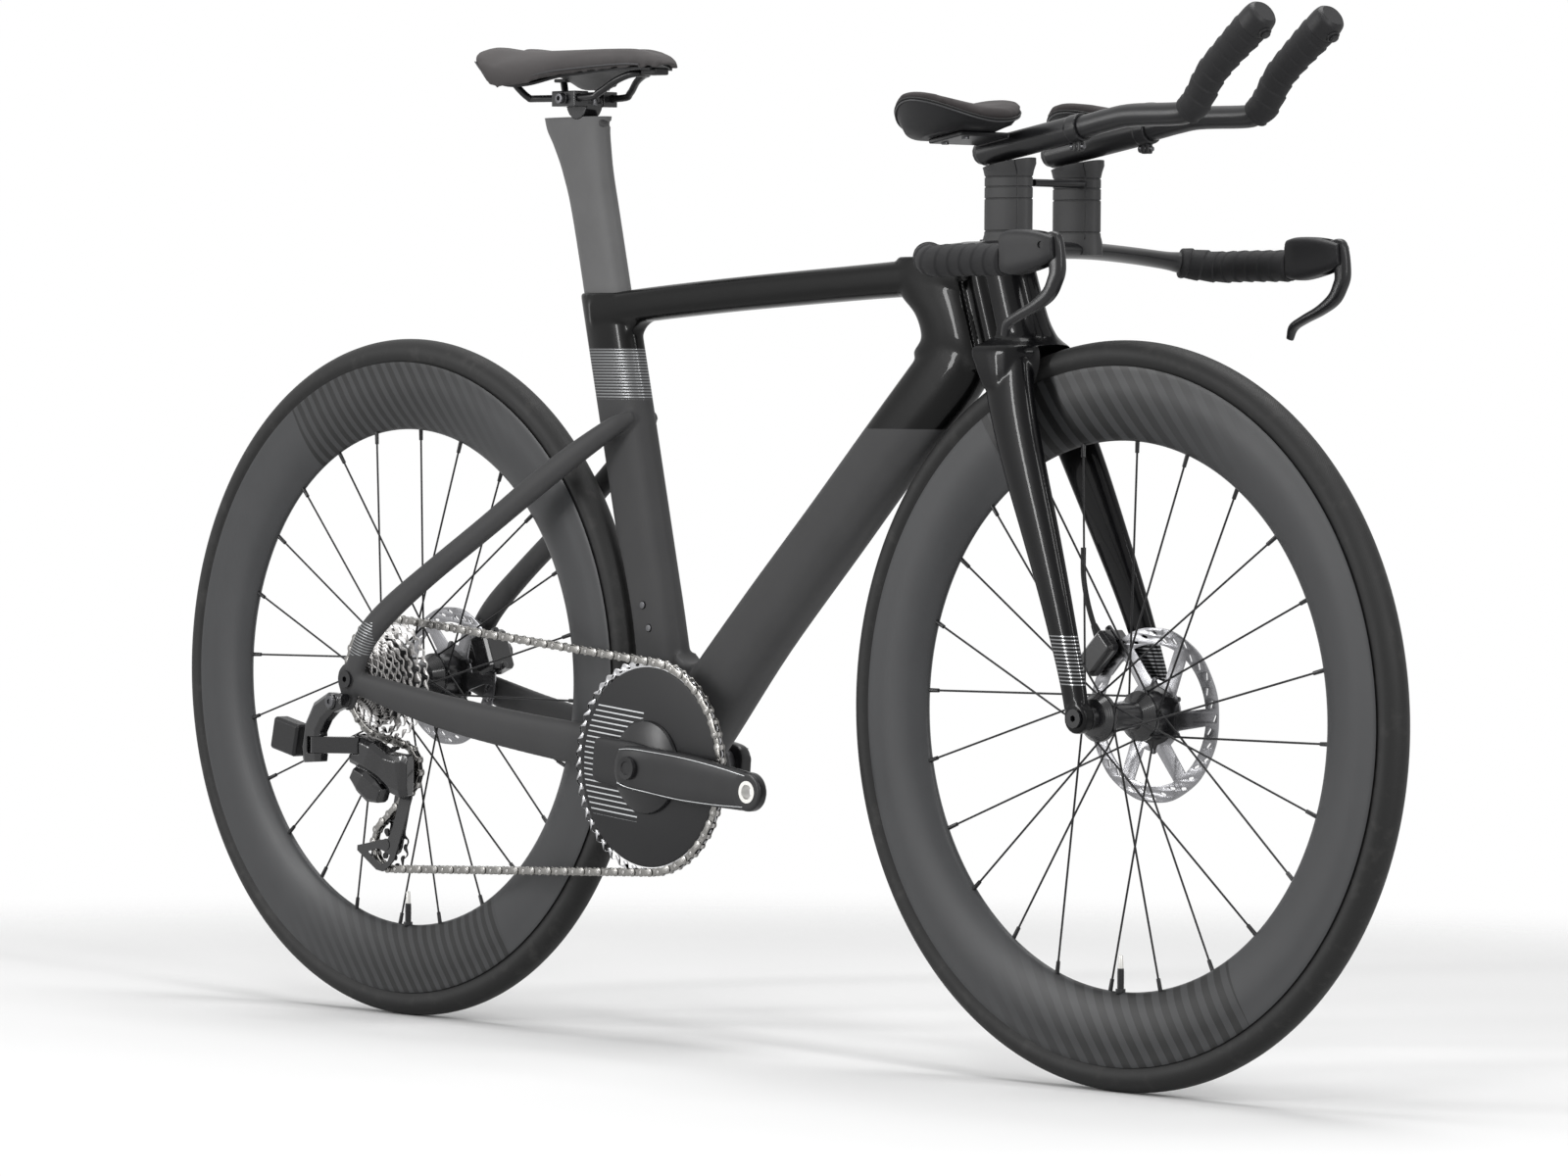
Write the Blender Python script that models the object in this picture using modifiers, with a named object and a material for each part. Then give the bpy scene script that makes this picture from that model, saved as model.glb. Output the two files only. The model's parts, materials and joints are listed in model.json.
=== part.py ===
"""A time-trial bicycle with disc brakes and one chainring, as separate pieces.

X points forward, Y to the rider's left and Z up, in metres. The origin is on
the ground, midway between the two axles. Side to side places are given for
the left, and the right is their mirror, because the chain runs on the right.
"""

import math

import bpy
import bmesh
from mathutils import Matrix, Vector

# Clearance between two pieces that touch
FIT = 0.0003

# Wheels
WHEELBASE = 0.9917
TYRE_RADIUS = 0.340
TYRE_WIDTH = 0.0285
RIM_EDGE_RADIUS = 0.3165
RIM_BED_RADIUS = 0.3118
RIM_NOSE_RADIUS = 0.2492
RIM_WIDTH = 0.0275
WHEEL_STEPS = 32
SPOKES = 24
SPOKE_RADIUS = 0.0011
SPOKE_CROSSING = math.radians(56)
SPOKE_TURN = math.radians(3.3)

# Hubs and axles
AXLE_RADIUS = 0.0058
FRONT_AXLE_WIDTH = 0.100
REAR_AXLE_WIDTH = 0.142
HUB_END_GAP = 0.0014
ROTOR_THICKNESS = 0.0018
ROTOR_TRACK = 0.0155
ROTOR_BORE = 0.0175
FRONT_ROTOR_RADIUS = 0.080
FRONT_ROTOR_Y = 0.0415
REAR_ROTOR_RADIUS = 0.070
REAR_ROTOR_Y = 0.0545
CARRIER_RADIUS = 0.0340

# Frame
BB_AHEAD = 0.4065
BB_HEIGHT = 0.2692
BB_SHELL_RADIUS = 0.0240
BB_SHELL_WIDTH = 0.0730
BB_BORE_RADIUS = 0.0185
SPINDLE_RADIUS = 0.0145
SPINDLE_REACH = 0.0230
SPINDLE_STEPS = 12
SEAT_ANGLE = math.radians(76.9)
SEAT_AXIS_AHEAD = -0.0067
SEAT_TUBE_FRONT = 0.0370
SEAT_TUBE_REAR = 0.0354
SEAT_TUBE_WIDTH = 0.0310
SEAT_TUBE_TOP = 0.7250
DOWN_TUBE_HEIGHT = 0.0670
DOWN_TUBE_WIDTH = 0.0470
TOP_TUBE_HEIGHT = 0.0325
TOP_TUBE_WIDTH = 0.0330
TYRE_CLEARANCE = 0.0100
SLOT_WIDTH = 0.0385
STAY_WIDTH = 0.0150
DROPOUT_THICKNESS = 0.0105
DROPOUT_RADIUS = 0.0165

# Steering
HEAD_ANGLE = math.radians(72)
FORK_RAKE = 0.0450
HEAD_BOTTOM = 0.6700
HEAD_TOP = 0.7420
HEAD_WIDTH = 0.0420
HEAD_NOSE_RADIUS = 0.0165
HEAD_SWEEP_RADIUS = 0.0271
HEAD_BORE_RADIUS = 0.0123
BEARING_RADIUS = 0.0138
BEARING_HEIGHT = 0.0070
STEERER_RADIUS = 0.0102
BAYONET_CLEARANCE = 0.0015
BLADE_TIP_THICKNESS = 0.0125
BLADE_TIP_RADIUS = 0.0140

# Seatpost and saddle
POST_CHORD = 0.0620
POST_WIDTH = 0.0230
POST_TOP = 0.8970
POST_BOTTOM = 0.6300
POST_CLEARANCE = 0.0004
CLAMP_HEIGHT = 0.9095
RAIL_HEIGHT = 0.9150
RAIL_SPACING = 0.0440
RAIL_RADIUS = 0.0035
SADDLE_TAIL_AHEAD = 0.1450
SADDLE_LENGTH = 0.2380

# Cockpit
BAR_HEIGHT = 0.7620
BAR_REACH = 0.0790
BAR_DROP = 0.0125
BAR_CHORD = 0.0380
BAR_THICKNESS = 0.0155
BAR_HALF_WIDTH = 0.1860
BAR_TUBE_RADIUS = 0.0105
BAR_TAPE_RADIUS = 0.0142
BAR_TAPE_END = 0.1380
BAR_END = 0.1580
LEVER_AHEAD = 0.1890
LEVER_RISE = 0.0125
TOWER_Y = 0.0445
TOWER_CHORD = 0.0540
TOWER_WIDTH = 0.0230
TOWER_SEAMS = (0.7786, 0.8080, 0.8186, 0.8277)
TOWER_CAP = 0.8455
BRIDGE_HEIGHT = 0.8225
SLEEVE_RADIUS = 0.0124
SLEEVE_LENGTH = 0.1370
SLEEVE_SLOPE = math.radians(9.5)
SLEEVE_TAIL_AHEAD = -0.0420
SLEEVE_TAIL_HEIGHT = 0.8485
EXTENSION_INSERT = 0.0400
EXTENSION_TRAVEL = 0.0120
EXTENSION_RADIUS = 0.0104
TAPE_RADIUS = 0.0137
PAD_AHEAD = -0.0125
PAD_Y = 0.0985
PAD_LENGTH = 0.1060
PAD_WIDTH = 0.1200
PAD_THICKNESS = 0.0140
PAD_FLOOR = 0.8760
PAD_OUTER_RISE = 0.0185
PAD_INNER_RISE = 0.0130
CUP_BASE = 0.8642

# Drivetrain
PITCH = 0.0127
RING_TEETH = 50
COG_TEETH = (30, 26, 22, 19, 17, 16, 15, 14, 13, 12, 11, 10)
PULLEY_TEETH = 12
RING_Y = -0.0442
COG_Y = -0.0290
BORE_RADIUS = 0.0080
COG_SPACING = 0.0033
RING_THICKNESS = 0.0011
COG_THICKNESS = 0.0017
ROLLER_LENGTH = 0.0050
PLATE_HEIGHT = 0.0080
PLATE_THICKNESS = 0.0010
INNER_PLATE_Y = 0.0018
OUTER_PLATE_Y = 0.0026
SPIDER_RADIUS = 0.0450
RING_BORE_RADIUS = SPIDER_RADIUS - 0.0120
RING_DISC_STEPS = 18
DISC_RADIUS = 0.0950
CRANK_LENGTH = 0.1700
CRANK_ANGLE = math.radians(-5.0)
CRANK_OUTER_Y = 0.0755
CRANK_THICKNESS = 0.0100
CRANK_EYE_RADIUS = 0.0185
PEDAL_FACE_RADIUS = 0.0108
PEDAL_FACE_DEPTH = 0.0008
PEDAL_HOLE_RADIUS = 0.0071
UPPER_PULLEY_AHEAD = 0.0255
UPPER_PULLEY_HEIGHT = 0.2495
PULLEY_DISTANCE = 0.0788
CHAIN_LINKS = 120

REAR_X = -WHEELBASE / 2
FRONT_X = WHEELBASE / 2
AXLE_Z = TYRE_RADIUS
LEFT, RIGHT = 1, -1


def ahead(distance):
    """World X of a point this far ahead of the rear axle."""
    return REAR_X + distance


def steer_x(height):
    """World X of the steering axis at this height."""
    return FRONT_X - FORK_RAKE / math.sin(HEAD_ANGLE) - (height - AXLE_Z) / math.tan(HEAD_ANGLE)


def seat_x(height):
    """World X of the seat tube's axis at this height."""
    return BB_X + SEAT_AXIS_AHEAD - (height - BB_HEIGHT) / math.tan(SEAT_ANGLE)


def pitch_radius(teeth):
    """Radius of the circle that a sprocket's roller centres lie on."""
    return PITCH / (2 * math.sin(math.pi / teeth))


BB_X = ahead(BB_AHEAD)
BAR_X = steer_x(BAR_HEIGHT) + BAR_REACH
STEER_DIRECTION = Vector((-math.cos(HEAD_ANGLE), 0, math.sin(HEAD_ANGLE)))
ACROSS = Vector((0, 1, 0))

# Faces that lie nearer than this to one plane are made one face
FLAT_ANGLE = math.radians(1.0)

# Collections and finishes


def clear_scene():
    for obj in list(bpy.data.objects):
        bpy.data.objects.remove(obj, do_unlink=True)


def collection(name):
    made = bpy.data.collections.new(name)
    bpy.context.scene.collection.children.link(made)
    return made


def finish(name, colour, roughness, metallic=0.0):
    made = bpy.data.materials.new(name)
    made.use_nodes = True
    shader = made.node_tree.nodes["Principled BSDF"]
    shader.inputs["Base Color"].default_value = (*colour, 1)
    shader.inputs["Roughness"].default_value = roughness
    shader.inputs["Metallic"].default_value = metallic
    made.diffuse_color = (*colour, 1)
    return made


clear_scene()
BIKE = collection("time_trial_bike")
MATT = finish("matt_carbon", (0.045, 0.046, 0.048), 0.55)
GLOSS = finish("gloss_carbon", (0.012, 0.012, 0.014), 0.12)
SATIN = finish("satin_black", (0.030, 0.030, 0.032), 0.35)
RUBBER = finish("tyre_rubber", (0.028, 0.027, 0.026), 0.75)
RIM_GREY = finish("rim_carbon", (0.060, 0.061, 0.063), 0.50)
STEEL = finish("bright_steel", (0.62, 0.61, 0.59), 0.28, 1.0)
COG_GREY = finish("sprocket_steel", (0.52, 0.51, 0.50), 0.32, 1.0)
TAPE = finish("bar_tape", (0.030, 0.029, 0.028), 0.80)
FOAM = finish("pad_foam", (0.026, 0.025, 0.025), 0.90)
COVER = finish("saddle_cover", (0.050, 0.049, 0.049), 0.65)
HOSE_BLACK = finish("hose", (0.020, 0.020, 0.021), 0.45)

# Mesh helpers


def add_mesh(name, bm, material):
    """An object made of this bmesh, closed by its own caps and facing out."""
    bmesh.ops.dissolve_limit(bm, angle_limit=FLAT_ANGLE, verts=bm.verts, edges=bm.edges)
    bmesh.ops.triangulate(bm, faces=bm.faces, quad_method="BEAUTY", ngon_method="BEAUTY")
    bmesh.ops.recalc_face_normals(bm, faces=bm.faces)
    mesh = bpy.data.meshes.new(name)
    bm.to_mesh(mesh)
    bm.free()
    mesh.shade_smooth()
    mesh.set_sharp_from_angle(angle=math.radians(38))
    mesh.materials.append(material)
    obj = bpy.data.objects.new(name, mesh)
    BIKE.objects.link(obj)
    return obj


def realised(obj, material):
    """The object as its modifiers leave it, as a mesh in world space under the same name."""
    bpy.context.view_layer.update()
    graph = bpy.context.evaluated_depsgraph_get()
    mesh = bpy.data.meshes.new_from_object(obj.evaluated_get(graph))
    mesh.transform(obj.matrix_world)
    bm = bmesh.new()
    bm.from_mesh(mesh)
    bmesh.ops.remove_doubles(bm, verts=bm.verts, dist=1e-6)
    name = obj.name
    bpy.data.objects.remove(obj, do_unlink=True)
    bpy.data.meshes.remove(mesh)
    return add_mesh(name, bm, material)


def combined(base, tools, operation="UNION"):
    """The base with each tool joined to it or cut from it, and the tools used up."""
    for tool in tools:
        step = base.modifiers.new(tool.name, "BOOLEAN")
        step.operation = operation
        step.solver = "EXACT"
        step.object = tool
    material = base.data.materials[0]
    result = realised(base, material)
    for tool in tools:
        bpy.data.objects.remove(tool, do_unlink=True)
    return result


def cut(base, tools):
    return combined(base, tools, "DIFFERENCE")


def power(value, exponent):
    return math.copysign(abs(value) ** exponent, value)


def oval(centre, length_axis, width_axis, length, width, squareness=2.3, taper=0.0, count=16):
    """A ring of points on a rounded section, drawn in by the taper on its -length side."""
    ring = []
    for step in range(count):
        angle = 2 * math.pi * (step + 0.5) / count
        along = power(math.cos(angle), 2 / squareness)
        side = power(math.sin(angle), 2 / squareness)
        side *= 1 - taper * (1 - along) / 2
        ring.append(centre + length_axis * (length / 2 * along) + width_axis * (width / 2 * side))
    return ring


def loft(name, rings, material, closed=False):
    """A skin through rings of equal count, with flat caps on an open one."""
    bm = bmesh.new()
    rows = [[bm.verts.new(point) for point in ring] for ring in rings]
    pairs = list(zip(rows, rows[1:]))
    if closed:
        pairs.append((rows[-1], rows[0]))
    for low, high in pairs:
        for i in range(len(low)):
            j = (i + 1) % len(low)
            bm.faces.new((low[i], low[j], high[j], high[i]))
    if not closed:
        bm.faces.new(rows[0])
        bm.faces.new(rows[-1])
    return add_mesh(name, bm, material)


def level_loft(name, stations, material, squareness=2.3, taper=0.0, count=16):
    """A loft of level sections: (height, rear x, front x, centre y, width)."""
    rings = []
    for height, rear, front, side, width in stations:
        centre = Vector(((rear + front) / 2, side, height))
        rings.append(oval(centre, Vector((1, 0, 0)), ACROSS, front - rear, width, squareness, taper, count))
    return loft(name, rings, material)


def path_loft(name, stations, material, squareness=2.3, taper=0.0, count=16, upright=ACROSS):
    """A loft of sections square to a path: (centre, depth in the path's plane, width)."""
    centres = [Vector(station[0]) for station in stations]
    rings = []
    for i, (_, depth, width) in enumerate(stations):
        before, after = centres[max(i - 1, 0)], centres[min(i + 1, len(centres) - 1)]
        tangent = (after - before).normalized()
        side = (upright - tangent * upright.dot(tangent)).normalized()
        rings.append(oval(centres[i], side.cross(tangent), side, depth, width, squareness, taper, count))
    return loft(name, rings, material)


def cylinder(name, start, end, radius, material, count=24, end_radius=None):
    """A cylinder or cone between two points."""
    start, end = Vector(start), Vector(end)
    direction = end - start
    turn = direction.to_track_quat("Z", "Y").to_matrix().to_4x4()
    bm = bmesh.new()
    bmesh.ops.create_cone(
        bm,
        cap_ends=True,
        segments=count,
        radius1=radius,
        radius2=radius if end_radius is None else end_radius,
        depth=direction.length,
        matrix=Matrix.Translation((start + end) / 2) @ turn,
    )
    return add_mesh(name, bm, material)


def cross_cylinder(name, centre, radius, low_y, high_y, material, count=24):
    """A cylinder across the bike, between two side places."""
    x, z = centre
    return cylinder(name, (x, low_y, z), (x, high_y, z), radius, material, count)


def box(name, low, high, material, bevel=0.0, segments=1):
    """A box between two corners, with its edges rounded where a bevel is given."""
    low, high = Vector(low), Vector(high)
    bm = bmesh.new()
    bmesh.ops.create_cube(bm, size=1, matrix=Matrix.Translation((low + high) / 2))
    bmesh.ops.scale(bm, vec=high - low, verts=bm.verts, space=Matrix.Translation(-(low + high) / 2))
    if bevel:
        bmesh.ops.bevel(bm, geom=bm.edges, offset=bevel, segments=segments, affect="EDGES")
    return add_mesh(name, bm, material)


def turned(name, profile, centre, material, steps=WHEEL_STEPS):
    """A ring turned about an axle: a closed profile of (radius, side place)."""
    mesh = bpy.data.meshes.new(name)
    points = [(radius, 0, side) for radius, side in profile]
    edges = [(i, (i + 1) % len(points)) for i in range(len(points))]
    mesh.from_pydata(points, edges, [])
    obj = bpy.data.objects.new(name, mesh)
    BIKE.objects.link(obj)
    obj.location = (centre[0], 0, centre[1])
    obj.rotation_euler = (math.radians(-90), 0, 0)
    screw = obj.modifiers.new("turn", "SCREW")
    screw.axis = "Z"
    screw.steps = steps
    screw.render_steps = steps
    screw.use_merge_vertices = True
    screw.merge_threshold = 0.00001
    return realised(obj, material)


def tube(name, points, radius, material, resolution=2, smooth=False):
    """A round tube along points, with filled ends."""
    data = bpy.data.curves.new(name, "CURVE")
    data.dimensions = "3D"
    data.bevel_depth = radius
    data.bevel_resolution = resolution
    data.use_fill_caps = True
    spline = data.splines.new("POLY")
    path = smooth_path(points, smooth) if smooth else points
    spline.points.add(len(path) - 1)
    for target, point in zip(spline.points, path):
        target.co = (*point, 1)
    obj = bpy.data.objects.new(name, data)
    BIKE.objects.link(obj)
    return realised(obj, material)


def smooth_path(points, steps):
    """A smooth curve through the points, with this many steps between two of them."""
    points = [Vector(point) for point in points]
    path = []
    for i in range(len(points) - 1):
        a = points[max(i - 1, 0)]
        b, c = points[i], points[i + 1]
        d = points[min(i + 2, len(points) - 1)]
        for step in range(steps):
            t = step / steps
            path.append(
                0.5
                * (
                    2 * b
                    + (c - a) * t
                    + (2 * a - 5 * b + 4 * c - d) * t**2
                    + (3 * b - 3 * c + d - a) * t**3
                )
            )
    path.append(points[-1])
    return path


def plate(name, outline, low_y, high_y, material, holes=()):
    """A flat plate across the bike: an outline and holes of (x, z), as a filled 2D curve."""
    data = bpy.data.curves.new(name, "CURVE")
    data.dimensions = "2D"
    data.fill_mode = "BOTH"
    data.extrude = (high_y - low_y) / 2
    for loop in (outline, *holes):
        spline = data.splines.new("POLY")
        spline.use_cyclic_u = True
        spline.points.add(len(loop) - 1)
        for target, (x, z) in zip(spline.points, loop):
            target.co = (x, z, 0, 1)
    obj = bpy.data.objects.new(name, data)
    BIKE.objects.link(obj)
    obj.rotation_euler = (math.radians(90), 0, 0)
    obj.location = (0, (low_y + high_y) / 2, 0)
    return realised(obj, material)


def arc(centre, radius, start, end, count):
    """Points on an arc of (x, z), from one angle to another in radians."""
    steps = [start + (end - start) * i / (count - 1) for i in range(count)]
    return [(centre[0] + radius * math.cos(a), centre[1] + radius * math.sin(a)) for a in steps]


def circle(centre, radius, count):
    return arc(centre, radius, 0, 2 * math.pi * (count - 1) / count, count)


def capsule(start, end, start_radius, end_radius, count=8):
    """The outline round two circles of (x, z)."""
    (ax, az), (bx, bz) = start, end
    length = math.hypot(bx - ax, bz - az)
    angle = math.atan2(bz - az, bx - ax)
    lean = math.acos((start_radius - end_radius) / length)
    first = arc(start, start_radius, angle + lean, angle + 2 * math.pi - lean, count)
    second = arc(end, end_radius, angle - lean, angle + lean, count)
    return first + second


def pivot(name, location, parent=None):
    """An empty on a joint's axis."""
    empty = bpy.data.objects.new(name, None)
    empty.empty_display_size = 0.02
    empty["place"] = list(location)
    BIKE.objects.link(empty)
    empty.location = location
    if parent:
        hang(parent, [empty])
    return empty


def hang(parent, pieces):
    """Parents pieces to an empty, and leaves them where they are."""
    for piece in pieces:
        piece.parent = parent
        piece.matrix_parent_inverse = Matrix.Translation(-Vector(parent["place"]))


# Wheels


def tyre(name, centre_x):
    half = TYRE_WIDTH / 2
    bead = RIM_BED_RADIUS + FIT
    inside = RIM_WIDTH / 2 - 0.0024 - FIT
    side = [
        (TYRE_RADIUS - 0.0035, half * 0.60),
        (TYRE_RADIUS - 0.0125, half),
        (bead, inside),
    ]
    profile = [(TYRE_RADIUS, 0)] + [(r, -y) for r, y in side] + [(r, y) for r, y in reversed(side)]
    return turned(name, profile, (centre_x, AXLE_Z), RUBBER)


def rim(name, centre_x):
    """A deep rim with a well for the tyre, its valve fused at the foot."""
    half = RIM_WIDTH / 2
    side = [
        (RIM_EDGE_RADIUS, half - 0.0004),
        (RIM_EDGE_RADIUS - 0.0240, half),
        (RIM_NOSE_RADIUS, half * 0.24),
    ]
    well = [(RIM_BED_RADIUS, -half + 0.0022), (RIM_BED_RADIUS, half - 0.0022)]
    profile = [(r, -y) for r, y in side] + [(r, y) for r, y in reversed(side)] + list(reversed(well))
    ring = turned(name, profile, (centre_x, AXLE_Z), RIM_GREY)
    top = AXLE_Z - RIM_NOSE_RADIUS
    stem = cylinder("valve_stem", (centre_x, 0, top - 0.002), (centre_x, 0, top + 0.024), 0.0032, SATIN, 8)
    tip = cylinder("valve_tip", (centre_x, 0, top + 0.022), (centre_x, 0, top + 0.034), 0.0024, SATIN, 6)
    return combined(ring, [stem, tip])


def spoke_cage(name, centre, flanges):
    """Crossed spokes from each flange of (side place, radius) to the rim, as rods."""
    x, z = centre
    rods = []
    for index in range(SPOKES):
        side, radius = flanges[index % 2]
        angle = 2 * math.pi * index / SPOKES - SPOKE_TURN
        lead = SPOKE_CROSSING if index // 2 % 2 else -SPOKE_CROSSING
        root_y = side + math.copysign(SPOKE_RADIUS * 1.15, lead)
        root = (x + (radius - 0.002) * math.cos(angle + lead), root_y, z + (radius - 0.002) * math.sin(angle + lead))
        reach = RIM_NOSE_RADIUS * math.cos(math.pi / WHEEL_STEPS) - FIT
        tip = (x + reach * math.cos(angle), math.copysign(0.0012, side), z + reach * math.sin(angle))
        rods.append(cylinder(f"{name}_spoke_{index}", root, tip, SPOKE_RADIUS, SATIN, 3))
    return rods


def hub(name, centre, shell, flanges):
    """A turned hub shell with its spokes fused on, from the shell's (radius, side place)."""
    bore = AXLE_RADIUS + FIT
    ends = (shell[0][1], shell[-1][1])
    profile = list(reversed(shell)) + [(bore, ends[0]), (bore, ends[1])]
    body = turned(name, profile, centre, SATIN, 12)
    return combined(body, spoke_cage(name, centre, flanges))


def front_hub():
    end = FRONT_AXLE_WIDTH / 2 - HUB_END_GAP
    mount = FRONT_ROTOR_Y - ROTOR_THICKNESS / 2 - FIT
    bore = ROTOR_BORE - FIT
    shell = [
        (0.0105, -end),
        (0.0105, -0.0420),
        (0.0170, -0.0400),
        (0.0215, -0.0340),
        (0.0215, -0.0290),
        (0.0130, -0.0240),
        (0.0130, 0.0130),
        (0.0225, 0.0200),
        (0.0225, mount),
        (bore, mount),
        (bore, FRONT_ROTOR_Y + 0.0020),
        (0.0105, FRONT_ROTOR_Y + 0.0040),
        (0.0105, end),
    ]
    return hub("front_hub", (FRONT_X, AXLE_Z), shell, [(0.0238, 0.0225), (-0.0315, 0.0215)])


def rear_hub():
    end = REAR_AXLE_WIDTH / 2 - HUB_END_GAP
    mount = REAR_ROTOR_Y - ROTOR_THICKNESS / 2 - FIT
    bore = ROTOR_BORE - FIT
    drive = COG_Y + 0.0060
    shell = [
        (0.0230, drive),
        (0.0230, drive + 0.0052),
        (0.0150, drive + 0.0110),
        (0.0140, 0.0190),
        (0.0225, 0.0285),
        (0.0225, mount),
        (bore, mount),
        (bore, REAR_ROTOR_Y + 0.0020),
        (0.0110, REAR_ROTOR_Y + 0.0040),
        (0.0110, end),
    ]
    return hub("rear_hub", (REAR_X, AXLE_Z), shell, [(0.0318, 0.0225), (drive + 0.0030, 0.0230)])


def rotor(name, centre_x, side, radius):
    """A brake disc: its track, six swept arms and a six-pointed carrier round the hub's seat."""
    centre = (centre_x, AXLE_Z)
    inner = radius - ROTOR_TRACK
    low, high = side - ROTOR_THICKNESS / 2, side + ROTOR_THICKNESS / 2
    windows = []
    for index in range(6):
        start = 2 * math.pi * index / 6
        outer = arc(centre, inner, start + 0.12, start + 0.94, 3)
        back = arc(centre, CARRIER_RADIUS, start + 0.66, start + 0.12, 2)
        windows.append(outer + back)
    bore = circle(centre, ROTOR_BORE, 12)
    return plate(name, circle(centre, radius, 24), low, high, STEEL, [bore, *windows])


# Frame


def wheel_slot(name, centre_x, radius, material):
    """A cutter the shape of the space that a turning tyre needs."""
    half = SLOT_WIDTH / 2
    return cross_cylinder(name, (centre_x, AXLE_Z), radius, -half, half, material, 40)


def seat_tube():
    heights = (0.247, 0.290, 0.340, 0.430, 0.530, 0.640, SEAT_TUBE_TOP)
    stations = []
    for height in heights:
        middle = seat_x(height)
        spread = max(0.0, 0.36 - height) * 0.10
        stations.append((height, middle - SEAT_TUBE_REAR, middle + SEAT_TUBE_FRONT, 0, SEAT_TUBE_WIDTH + 2 * spread))
    stations[0] = (0.247, BB_X - 0.020, BB_X + 0.020, 0, 0.050)
    stations[1] = (0.290, BB_X - 0.043, BB_X + 0.044, 0, 0.052)
    return level_loft("frame", stations, MATT, 2.5, 0.25, 12)


def down_tube():
    points = [
        (ahead(0.395), 0.262),
        (ahead(0.440), 0.319),
        (ahead(0.519), 0.405),
        (ahead(0.619), 0.504),
        (ahead(0.6985), 0.5835),
        (steer_x(0.655) - 0.0635, 0.6605),
        (steer_x(0.692) - 0.040, 0.692),
    ]
    heights = [0.060, DOWN_TUBE_HEIGHT + 0.006, DOWN_TUBE_HEIGHT + 0.002, DOWN_TUBE_HEIGHT, DOWN_TUBE_HEIGHT, 0.0725, 0.060]
    widths = [0.050, DOWN_TUBE_WIDTH + 0.003, DOWN_TUBE_WIDTH, DOWN_TUBE_WIDTH, DOWN_TUBE_WIDTH - 0.001, HEAD_WIDTH, 0.036]
    stations = [((x, 0, z), h, w) for (x, z), h, w in zip(points, heights, widths)]
    return path_loft("down_tube", stations, MATT, 2.8, 0.0, 12)


def top_tube():
    rear = seat_x(SEAT_TUBE_TOP)
    front = steer_x(0.742)
    stations = [
        ((rear - 0.010, 0, 0.7060), TOP_TUBE_HEIGHT, 0.030),
        ((rear + 0.060, 0, 0.7135), TOP_TUBE_HEIGHT, TOP_TUBE_WIDTH),
        ((rear + 0.200, 0, 0.7240), TOP_TUBE_HEIGHT, TOP_TUBE_WIDTH),
        ((front - 0.120, 0, 0.7360), TOP_TUBE_HEIGHT + 0.001, TOP_TUBE_WIDTH + 0.004),
        ((front - 0.070, 0, 0.7380), TOP_TUBE_HEIGHT + 0.006, HEAD_WIDTH - 0.002),
        ((front - 0.010, 0, 0.7405), TOP_TUBE_HEIGHT + 0.006, HEAD_WIDTH),
    ]
    return path_loft("top_tube", stations, MATT, 3.0, 0.0, 12)


def web(name, corner, first, second, half):
    """A rounded web in the corner of two tubes: a hollow curve from one point to another."""
    (cx, cz), (ax, az), (bx, bz) = corner, first, second
    curve = []
    for step in range(7):
        t = step / 6
        near, middle, far = (1 - t) ** 2, 2 * t * (1 - t), t * t
        mx, mz = cx + ((ax + bx) / 2 - cx) * 0.42, cz + ((az + bz) / 2 - cz) * 0.42
        curve.append((near * ax + middle * mx + far * bx, near * az + middle * mz + far * bz))
    return plate(name, [corner, *curve], -half, half, MATT)


def head_block():
    """The deep head of the frame, behind the space that the fork sweeps."""
    rows = [
        (0.652, ahead(0.752), 0.036),
        (0.666, ahead(0.728), 0.040),
        (0.682, ahead(0.739), HEAD_WIDTH),
        (0.703, ahead(0.731), HEAD_WIDTH),
        (0.720, ahead(0.712), HEAD_WIDTH - 0.001),
        (0.738, ahead(0.700), HEAD_WIDTH - 0.002),
        (0.757, ahead(0.705), 0.036),
    ]
    stations = [(z, rear, steer_x(z) - 0.012, 0, width) for z, rear, width in rows]
    return level_loft("head_block", stations, MATT, 3.2, 0.0, 12)


def on_axis(height, outward=0.0):
    """A point on the steering axis at this height, moved forward square to it."""
    forward = Vector((math.sin(HEAD_ANGLE), 0, math.cos(HEAD_ANGLE)))
    return Vector((steer_x(height), 0, height)) + forward * outward


def along_axis(height, distance):
    """A point further up the steering axis."""
    return on_axis(height) + STEER_DIRECTION * distance


def head_nose():
    """The narrow nose that holds the bearings, with the web that carries it."""
    nose = cylinder("head_nose", on_axis(HEAD_BOTTOM), on_axis(HEAD_TOP), HEAD_NOSE_RADIUS, MATT, 16)
    low, high = along_axis(HEAD_BOTTOM, 0.0015), along_axis(HEAD_TOP, -0.0015)
    rings = []
    for point in (low, high):
        back = point + Vector((-math.sin(HEAD_ANGLE), 0, -math.cos(HEAD_ANGLE))) * 0.020
        forward = Vector((math.sin(HEAD_ANGLE), 0, math.cos(HEAD_ANGLE)))
        rings.append(oval(back, forward, ACROSS, 0.040, 0.024, 4.0, 0.0, 12))
    web = loft("head_web", rings, MATT)
    return [nose, web]


def stay_points():
    """The right seatstay's centre line, from the dropout to its blade on the seat tube."""
    return [
        (ahead(0.004), 0.0775, 0.343),
        (ahead(0.012), 0.0765, 0.362),
        (ahead(0.024), 0.0745, 0.385),
        (ahead(0.052), 0.0690, 0.412),
        (ahead(0.105), 0.0620, 0.449),
        (ahead(0.175), 0.0530, 0.494),
        (ahead(0.260), 0.0400, 0.551),
        (ahead(0.325), 0.0220, 0.594),
        (ahead(0.348), 0.0130, 0.606),
    ]


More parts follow.
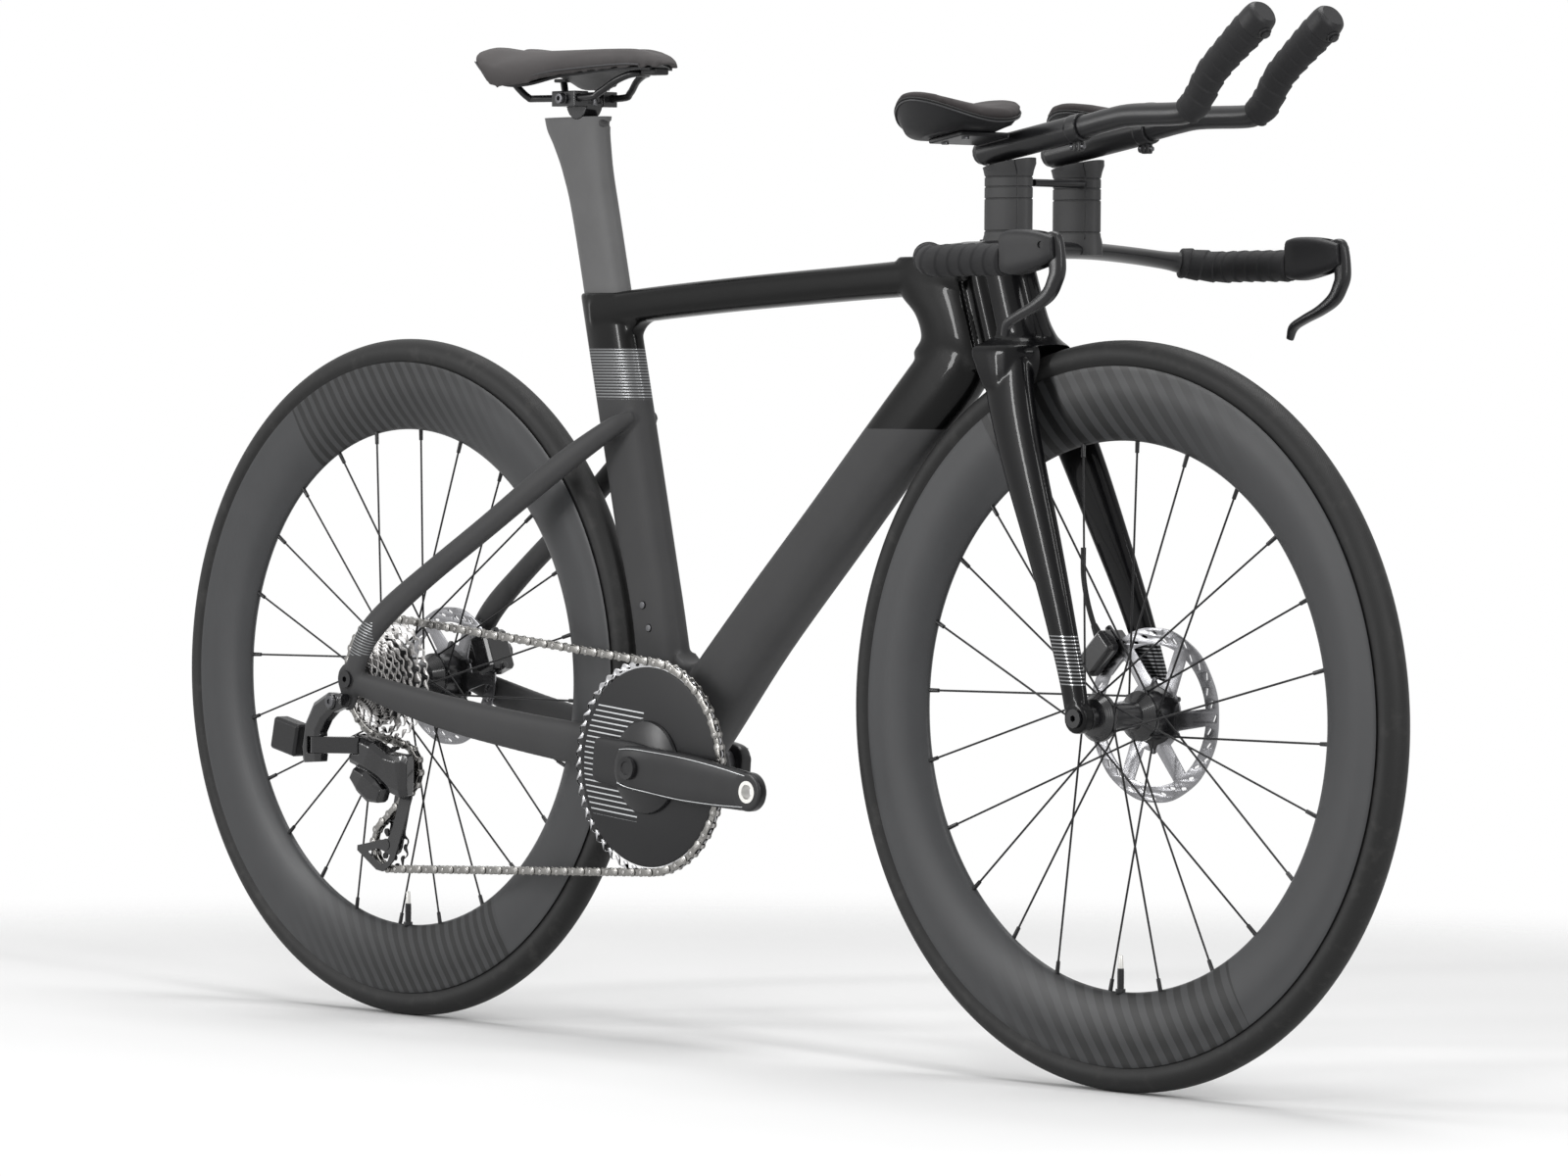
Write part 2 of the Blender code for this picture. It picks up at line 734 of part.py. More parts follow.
def seatstay(side):
    depths = [0.024, 0.025, 0.027, 0.026, 0.0235, 0.0235, 0.0245, 0.0200, 0.006]
    widths = [0.0110, 0.0130] + [STAY_WIDTH] * 5 + [0.012, 0.006]
    stations = [((x, side * y, z), d, w) for (x, y, z), d, w in zip(stay_points(), depths, widths)]
    return path_loft("seatstay", stations, MATT, 2.3, 0.0, 8)


def chainstay(side):
    rows = [
        (0.000, 0.0775, 0.337, 0.024, 0.0110),
        (0.022, 0.0740, 0.3335, 0.025, 0.0135),
        (0.076, 0.0665, 0.3210, 0.031, 0.0145),
        (0.143, 0.0560, 0.3075, 0.036, 0.0155),
        (0.225, 0.0430, 0.2950, 0.039, 0.0160),
        (0.295, 0.0318, 0.2860, 0.042, 0.0150),
        (0.345, 0.0305, 0.2800, 0.045, 0.0165),
        (0.400, 0.0250, 0.2740, 0.046, 0.0260),
    ]
    stations = [((ahead(a), side * y, z), d, w) for a, y, z, d, w in rows]
    return path_loft("chainstay", stations, MATT, 2.6, 0.0, 8)


def dropout(side):
    """The plate round the rear axle, with its outer face where the axle's head sits."""
    inner = REAR_AXLE_WIDTH / 2
    outer = inner + DROPOUT_THICKNESS
    low, high = sorted((side * inner, side * outer))
    return cross_cylinder("dropout", (REAR_X, AXLE_Z), DROPOUT_RADIUS, low, high, MATT, 12)


def hanger():
    """The lug below the right dropout that the derailleur hangs from."""
    start, end = (REAR_X, AXLE_Z), DERAILLEUR_BOLT
    outline = capsule(start, end, 0.0150, 0.0095, 7)
    outer = -(REAR_AXLE_WIDTH / 2 + 0.0085)
    return plate("hanger", outline, outer, outer + 0.0070, MATT)


def frame():
    """The whole carbon frame: tubes and stays as one shell, bored for its bearings and axle."""
    body = seat_tube()
    half = BB_SHELL_WIDTH / 2
    shell = cross_cylinder("bb_shell", (BB_X, BB_HEIGHT), BB_SHELL_RADIUS, -half, half, MATT, 16)
    tubes = [down_tube(), top_tube(), shell]
    head = head_block()
    sweep = cylinder("sweep", along_axis(0.600, 0), along_axis(0.800, 0), HEAD_SWEEP_RADIUS, MATT, 15)
    fillets = [
        web("top_fillet", (seat_x(0.7) + 0.028, 0.7100), (ahead(0.3310), 0.6655), (ahead(0.3620), 0.6990), 0.0100),
        web("foot_fillet", (BB_X + 0.004, 0.340), (ahead(0.4205), 0.4020), (ahead(0.4620), 0.3960), 0.0150),
    ]
    stays = [seatstay(side) for side in (LEFT, RIGHT)] + [chainstay(side) for side in (LEFT, RIGHT)]
    body = combined(body, tubes + fillets + [head])
    slot_radius = TYRE_RADIUS + TYRE_CLEARANCE
    body = cut(body, [wheel_slot("rear_slot", REAR_X, slot_radius, MATT), sweep])
    ends = [dropout(side) for side in (LEFT, RIGHT)] + [hanger()]
    body = combined(body, stays + head_nose() + ends)
    return cut(body, frame_bores())


def frame_bores():
    bores = [cross_cylinder("bb_bore", (BB_X, BB_HEIGHT), BB_BORE_RADIUS, -0.06, 0.06, MATT, 12)]
    bores.append(cross_cylinder("axle_bore", (REAR_X, AXLE_Z), AXLE_RADIUS + FIT, -0.10, 0.10, MATT, 12))
    low, high = along_axis(HEAD_BOTTOM, -0.01), along_axis(HEAD_TOP, 0.01)
    bores.append(cylinder("steerer_bore", low, high, HEAD_BORE_RADIUS, MATT, 12))
    pocket = BEARING_RADIUS + FIT
    depth = BEARING_HEIGHT + FIT
    bores.append(cylinder("low_pocket", low, along_axis(HEAD_BOTTOM, depth), pocket, MATT, 12))
    bores.append(cylinder("high_pocket", along_axis(HEAD_TOP, -depth), high, pocket, MATT, 12))
    wall = POST_CLEARANCE
    bores.append(post_solid("post_bore", POST_BOTTOM - 0.004, SEAT_TUBE_TOP + 0.03, wall, MATT))
    for side in (LEFT, RIGHT):
        low_y, high_y = sorted((side * BB_SHELL_WIDTH / 2, side * 0.06))
        bores.append(cross_cylinder("bb_face", (BB_X, BB_HEIGHT), BB_SHELL_RADIUS + 0.001, low_y, high_y, MATT, 16))
    bolt = DERAILLEUR_BOLT
    bores.append(cross_cylinder("hanger_bore", bolt, 0.0040 + FIT, -0.09, -0.06, MATT, 12))
    return bores


def bearing(name, height, direction):
    """A headset bearing: a ring in its pocket at one end of the head tube."""
    inner = STEERER_RADIUS + FIT
    start = along_axis(height, 0)
    end = along_axis(height, direction * BEARING_HEIGHT)
    ring = cylinder(name, start, end, BEARING_RADIUS, STEEL, 12)
    low = along_axis(height, -0.02)
    high = along_axis(height, 0.02)
    return cut(ring, [cylinder("bearing_bore", low, high, inner, STEEL, 16)])


def bottom_bracket():
    """The two bearing cups and the sleeve between them, turned as one."""
    half = BB_SHELL_WIDTH / 2
    cup = 0.0225
    body = BB_BORE_RADIUS - FIT
    bore = SPINDLE_RADIUS / math.cos(math.pi / SPINDLE_STEPS) + FIT
    face = half + FIT
    lip = face + 0.0035
    profile = [(cup, lip), (cup, face), (body, face), (body, -face), (cup, -face), (cup, -lip), (bore, -lip), (bore, lip)]
    return turned("bottom_bracket", profile, (BB_X, BB_HEIGHT), SATIN, 12)


# Seatpost and saddle


def post_solid(name, low, high, allowance, material):
    """The aero section of the seatpost between two heights, grown by an allowance."""
    stations = []
    for height in (low, high):
        middle = seat_x(height)
        half = POST_CHORD / 2 / math.sin(SEAT_ANGLE) + allowance
        stations.append((height, middle - half, middle + half, 0, POST_WIDTH + 2 * allowance))
    return level_loft(name, stations, material, 2.5, 0.35, 12)


def seatpost():
    half = POST_CHORD / 2 / math.sin(SEAT_ANGLE)
    rows = [(POST_BOTTOM, 0, 0), (0.790, 0, 0), (0.840, 0.0045, 0), (0.868, 0.0120, 0.0025), (0.884, 0.0185, 0.0050), (POST_TOP, 0.0200, 0.0100)]
    stations = []
    for height, rear, front in rows:
        middle = seat_x(height)
        stations.append((height, middle - half - rear, middle + half + front, 0, POST_WIDTH))
    post = level_loft("seatpost", stations, MATT, 2.5, 0.35, 12)
    head_x = seat_x(POST_TOP)
    hole = cross_cylinder("head_hole", (head_x + 0.0360, POST_TOP - 0.0065), 0.0036, -0.02, 0.02, MATT, 10)
    saddle_bed = cross_cylinder("clamp_bed", (CLAMP_X, CLAMP_HEIGHT), 0.0150 + FIT, -0.02, 0.02, MATT, 20)
    slot = box("bolt_slot", (CLAMP_X - 0.0285, -0.0035, 0.880), (CLAMP_X - 0.0225, 0.0035, 0.91), MATT)
    return cut(post, [hole, saddle_bed, slot])


def saddle_clamp():
    """The rocking cradle on the post, with a saddle rail gripped on each side."""
    cradle = cross_cylinder("saddle_clamp", (CLAMP_X, CLAMP_HEIGHT), 0.0150, -0.0105, 0.0105, SATIN, 16)
    flat = box("cradle_flat", (CLAMP_X - 0.02, -0.02, CLAMP_HEIGHT + 0.0070), (CLAMP_X + 0.02, 0.02, 0.94), SATIN)
    cradle = cut(cradle, [flat])
    pieces = []
    for side in (LEFT, RIGHT):
        y = side * RAIL_SPACING / 2
        low, high = sorted((side * 0.0100, y + side * 0.0060))
        pieces.append(
            box("ear", (CLAMP_X - 0.0170, low, RAIL_HEIGHT - 0.0085), (CLAMP_X + 0.0170, high, RAIL_HEIGHT + 0.0065), SATIN)
        )
    pieces.append(cross_cylinder("clamp_bolt", (CLAMP_X, RAIL_HEIGHT - 0.0010), 0.0046, -0.0325, 0.0325, SATIN, 8))
    body = combined(cradle, pieces)
    grooves = []
    for side in (LEFT, RIGHT):
        y = side * RAIL_SPACING / 2
        start, end = (CLAMP_X - 0.03, y, RAIL_HEIGHT), (CLAMP_X + 0.03, y, RAIL_HEIGHT)
        grooves.append(cylinder("rail_groove", start, end, RAIL_RADIUS + FIT, SATIN, 8))
    return cut(body, grooves)


def rail_ends():
    """Where the left rail meets the shell, behind and in front."""
    half = RAIL_SPACING / 2
    return (SADDLE_TAIL + 0.0450, half + 0.0120, 0.9345), (SADDLE_TAIL + 0.1980, 0.0060, 0.9370)


def saddle_rails():
    """One rod bent into two rails, joined under the nose."""
    half = RAIL_SPACING / 2
    left = [
        rail_ends()[0],
        (SADDLE_TAIL + 0.0500, half + 0.0090, RAIL_HEIGHT + 0.0115),
        (SADDLE_TAIL + 0.0590, half + 0.0030, RAIL_HEIGHT + 0.0015),
        (SADDLE_TAIL + 0.0680, half, RAIL_HEIGHT),
        (SADDLE_TAIL + 0.1430, half, RAIL_HEIGHT),
        (SADDLE_TAIL + 0.1580, half - 0.0020, RAIL_HEIGHT + 0.0045),
        (SADDLE_TAIL + 0.1740, half - 0.0080, RAIL_HEIGHT + 0.0150),
        (SADDLE_TAIL + 0.1880, half - 0.0120, RAIL_HEIGHT + 0.0205),
        rail_ends()[1],
    ]
    right = [(x, -y, z) for x, y, z in reversed(left)]
    return tube("saddle_rails", left + right, RAIL_RADIUS, SATIN, 1)


def saddle_section(ahead_of_tail):
    """Half width, edge height and crown height of the cushion at a distance from its tail."""
    table = [
        (0.000, 0.0370, 0.9570, 0.9625),
        (0.013, 0.0550, 0.9510, 0.9655),
        (0.030, 0.0640, 0.9390, 0.9640),
        (0.051, 0.0665, 0.9245, 0.9615),
        (0.083, 0.0620, 0.9235, 0.9600),
        (0.117, 0.0500, 0.9320, 0.9600),
        (0.140, 0.0400, 0.9355, 0.9603),
        (0.165, 0.0310, 0.9385, 0.9605),
        (0.195, 0.0240, 0.9405, 0.9600),
        (0.220, 0.0200, 0.9400, 0.9570),
        (0.233, 0.0150, 0.9395, 0.9520),
        (0.238, 0.0080, 0.9410, 0.9470),
    ]
    for near, far in zip(table, table[1:]):
        if ahead_of_tail <= far[0] + 1e-6:
            t = (ahead_of_tail - near[0]) / (far[0] - near[0])
            return tuple(a + (b - a) * t for a, b in zip(near[1:], far[1:]))
    return table[-1][1:]


SADDLE_PLACES = (0.0, 0.013, 0.030, 0.051, 0.067, 0.083, 0.100, 0.117, 0.140, 0.165, 0.195, 0.220, 0.233, SADDLE_LENGTH)
UNDERSIDE = ((0.86, 0.16), (0.40, 0.46), (0.0, 0.50), (-0.40, 0.46), (-0.86, 0.16))


def saddle_cushion():
    """The padded top: a crown over drawn-in sides, with a pressure channel down its middle."""
    across = (-0.98, -1.02, -0.90, -0.56, -0.18, 0.0, 0.18, 0.56, 0.90, 1.02, 0.98)
    lift = (0.00, 0.28, 0.72, 0.98, 0.98, 0.95, 0.98, 0.98, 0.72, 0.28, 0.00)
    rings = []
    for place in SADDLE_PLACES:
        half, edge, crown = saddle_section(place)
        share = min(1.0, place / (0.8 * SADDLE_LENGTH))
        channel = 0.0040 * math.sin(math.pi * share) ** 0.6
        ring = []
        for side, rise in zip(across, lift):
            drop = channel if abs(side) < 0.1 else 0
            ring.append(Vector((SADDLE_TAIL + place, side * half, edge + (crown - edge) * rise - drop)))
        for side, rise in UNDERSIDE:
            ring.append(Vector((SADDLE_TAIL + place, side * half, edge + (crown - edge) * rise)))
        rings.append(ring)
    return loft("saddle_cushion", rings, COVER)


def saddle_shell():
    """The moulded base under the cushion, with sockets for the rails' ends."""
    rings = []
    for place in SADDLE_PLACES[3:-1]:
        half, edge, crown = saddle_section(place)
        tops, bottoms = [], []
        for side, rise in UNDERSIDE:
            height = edge + (crown - edge) * rise - 2 * FIT
            tops.append(Vector((SADDLE_TAIL + place, side * half * 0.98, height)))
            bottoms.append(Vector((SADDLE_TAIL + place, side * half * 0.96, height - 0.0022)))
        rings.append(tops + list(reversed(bottoms)))
    shell = loft("saddle_shell", rings, SATIN)
    (x, y, z), (nose_x, _, nose_z) = rail_ends()
    sockets = []
    for side in (LEFT, RIGHT):
        low, high = sorted((side * (y - 0.0045), side * (y + 0.0045)))
        sockets.append(box("rear_socket", (x - 0.010, low, z + 0.0020), (x + 0.008, high, 0.9368), SATIN))
    low = nose_z + RAIL_RADIUS + FIT
    sockets.append(box("nose_socket", (nose_x - 0.012, -0.0077, low), (nose_x + 0.010, 0.0077, 0.9477), SATIN))
    sockets.append(box("nose_guard", (nose_x + 0.0060, -0.0090, 0.9345), (nose_x + 0.0350, 0.0090, 0.9420), SATIN, 0.001))
    return combined(shell, sockets)


# Fork and cockpit


def blade_stations(side):
    rows = [
        (0.662, 0.8680, 0.058, 0.0275, 0.0190),
        (0.640, 0.8740, 0.058, 0.0310, 0.0200),
        (0.605, 0.8860, 0.056, 0.0350, 0.0205),
        (0.560, 0.9050, 0.0525, 0.0400, 0.0200),
        (0.500, 0.9310, 0.045, 0.0450, 0.0185),
        (0.440, 0.9560, 0.037, 0.0500, 0.0165),
        (0.380, 0.9780, 0.031, 0.0540, 0.0140),
        (0.342, 0.9890, 0.028, FRONT_AXLE_WIDTH / 2 + BLADE_TIP_THICKNESS / 2, BLADE_TIP_THICKNESS),
    ]
    return [
        (z, ahead_front(x) - chord / 2, ahead_front(x) + chord / 2, side * y, width)
        for z, x, chord, y, width in rows
    ]


def ahead_front(distance):
    """World X of a fork point, given as measured from the rear axle and carried by the front one."""
    return REAR_X + distance


def blade(side):
    return level_loft("blade", blade_stations(side), GLOSS, 2.3, 0.25, 10)


def fork_end(side):
    inner = FRONT_AXLE_WIDTH / 2
    low, high = sorted((side * inner, side * (inner + BLADE_TIP_THICKNESS)))
    return cross_cylinder("fork_end", (FRONT_X, AXLE_Z), BLADE_TIP_RADIUS, low, high, GLOSS, 20)


def column_section(height, front, rear, half, shoulder):
    """A ring of the outer steerer: a rounded front, straight flanks and square rear corners."""
    share = [(1.0, 0.14), (0.94, 0.48), (0.80, 0.78), (0.57, 0.97), (0.30, 1.0), (0.04, 0.97), (0.0, 0.84)]
    side = [Vector((steer_x(height) + rear + (front - rear) * along, half * across, height)) for along, across in share]
    side.append(Vector((steer_x(height) + rear + shoulder, half * 0.40, height)))
    return side + [Vector((point.x, -point.y, point.z)) for point in reversed(side)]


def bayonet():
    """The outer steerer in front of the head, flaring down into the crown and over the tyre."""
    rows = [
        (0.6355, 0.0500, -0.0020, 0.0398, 0.0),
        (0.655, 0.0660, -0.0060, 0.0400, 0.0),
        (0.6715, 0.0730, -0.0085, 0.0375, 0.004),
        (0.6790, 0.0680, 0.0040, 0.0280, 0.003),
        (0.6860, 0.0635, 0.0140, 0.0225, 0.0),
        (0.7050, 0.0590, 0.0145, 0.0205, 0.0),
        (0.7560, 0.0570, 0.0145, 0.0195, 0.0),
    ]
    return loft("fork", [column_section(*row) for row in rows], GLOSS)


def fork():
    body = bayonet()
    seat = HEAD_BOTTOM
    nose_room = cylinder(
        "nose_room",
        along_axis(seat, -0.0004),
        along_axis(HEAD_TOP, 0.0003),
        HEAD_NOSE_RADIUS + BAYONET_CLEARANCE,
        GLOSS,
        20,
    )
    body = cut(body, [nose_room])
    parts = [blade(side) for side in (LEFT, RIGHT)] + [fork_end(side) for side in (LEFT, RIGHT)]
    parts.append(cylinder("crown_race", along_axis(seat, -0.014), along_axis(seat, -0.0004), 0.0160, GLOSS, 16))
    body = combined(body, parts)
    arch = cross_cylinder("arch", (FRONT_X, AXLE_Z), TYRE_RADIUS + 0.0065, -0.0208, 0.0208, GLOSS, 40)
    body = cut(body, [arch])
    steerer = cylinder("steerer", along_axis(seat, -0.008), along_axis(HEAD_TOP, 0.012), STEERER_RADIUS, GLOSS, 16)
    body = combined(body, [steerer])
    axle_hole = cross_cylinder("axle_hole", (FRONT_X, AXLE_Z), AXLE_RADIUS + FIT, -0.08, 0.08, GLOSS, 16)
    return cut(body, [axle_hole])


def bar_path():
    """The base bar's centre line on the left, from the stem to its forward end."""
    return [
        (BAR_X, 0.0, BAR_HEIGHT),
        (BAR_X + 0.001, 0.060, BAR_HEIGHT),
        (BAR_X + 0.004, 0.110, BAR_HEIGHT - 0.0030),
        (BAR_X + 0.012, 0.148, BAR_HEIGHT - 0.0070),
        (BAR_X + 0.0185, 0.162, BAR_HEIGHT - 0.0090),
        (BAR_X + 0.026, 0.172, BAR_HEIGHT - 0.0105),
        (BAR_X + 0.048, 0.186, BAR_HEIGHT - 0.0130),
        (BAR_X + 0.080, BAR_HALF_WIDTH, BAR_HEIGHT - BAR_DROP),
        (BAR_X + BAR_END, BAR_HALF_WIDTH, BAR_HEIGHT - BAR_DROP),
    ]


def bar_rings(side):
    path = [Vector((x, side * y, z)) for x, y, z in bar_path()]
    round_size = 2 * BAR_TUBE_RADIUS
    chords = [BAR_CHORD, BAR_CHORD, 0.034, 0.028, 0.024] + [round_size] * 4
    heights = [BAR_THICKNESS, BAR_THICKNESS, BAR_THICKNESS, 0.0165, 0.0195] + [round_size] * 4
    rings = []
    for i in range(len(path)):
        before, after = path[max(i - 1, 0)], path[min(i + 1, len(path) - 1)]
        tangent = (after - before).normalized() if i else Vector((0, side, 0))
        up = Vector((0, 0, 1))
        flat = up.cross(tangent).normalized()
        rings.append(oval(path[i], flat, up, chords[i], heights[i], 2.0, 0.0, 10))
    return rings


def base_bar():
    """The wing bar with its forward grips, and the stem on the steerer, in one moulding."""
    wing = list(reversed(bar_rings(RIGHT)))
    left = bar_rings(LEFT)[1:]
    bar = loft("base_bar", follow(wing + left), SATIN)
    foot = along_axis(HEAD_TOP, 0.0008)
    stem_rows = [
        (0.7505, -0.0235, 0.0620, 0.0460),
        (0.7620, -0.0225, 0.0900, 0.0440),
        (0.7690, -0.0200, 0.0920, 0.0360),
        (0.7705, -0.0120, 0.0820, 0.0240),
    ]
    stations = [(z, steer_x(z) + rear, steer_x(z) + front, 0, width) for z, rear, front, width in stem_rows]
    stem = level_loft("stem", stations, SATIN, 3.0, 0.0, 12)
    collar = cylinder("stem_collar", foot, along_axis(HEAD_TOP, 0.016), 0.0205, SATIN, 16)
    body = combined(bar, [stem, collar])
    bore = cylinder("stem_bore", along_axis(HEAD_TOP, -0.002), along_axis(HEAD_TOP, 0.0125), STEERER_RADIUS + FIT, SATIN, 16)
    top = fork_top_clearance()
    return cut(body, [bore, top])


def fork_top_clearance():
    """The socket in the stem's foot for the top of the outer steerer."""
    grow = 2 * FIT
    rings = [column_section(height, 0.057 + grow, 0.0145 - grow, 0.0197 + grow, 0.0) for height in (0.730, 0.7560 + FIT)]
    return loft("socket", rings, SATIN)


def follow(rings):
    """Turns and reverses each ring so that its points run beside those of the ring before."""
    out = [rings[0]]
    for ring in rings[1:]:
        last = out[-1]
        best = None
        for points in (ring, list(reversed(ring))):
            for shift in range(len(points)):
                moved = points[shift:] + points[:shift]
                length = sum((a - b).length for a, b in zip(moved, last))
                if best is None or length < best[0]:
                    best = (length, moved)
        out.append(best[1])
    return out


def bar_tape(side):
    """The wound grip on one forward end of the bar."""
    name = "bar_tape_left" if side == LEFT else "bar_tape_right"
    path = [Vector((x, side * y, z)) for x, y, z in bar_path()[4:8]]
    path.append(Vector((BAR_X + BAR_TAPE_END, side * BAR_HALF_WIDTH, BAR_HEIGHT - BAR_DROP)))
    rings, holes = [], []
    for i, centre in enumerate(path):
        before, after = path[max(i - 1, 0)], path[min(i + 1, len(path) - 1)]
        tangent = (after - before).normalized()
        flat = Vector((0, 0, 1)).cross(tangent).normalized()
        radius = BAR_TAPE_RADIUS if i else BAR_TAPE_RADIUS - 0.0005
        rings.append(oval(centre, flat, Vector((0, 0, 1)), 2 * radius, 2 * radius, 2.0, 0.0, 10))
        room = FIT if i > 1 else 6 * FIT
        bore = 2 * (BAR_TUBE_RADIUS + room) if i else 0.024 + room
        reach = tangent * (0.004 if i == len(path) - 1 else -0.004 if i == 0 else 0)
        tall = bore if i else 0.0195 + room
        holes.append(oval(centre + reach, flat, Vector((0, 0, 1)), bore, tall, 2.0, 0.0, 10))
    solid = loft(name, follow(rings), TAPE)
    return cut(solid, [loft("tape_bore", follow(holes), TAPE)])


def lever_body(side):
    """The brake lever's housing on the bar's end: a wedge with a slot for the lever's root."""
    name = "lever_body_left" if side == LEFT else "lever_body_right"
    x = BAR_X + BAR_TAPE_END + FIT
    y = side * BAR_HALF_WIDTH
    z = BAR_HEIGHT - BAR_DROP
    rows = [
        (x, -0.0120, 0.0240, 0.0240),
        (x + 0.0120, -0.0135, 0.0262, 0.0250),
        (x + 0.0320, -0.0100, 0.0260, 0.0240),
        (x + 0.0500, -0.0050, 0.0232, 0.0220),
        (x + 0.0620, 0.0005, 0.0200, 0.0180),
    ]
    stations = [((place, y, z + (low + high) / 2), high - low, width) for place, low, high, width in rows]
    body = path_loft(name, stations, SATIN, 4.5, 0.0, 8)
    end = BAR_X + BAR_END + FIT
    bore = cylinder("bar_bore", (x - 0.01, y, z), (end, y, z), BAR_TUBE_RADIUS + 2 * FIT, SATIN, 12)
    slot = box("lever_slot", (LEVER_X - 0.0105, y - 0.0056, z - 0.03), (LEVER_X + 0.05, y + 0.0056, z + 0.05), SATIN)
    body = cut(body, [bore, slot])
    pin = cross_cylinder("lever_pin", (LEVER_X, LEVER_Z), 0.0022, y - 0.0080, y + 0.0080, SATIN, 8)
    return combined(body, [pin])


def brake_lever(side):
    """A bent blade that hangs from its pin and curves back under the grip."""
    name = "brake_lever_left" if side == LEFT else "brake_lever_right"
    y = side * BAR_HALF_WIDTH
    rows = [
        (-0.0030, 0.0070, 0.0080, 0.0100),
        (0.0050, 0.0040, 0.0200, 0.0102),
        (0.0110, -0.0200, 0.0165, 0.0110),
        (0.0075, -0.0325, 0.0140, 0.0118),
        (0.0000, -0.0435, 0.0125, 0.0120),
        (-0.0160, -0.0535, 0.0095, 0.0120),
        (-0.0350, -0.0615, 0.0080, 0.0115),
        (-0.0490, -0.0690, 0.0075, 0.0105),
        (-0.0535, -0.0800, 0.0060, 0.0070),
    ]
    stations = [((LEVER_X + x, y, LEVER_Z + z), depth, width) for x, z, depth, width in rows]
    blade_solid = path_loft(name, stations, SATIN, 2.6, 0.0, 8)
    root = cross_cylinder("lever_root", (LEVER_X, LEVER_Z), 0.0068, y - 0.0050, y + 0.0050, SATIN, 8)
    body = combined(blade_solid, [root])
    return cut(body, [cross_cylinder("pin_hole", (LEVER_X, LEVER_Z), 0.0022 + FIT, y - 0.02, y + 0.02, SATIN, 8)])


def riser(side):
    """A stack of spacers as one aero tower, with the rocking cap that carries the extension."""
    name = "riser_left" if side == LEFT else "riser_right"
    y = side * TOWER_Y
    groove = 0.0012
    rows = [(BAR_HEIGHT, 0.0040)]
    for seam in TOWER_SEAMS:
        rows += [(seam - 0.0008, 0.0), (seam, -groove), (seam + 0.0008, 0.0)]
    rows += [(TOWER_CAP - 0.0060, 0.0060), (TOWER_CAP + 0.0060, 0.0050)]
    stations = []
    for height, grow in rows:
        half = TOWER_CHORD / 2 + grow / 2
        stations.append((height, BAR_X - half, BAR_X + half, y, TOWER_WIDTH + grow))
    tower = level_loft(name, stations, MATT, 2.3, -0.25, 8)
    bed = cylinder("sleeve_bed", sleeve_point(-0.03, side), sleeve_point(0.20, side), SLEEVE_RADIUS + FIT, MATT, 12)
    above = box("above", (BAR_X - 0.05, y - 0.03, 0.8400), (BAR_X + 0.05, y + 0.03, 0.88), MATT)
    above.data.transform(tilt_about(sleeve_point(0.042, side)))
    return cut(tower, [bed, above, base_seat(side)])


def tilt_about(point):
    """A turn by the sleeve's slope about a line across the bike."""
    there = Matrix.Translation(point)
    return there @ Matrix.Rotation(-SLEEVE_SLOPE, 4, "Y") @ there.inverted()


def base_seat(side):
    """The bar's own skin, grown by the fit, as a cutter for the tower's foot."""
    y = side * TOWER_Y
    rings = []
    for place in (y - 0.03, y + 0.03):
        centre = Vector((BAR_X + 0.0006, place, BAR_HEIGHT))
        size = 4 * FIT
        rings.append(oval(centre, Vector((1, 0, 0)), Vector((0, 0, 1)), BAR_CHORD + size, BAR_THICKNESS + size, 2.0, 0.0, 12))
    return loft("bar_cutter", rings, MATT)


def sleeve_point(distance, side):
    """A point on the sleeve's axis, from its rear end forward."""
    along = Vector((math.cos(SLEEVE_SLOPE), 0, math.sin(SLEEVE_SLOPE)))
    return Vector((BAR_X + SLEEVE_TAIL_AHEAD, side * TOWER_Y, SLEEVE_TAIL_HEIGHT)) + along * distance


def sleeve(side):
    """The clamp that holds an extension: a tube with a rounded tail, a bolted band and an arm for the pad."""
    name = "extension_clamp_left" if side == LEFT else "extension_clamp_right"
    body = cylinder(name, sleeve_point(0.010, side), sleeve_point(SLEEVE_LENGTH, side), SLEEVE_RADIUS, SATIN, 10)
    tail = cylinder("sleeve_tail", sleeve_point(0.004, side), sleeve_point(0.0130, side), 0.0098, SATIN, 10, SLEEVE_RADIUS - 0.0004)
    front = sleeve_point(SLEEVE_LENGTH - 0.006, side)
    drop = front - Vector((0, 0, SLEEVE_RADIUS + 0.0040))
    ears = [
        box("ear_rear", drop - Vector((0.0048, 0.0030, 0.0045)), drop + Vector((-0.0010, 0.0030, 0.0060)), SATIN),
        box("ear_front", drop + Vector((0.0010, -0.0030, -0.0045)), drop + Vector((0.0048, 0.0030, 0.0060)), SATIN),
        cylinder("band_bolt", drop - Vector((0.007, 0, 0)), drop + Vector((0.006, 0, 0)), 0.0022, SATIN, 6),
    ]
    outer = side * (PAD_Y + 0.0180)
    low, high = sorted((side * (TOWER_Y - 0.008), outer))
    x = BAR_X + PAD_AHEAD
    top = CUP_BASE - FIT
    arm = box("pad_arm", (x - 0.020, low, top - 0.0045), (x + 0.022, high, top), SATIN)
    arm.data.transform(tilt_about(Vector((x, 0, top))))
    body = combined(body, [tail, *ears, arm])
    mouth = sleeve_point(SLEEVE_LENGTH + 0.01, side)
    floor = sleeve_point(EXTENSION_INSERT - EXTENSION_TRAVEL - 5 * FIT, side)
    bore = cylinder("sleeve_bore", floor, mouth, EXTENSION_RADIUS + FIT, SATIN, 12)
    return cut(body, [bore])


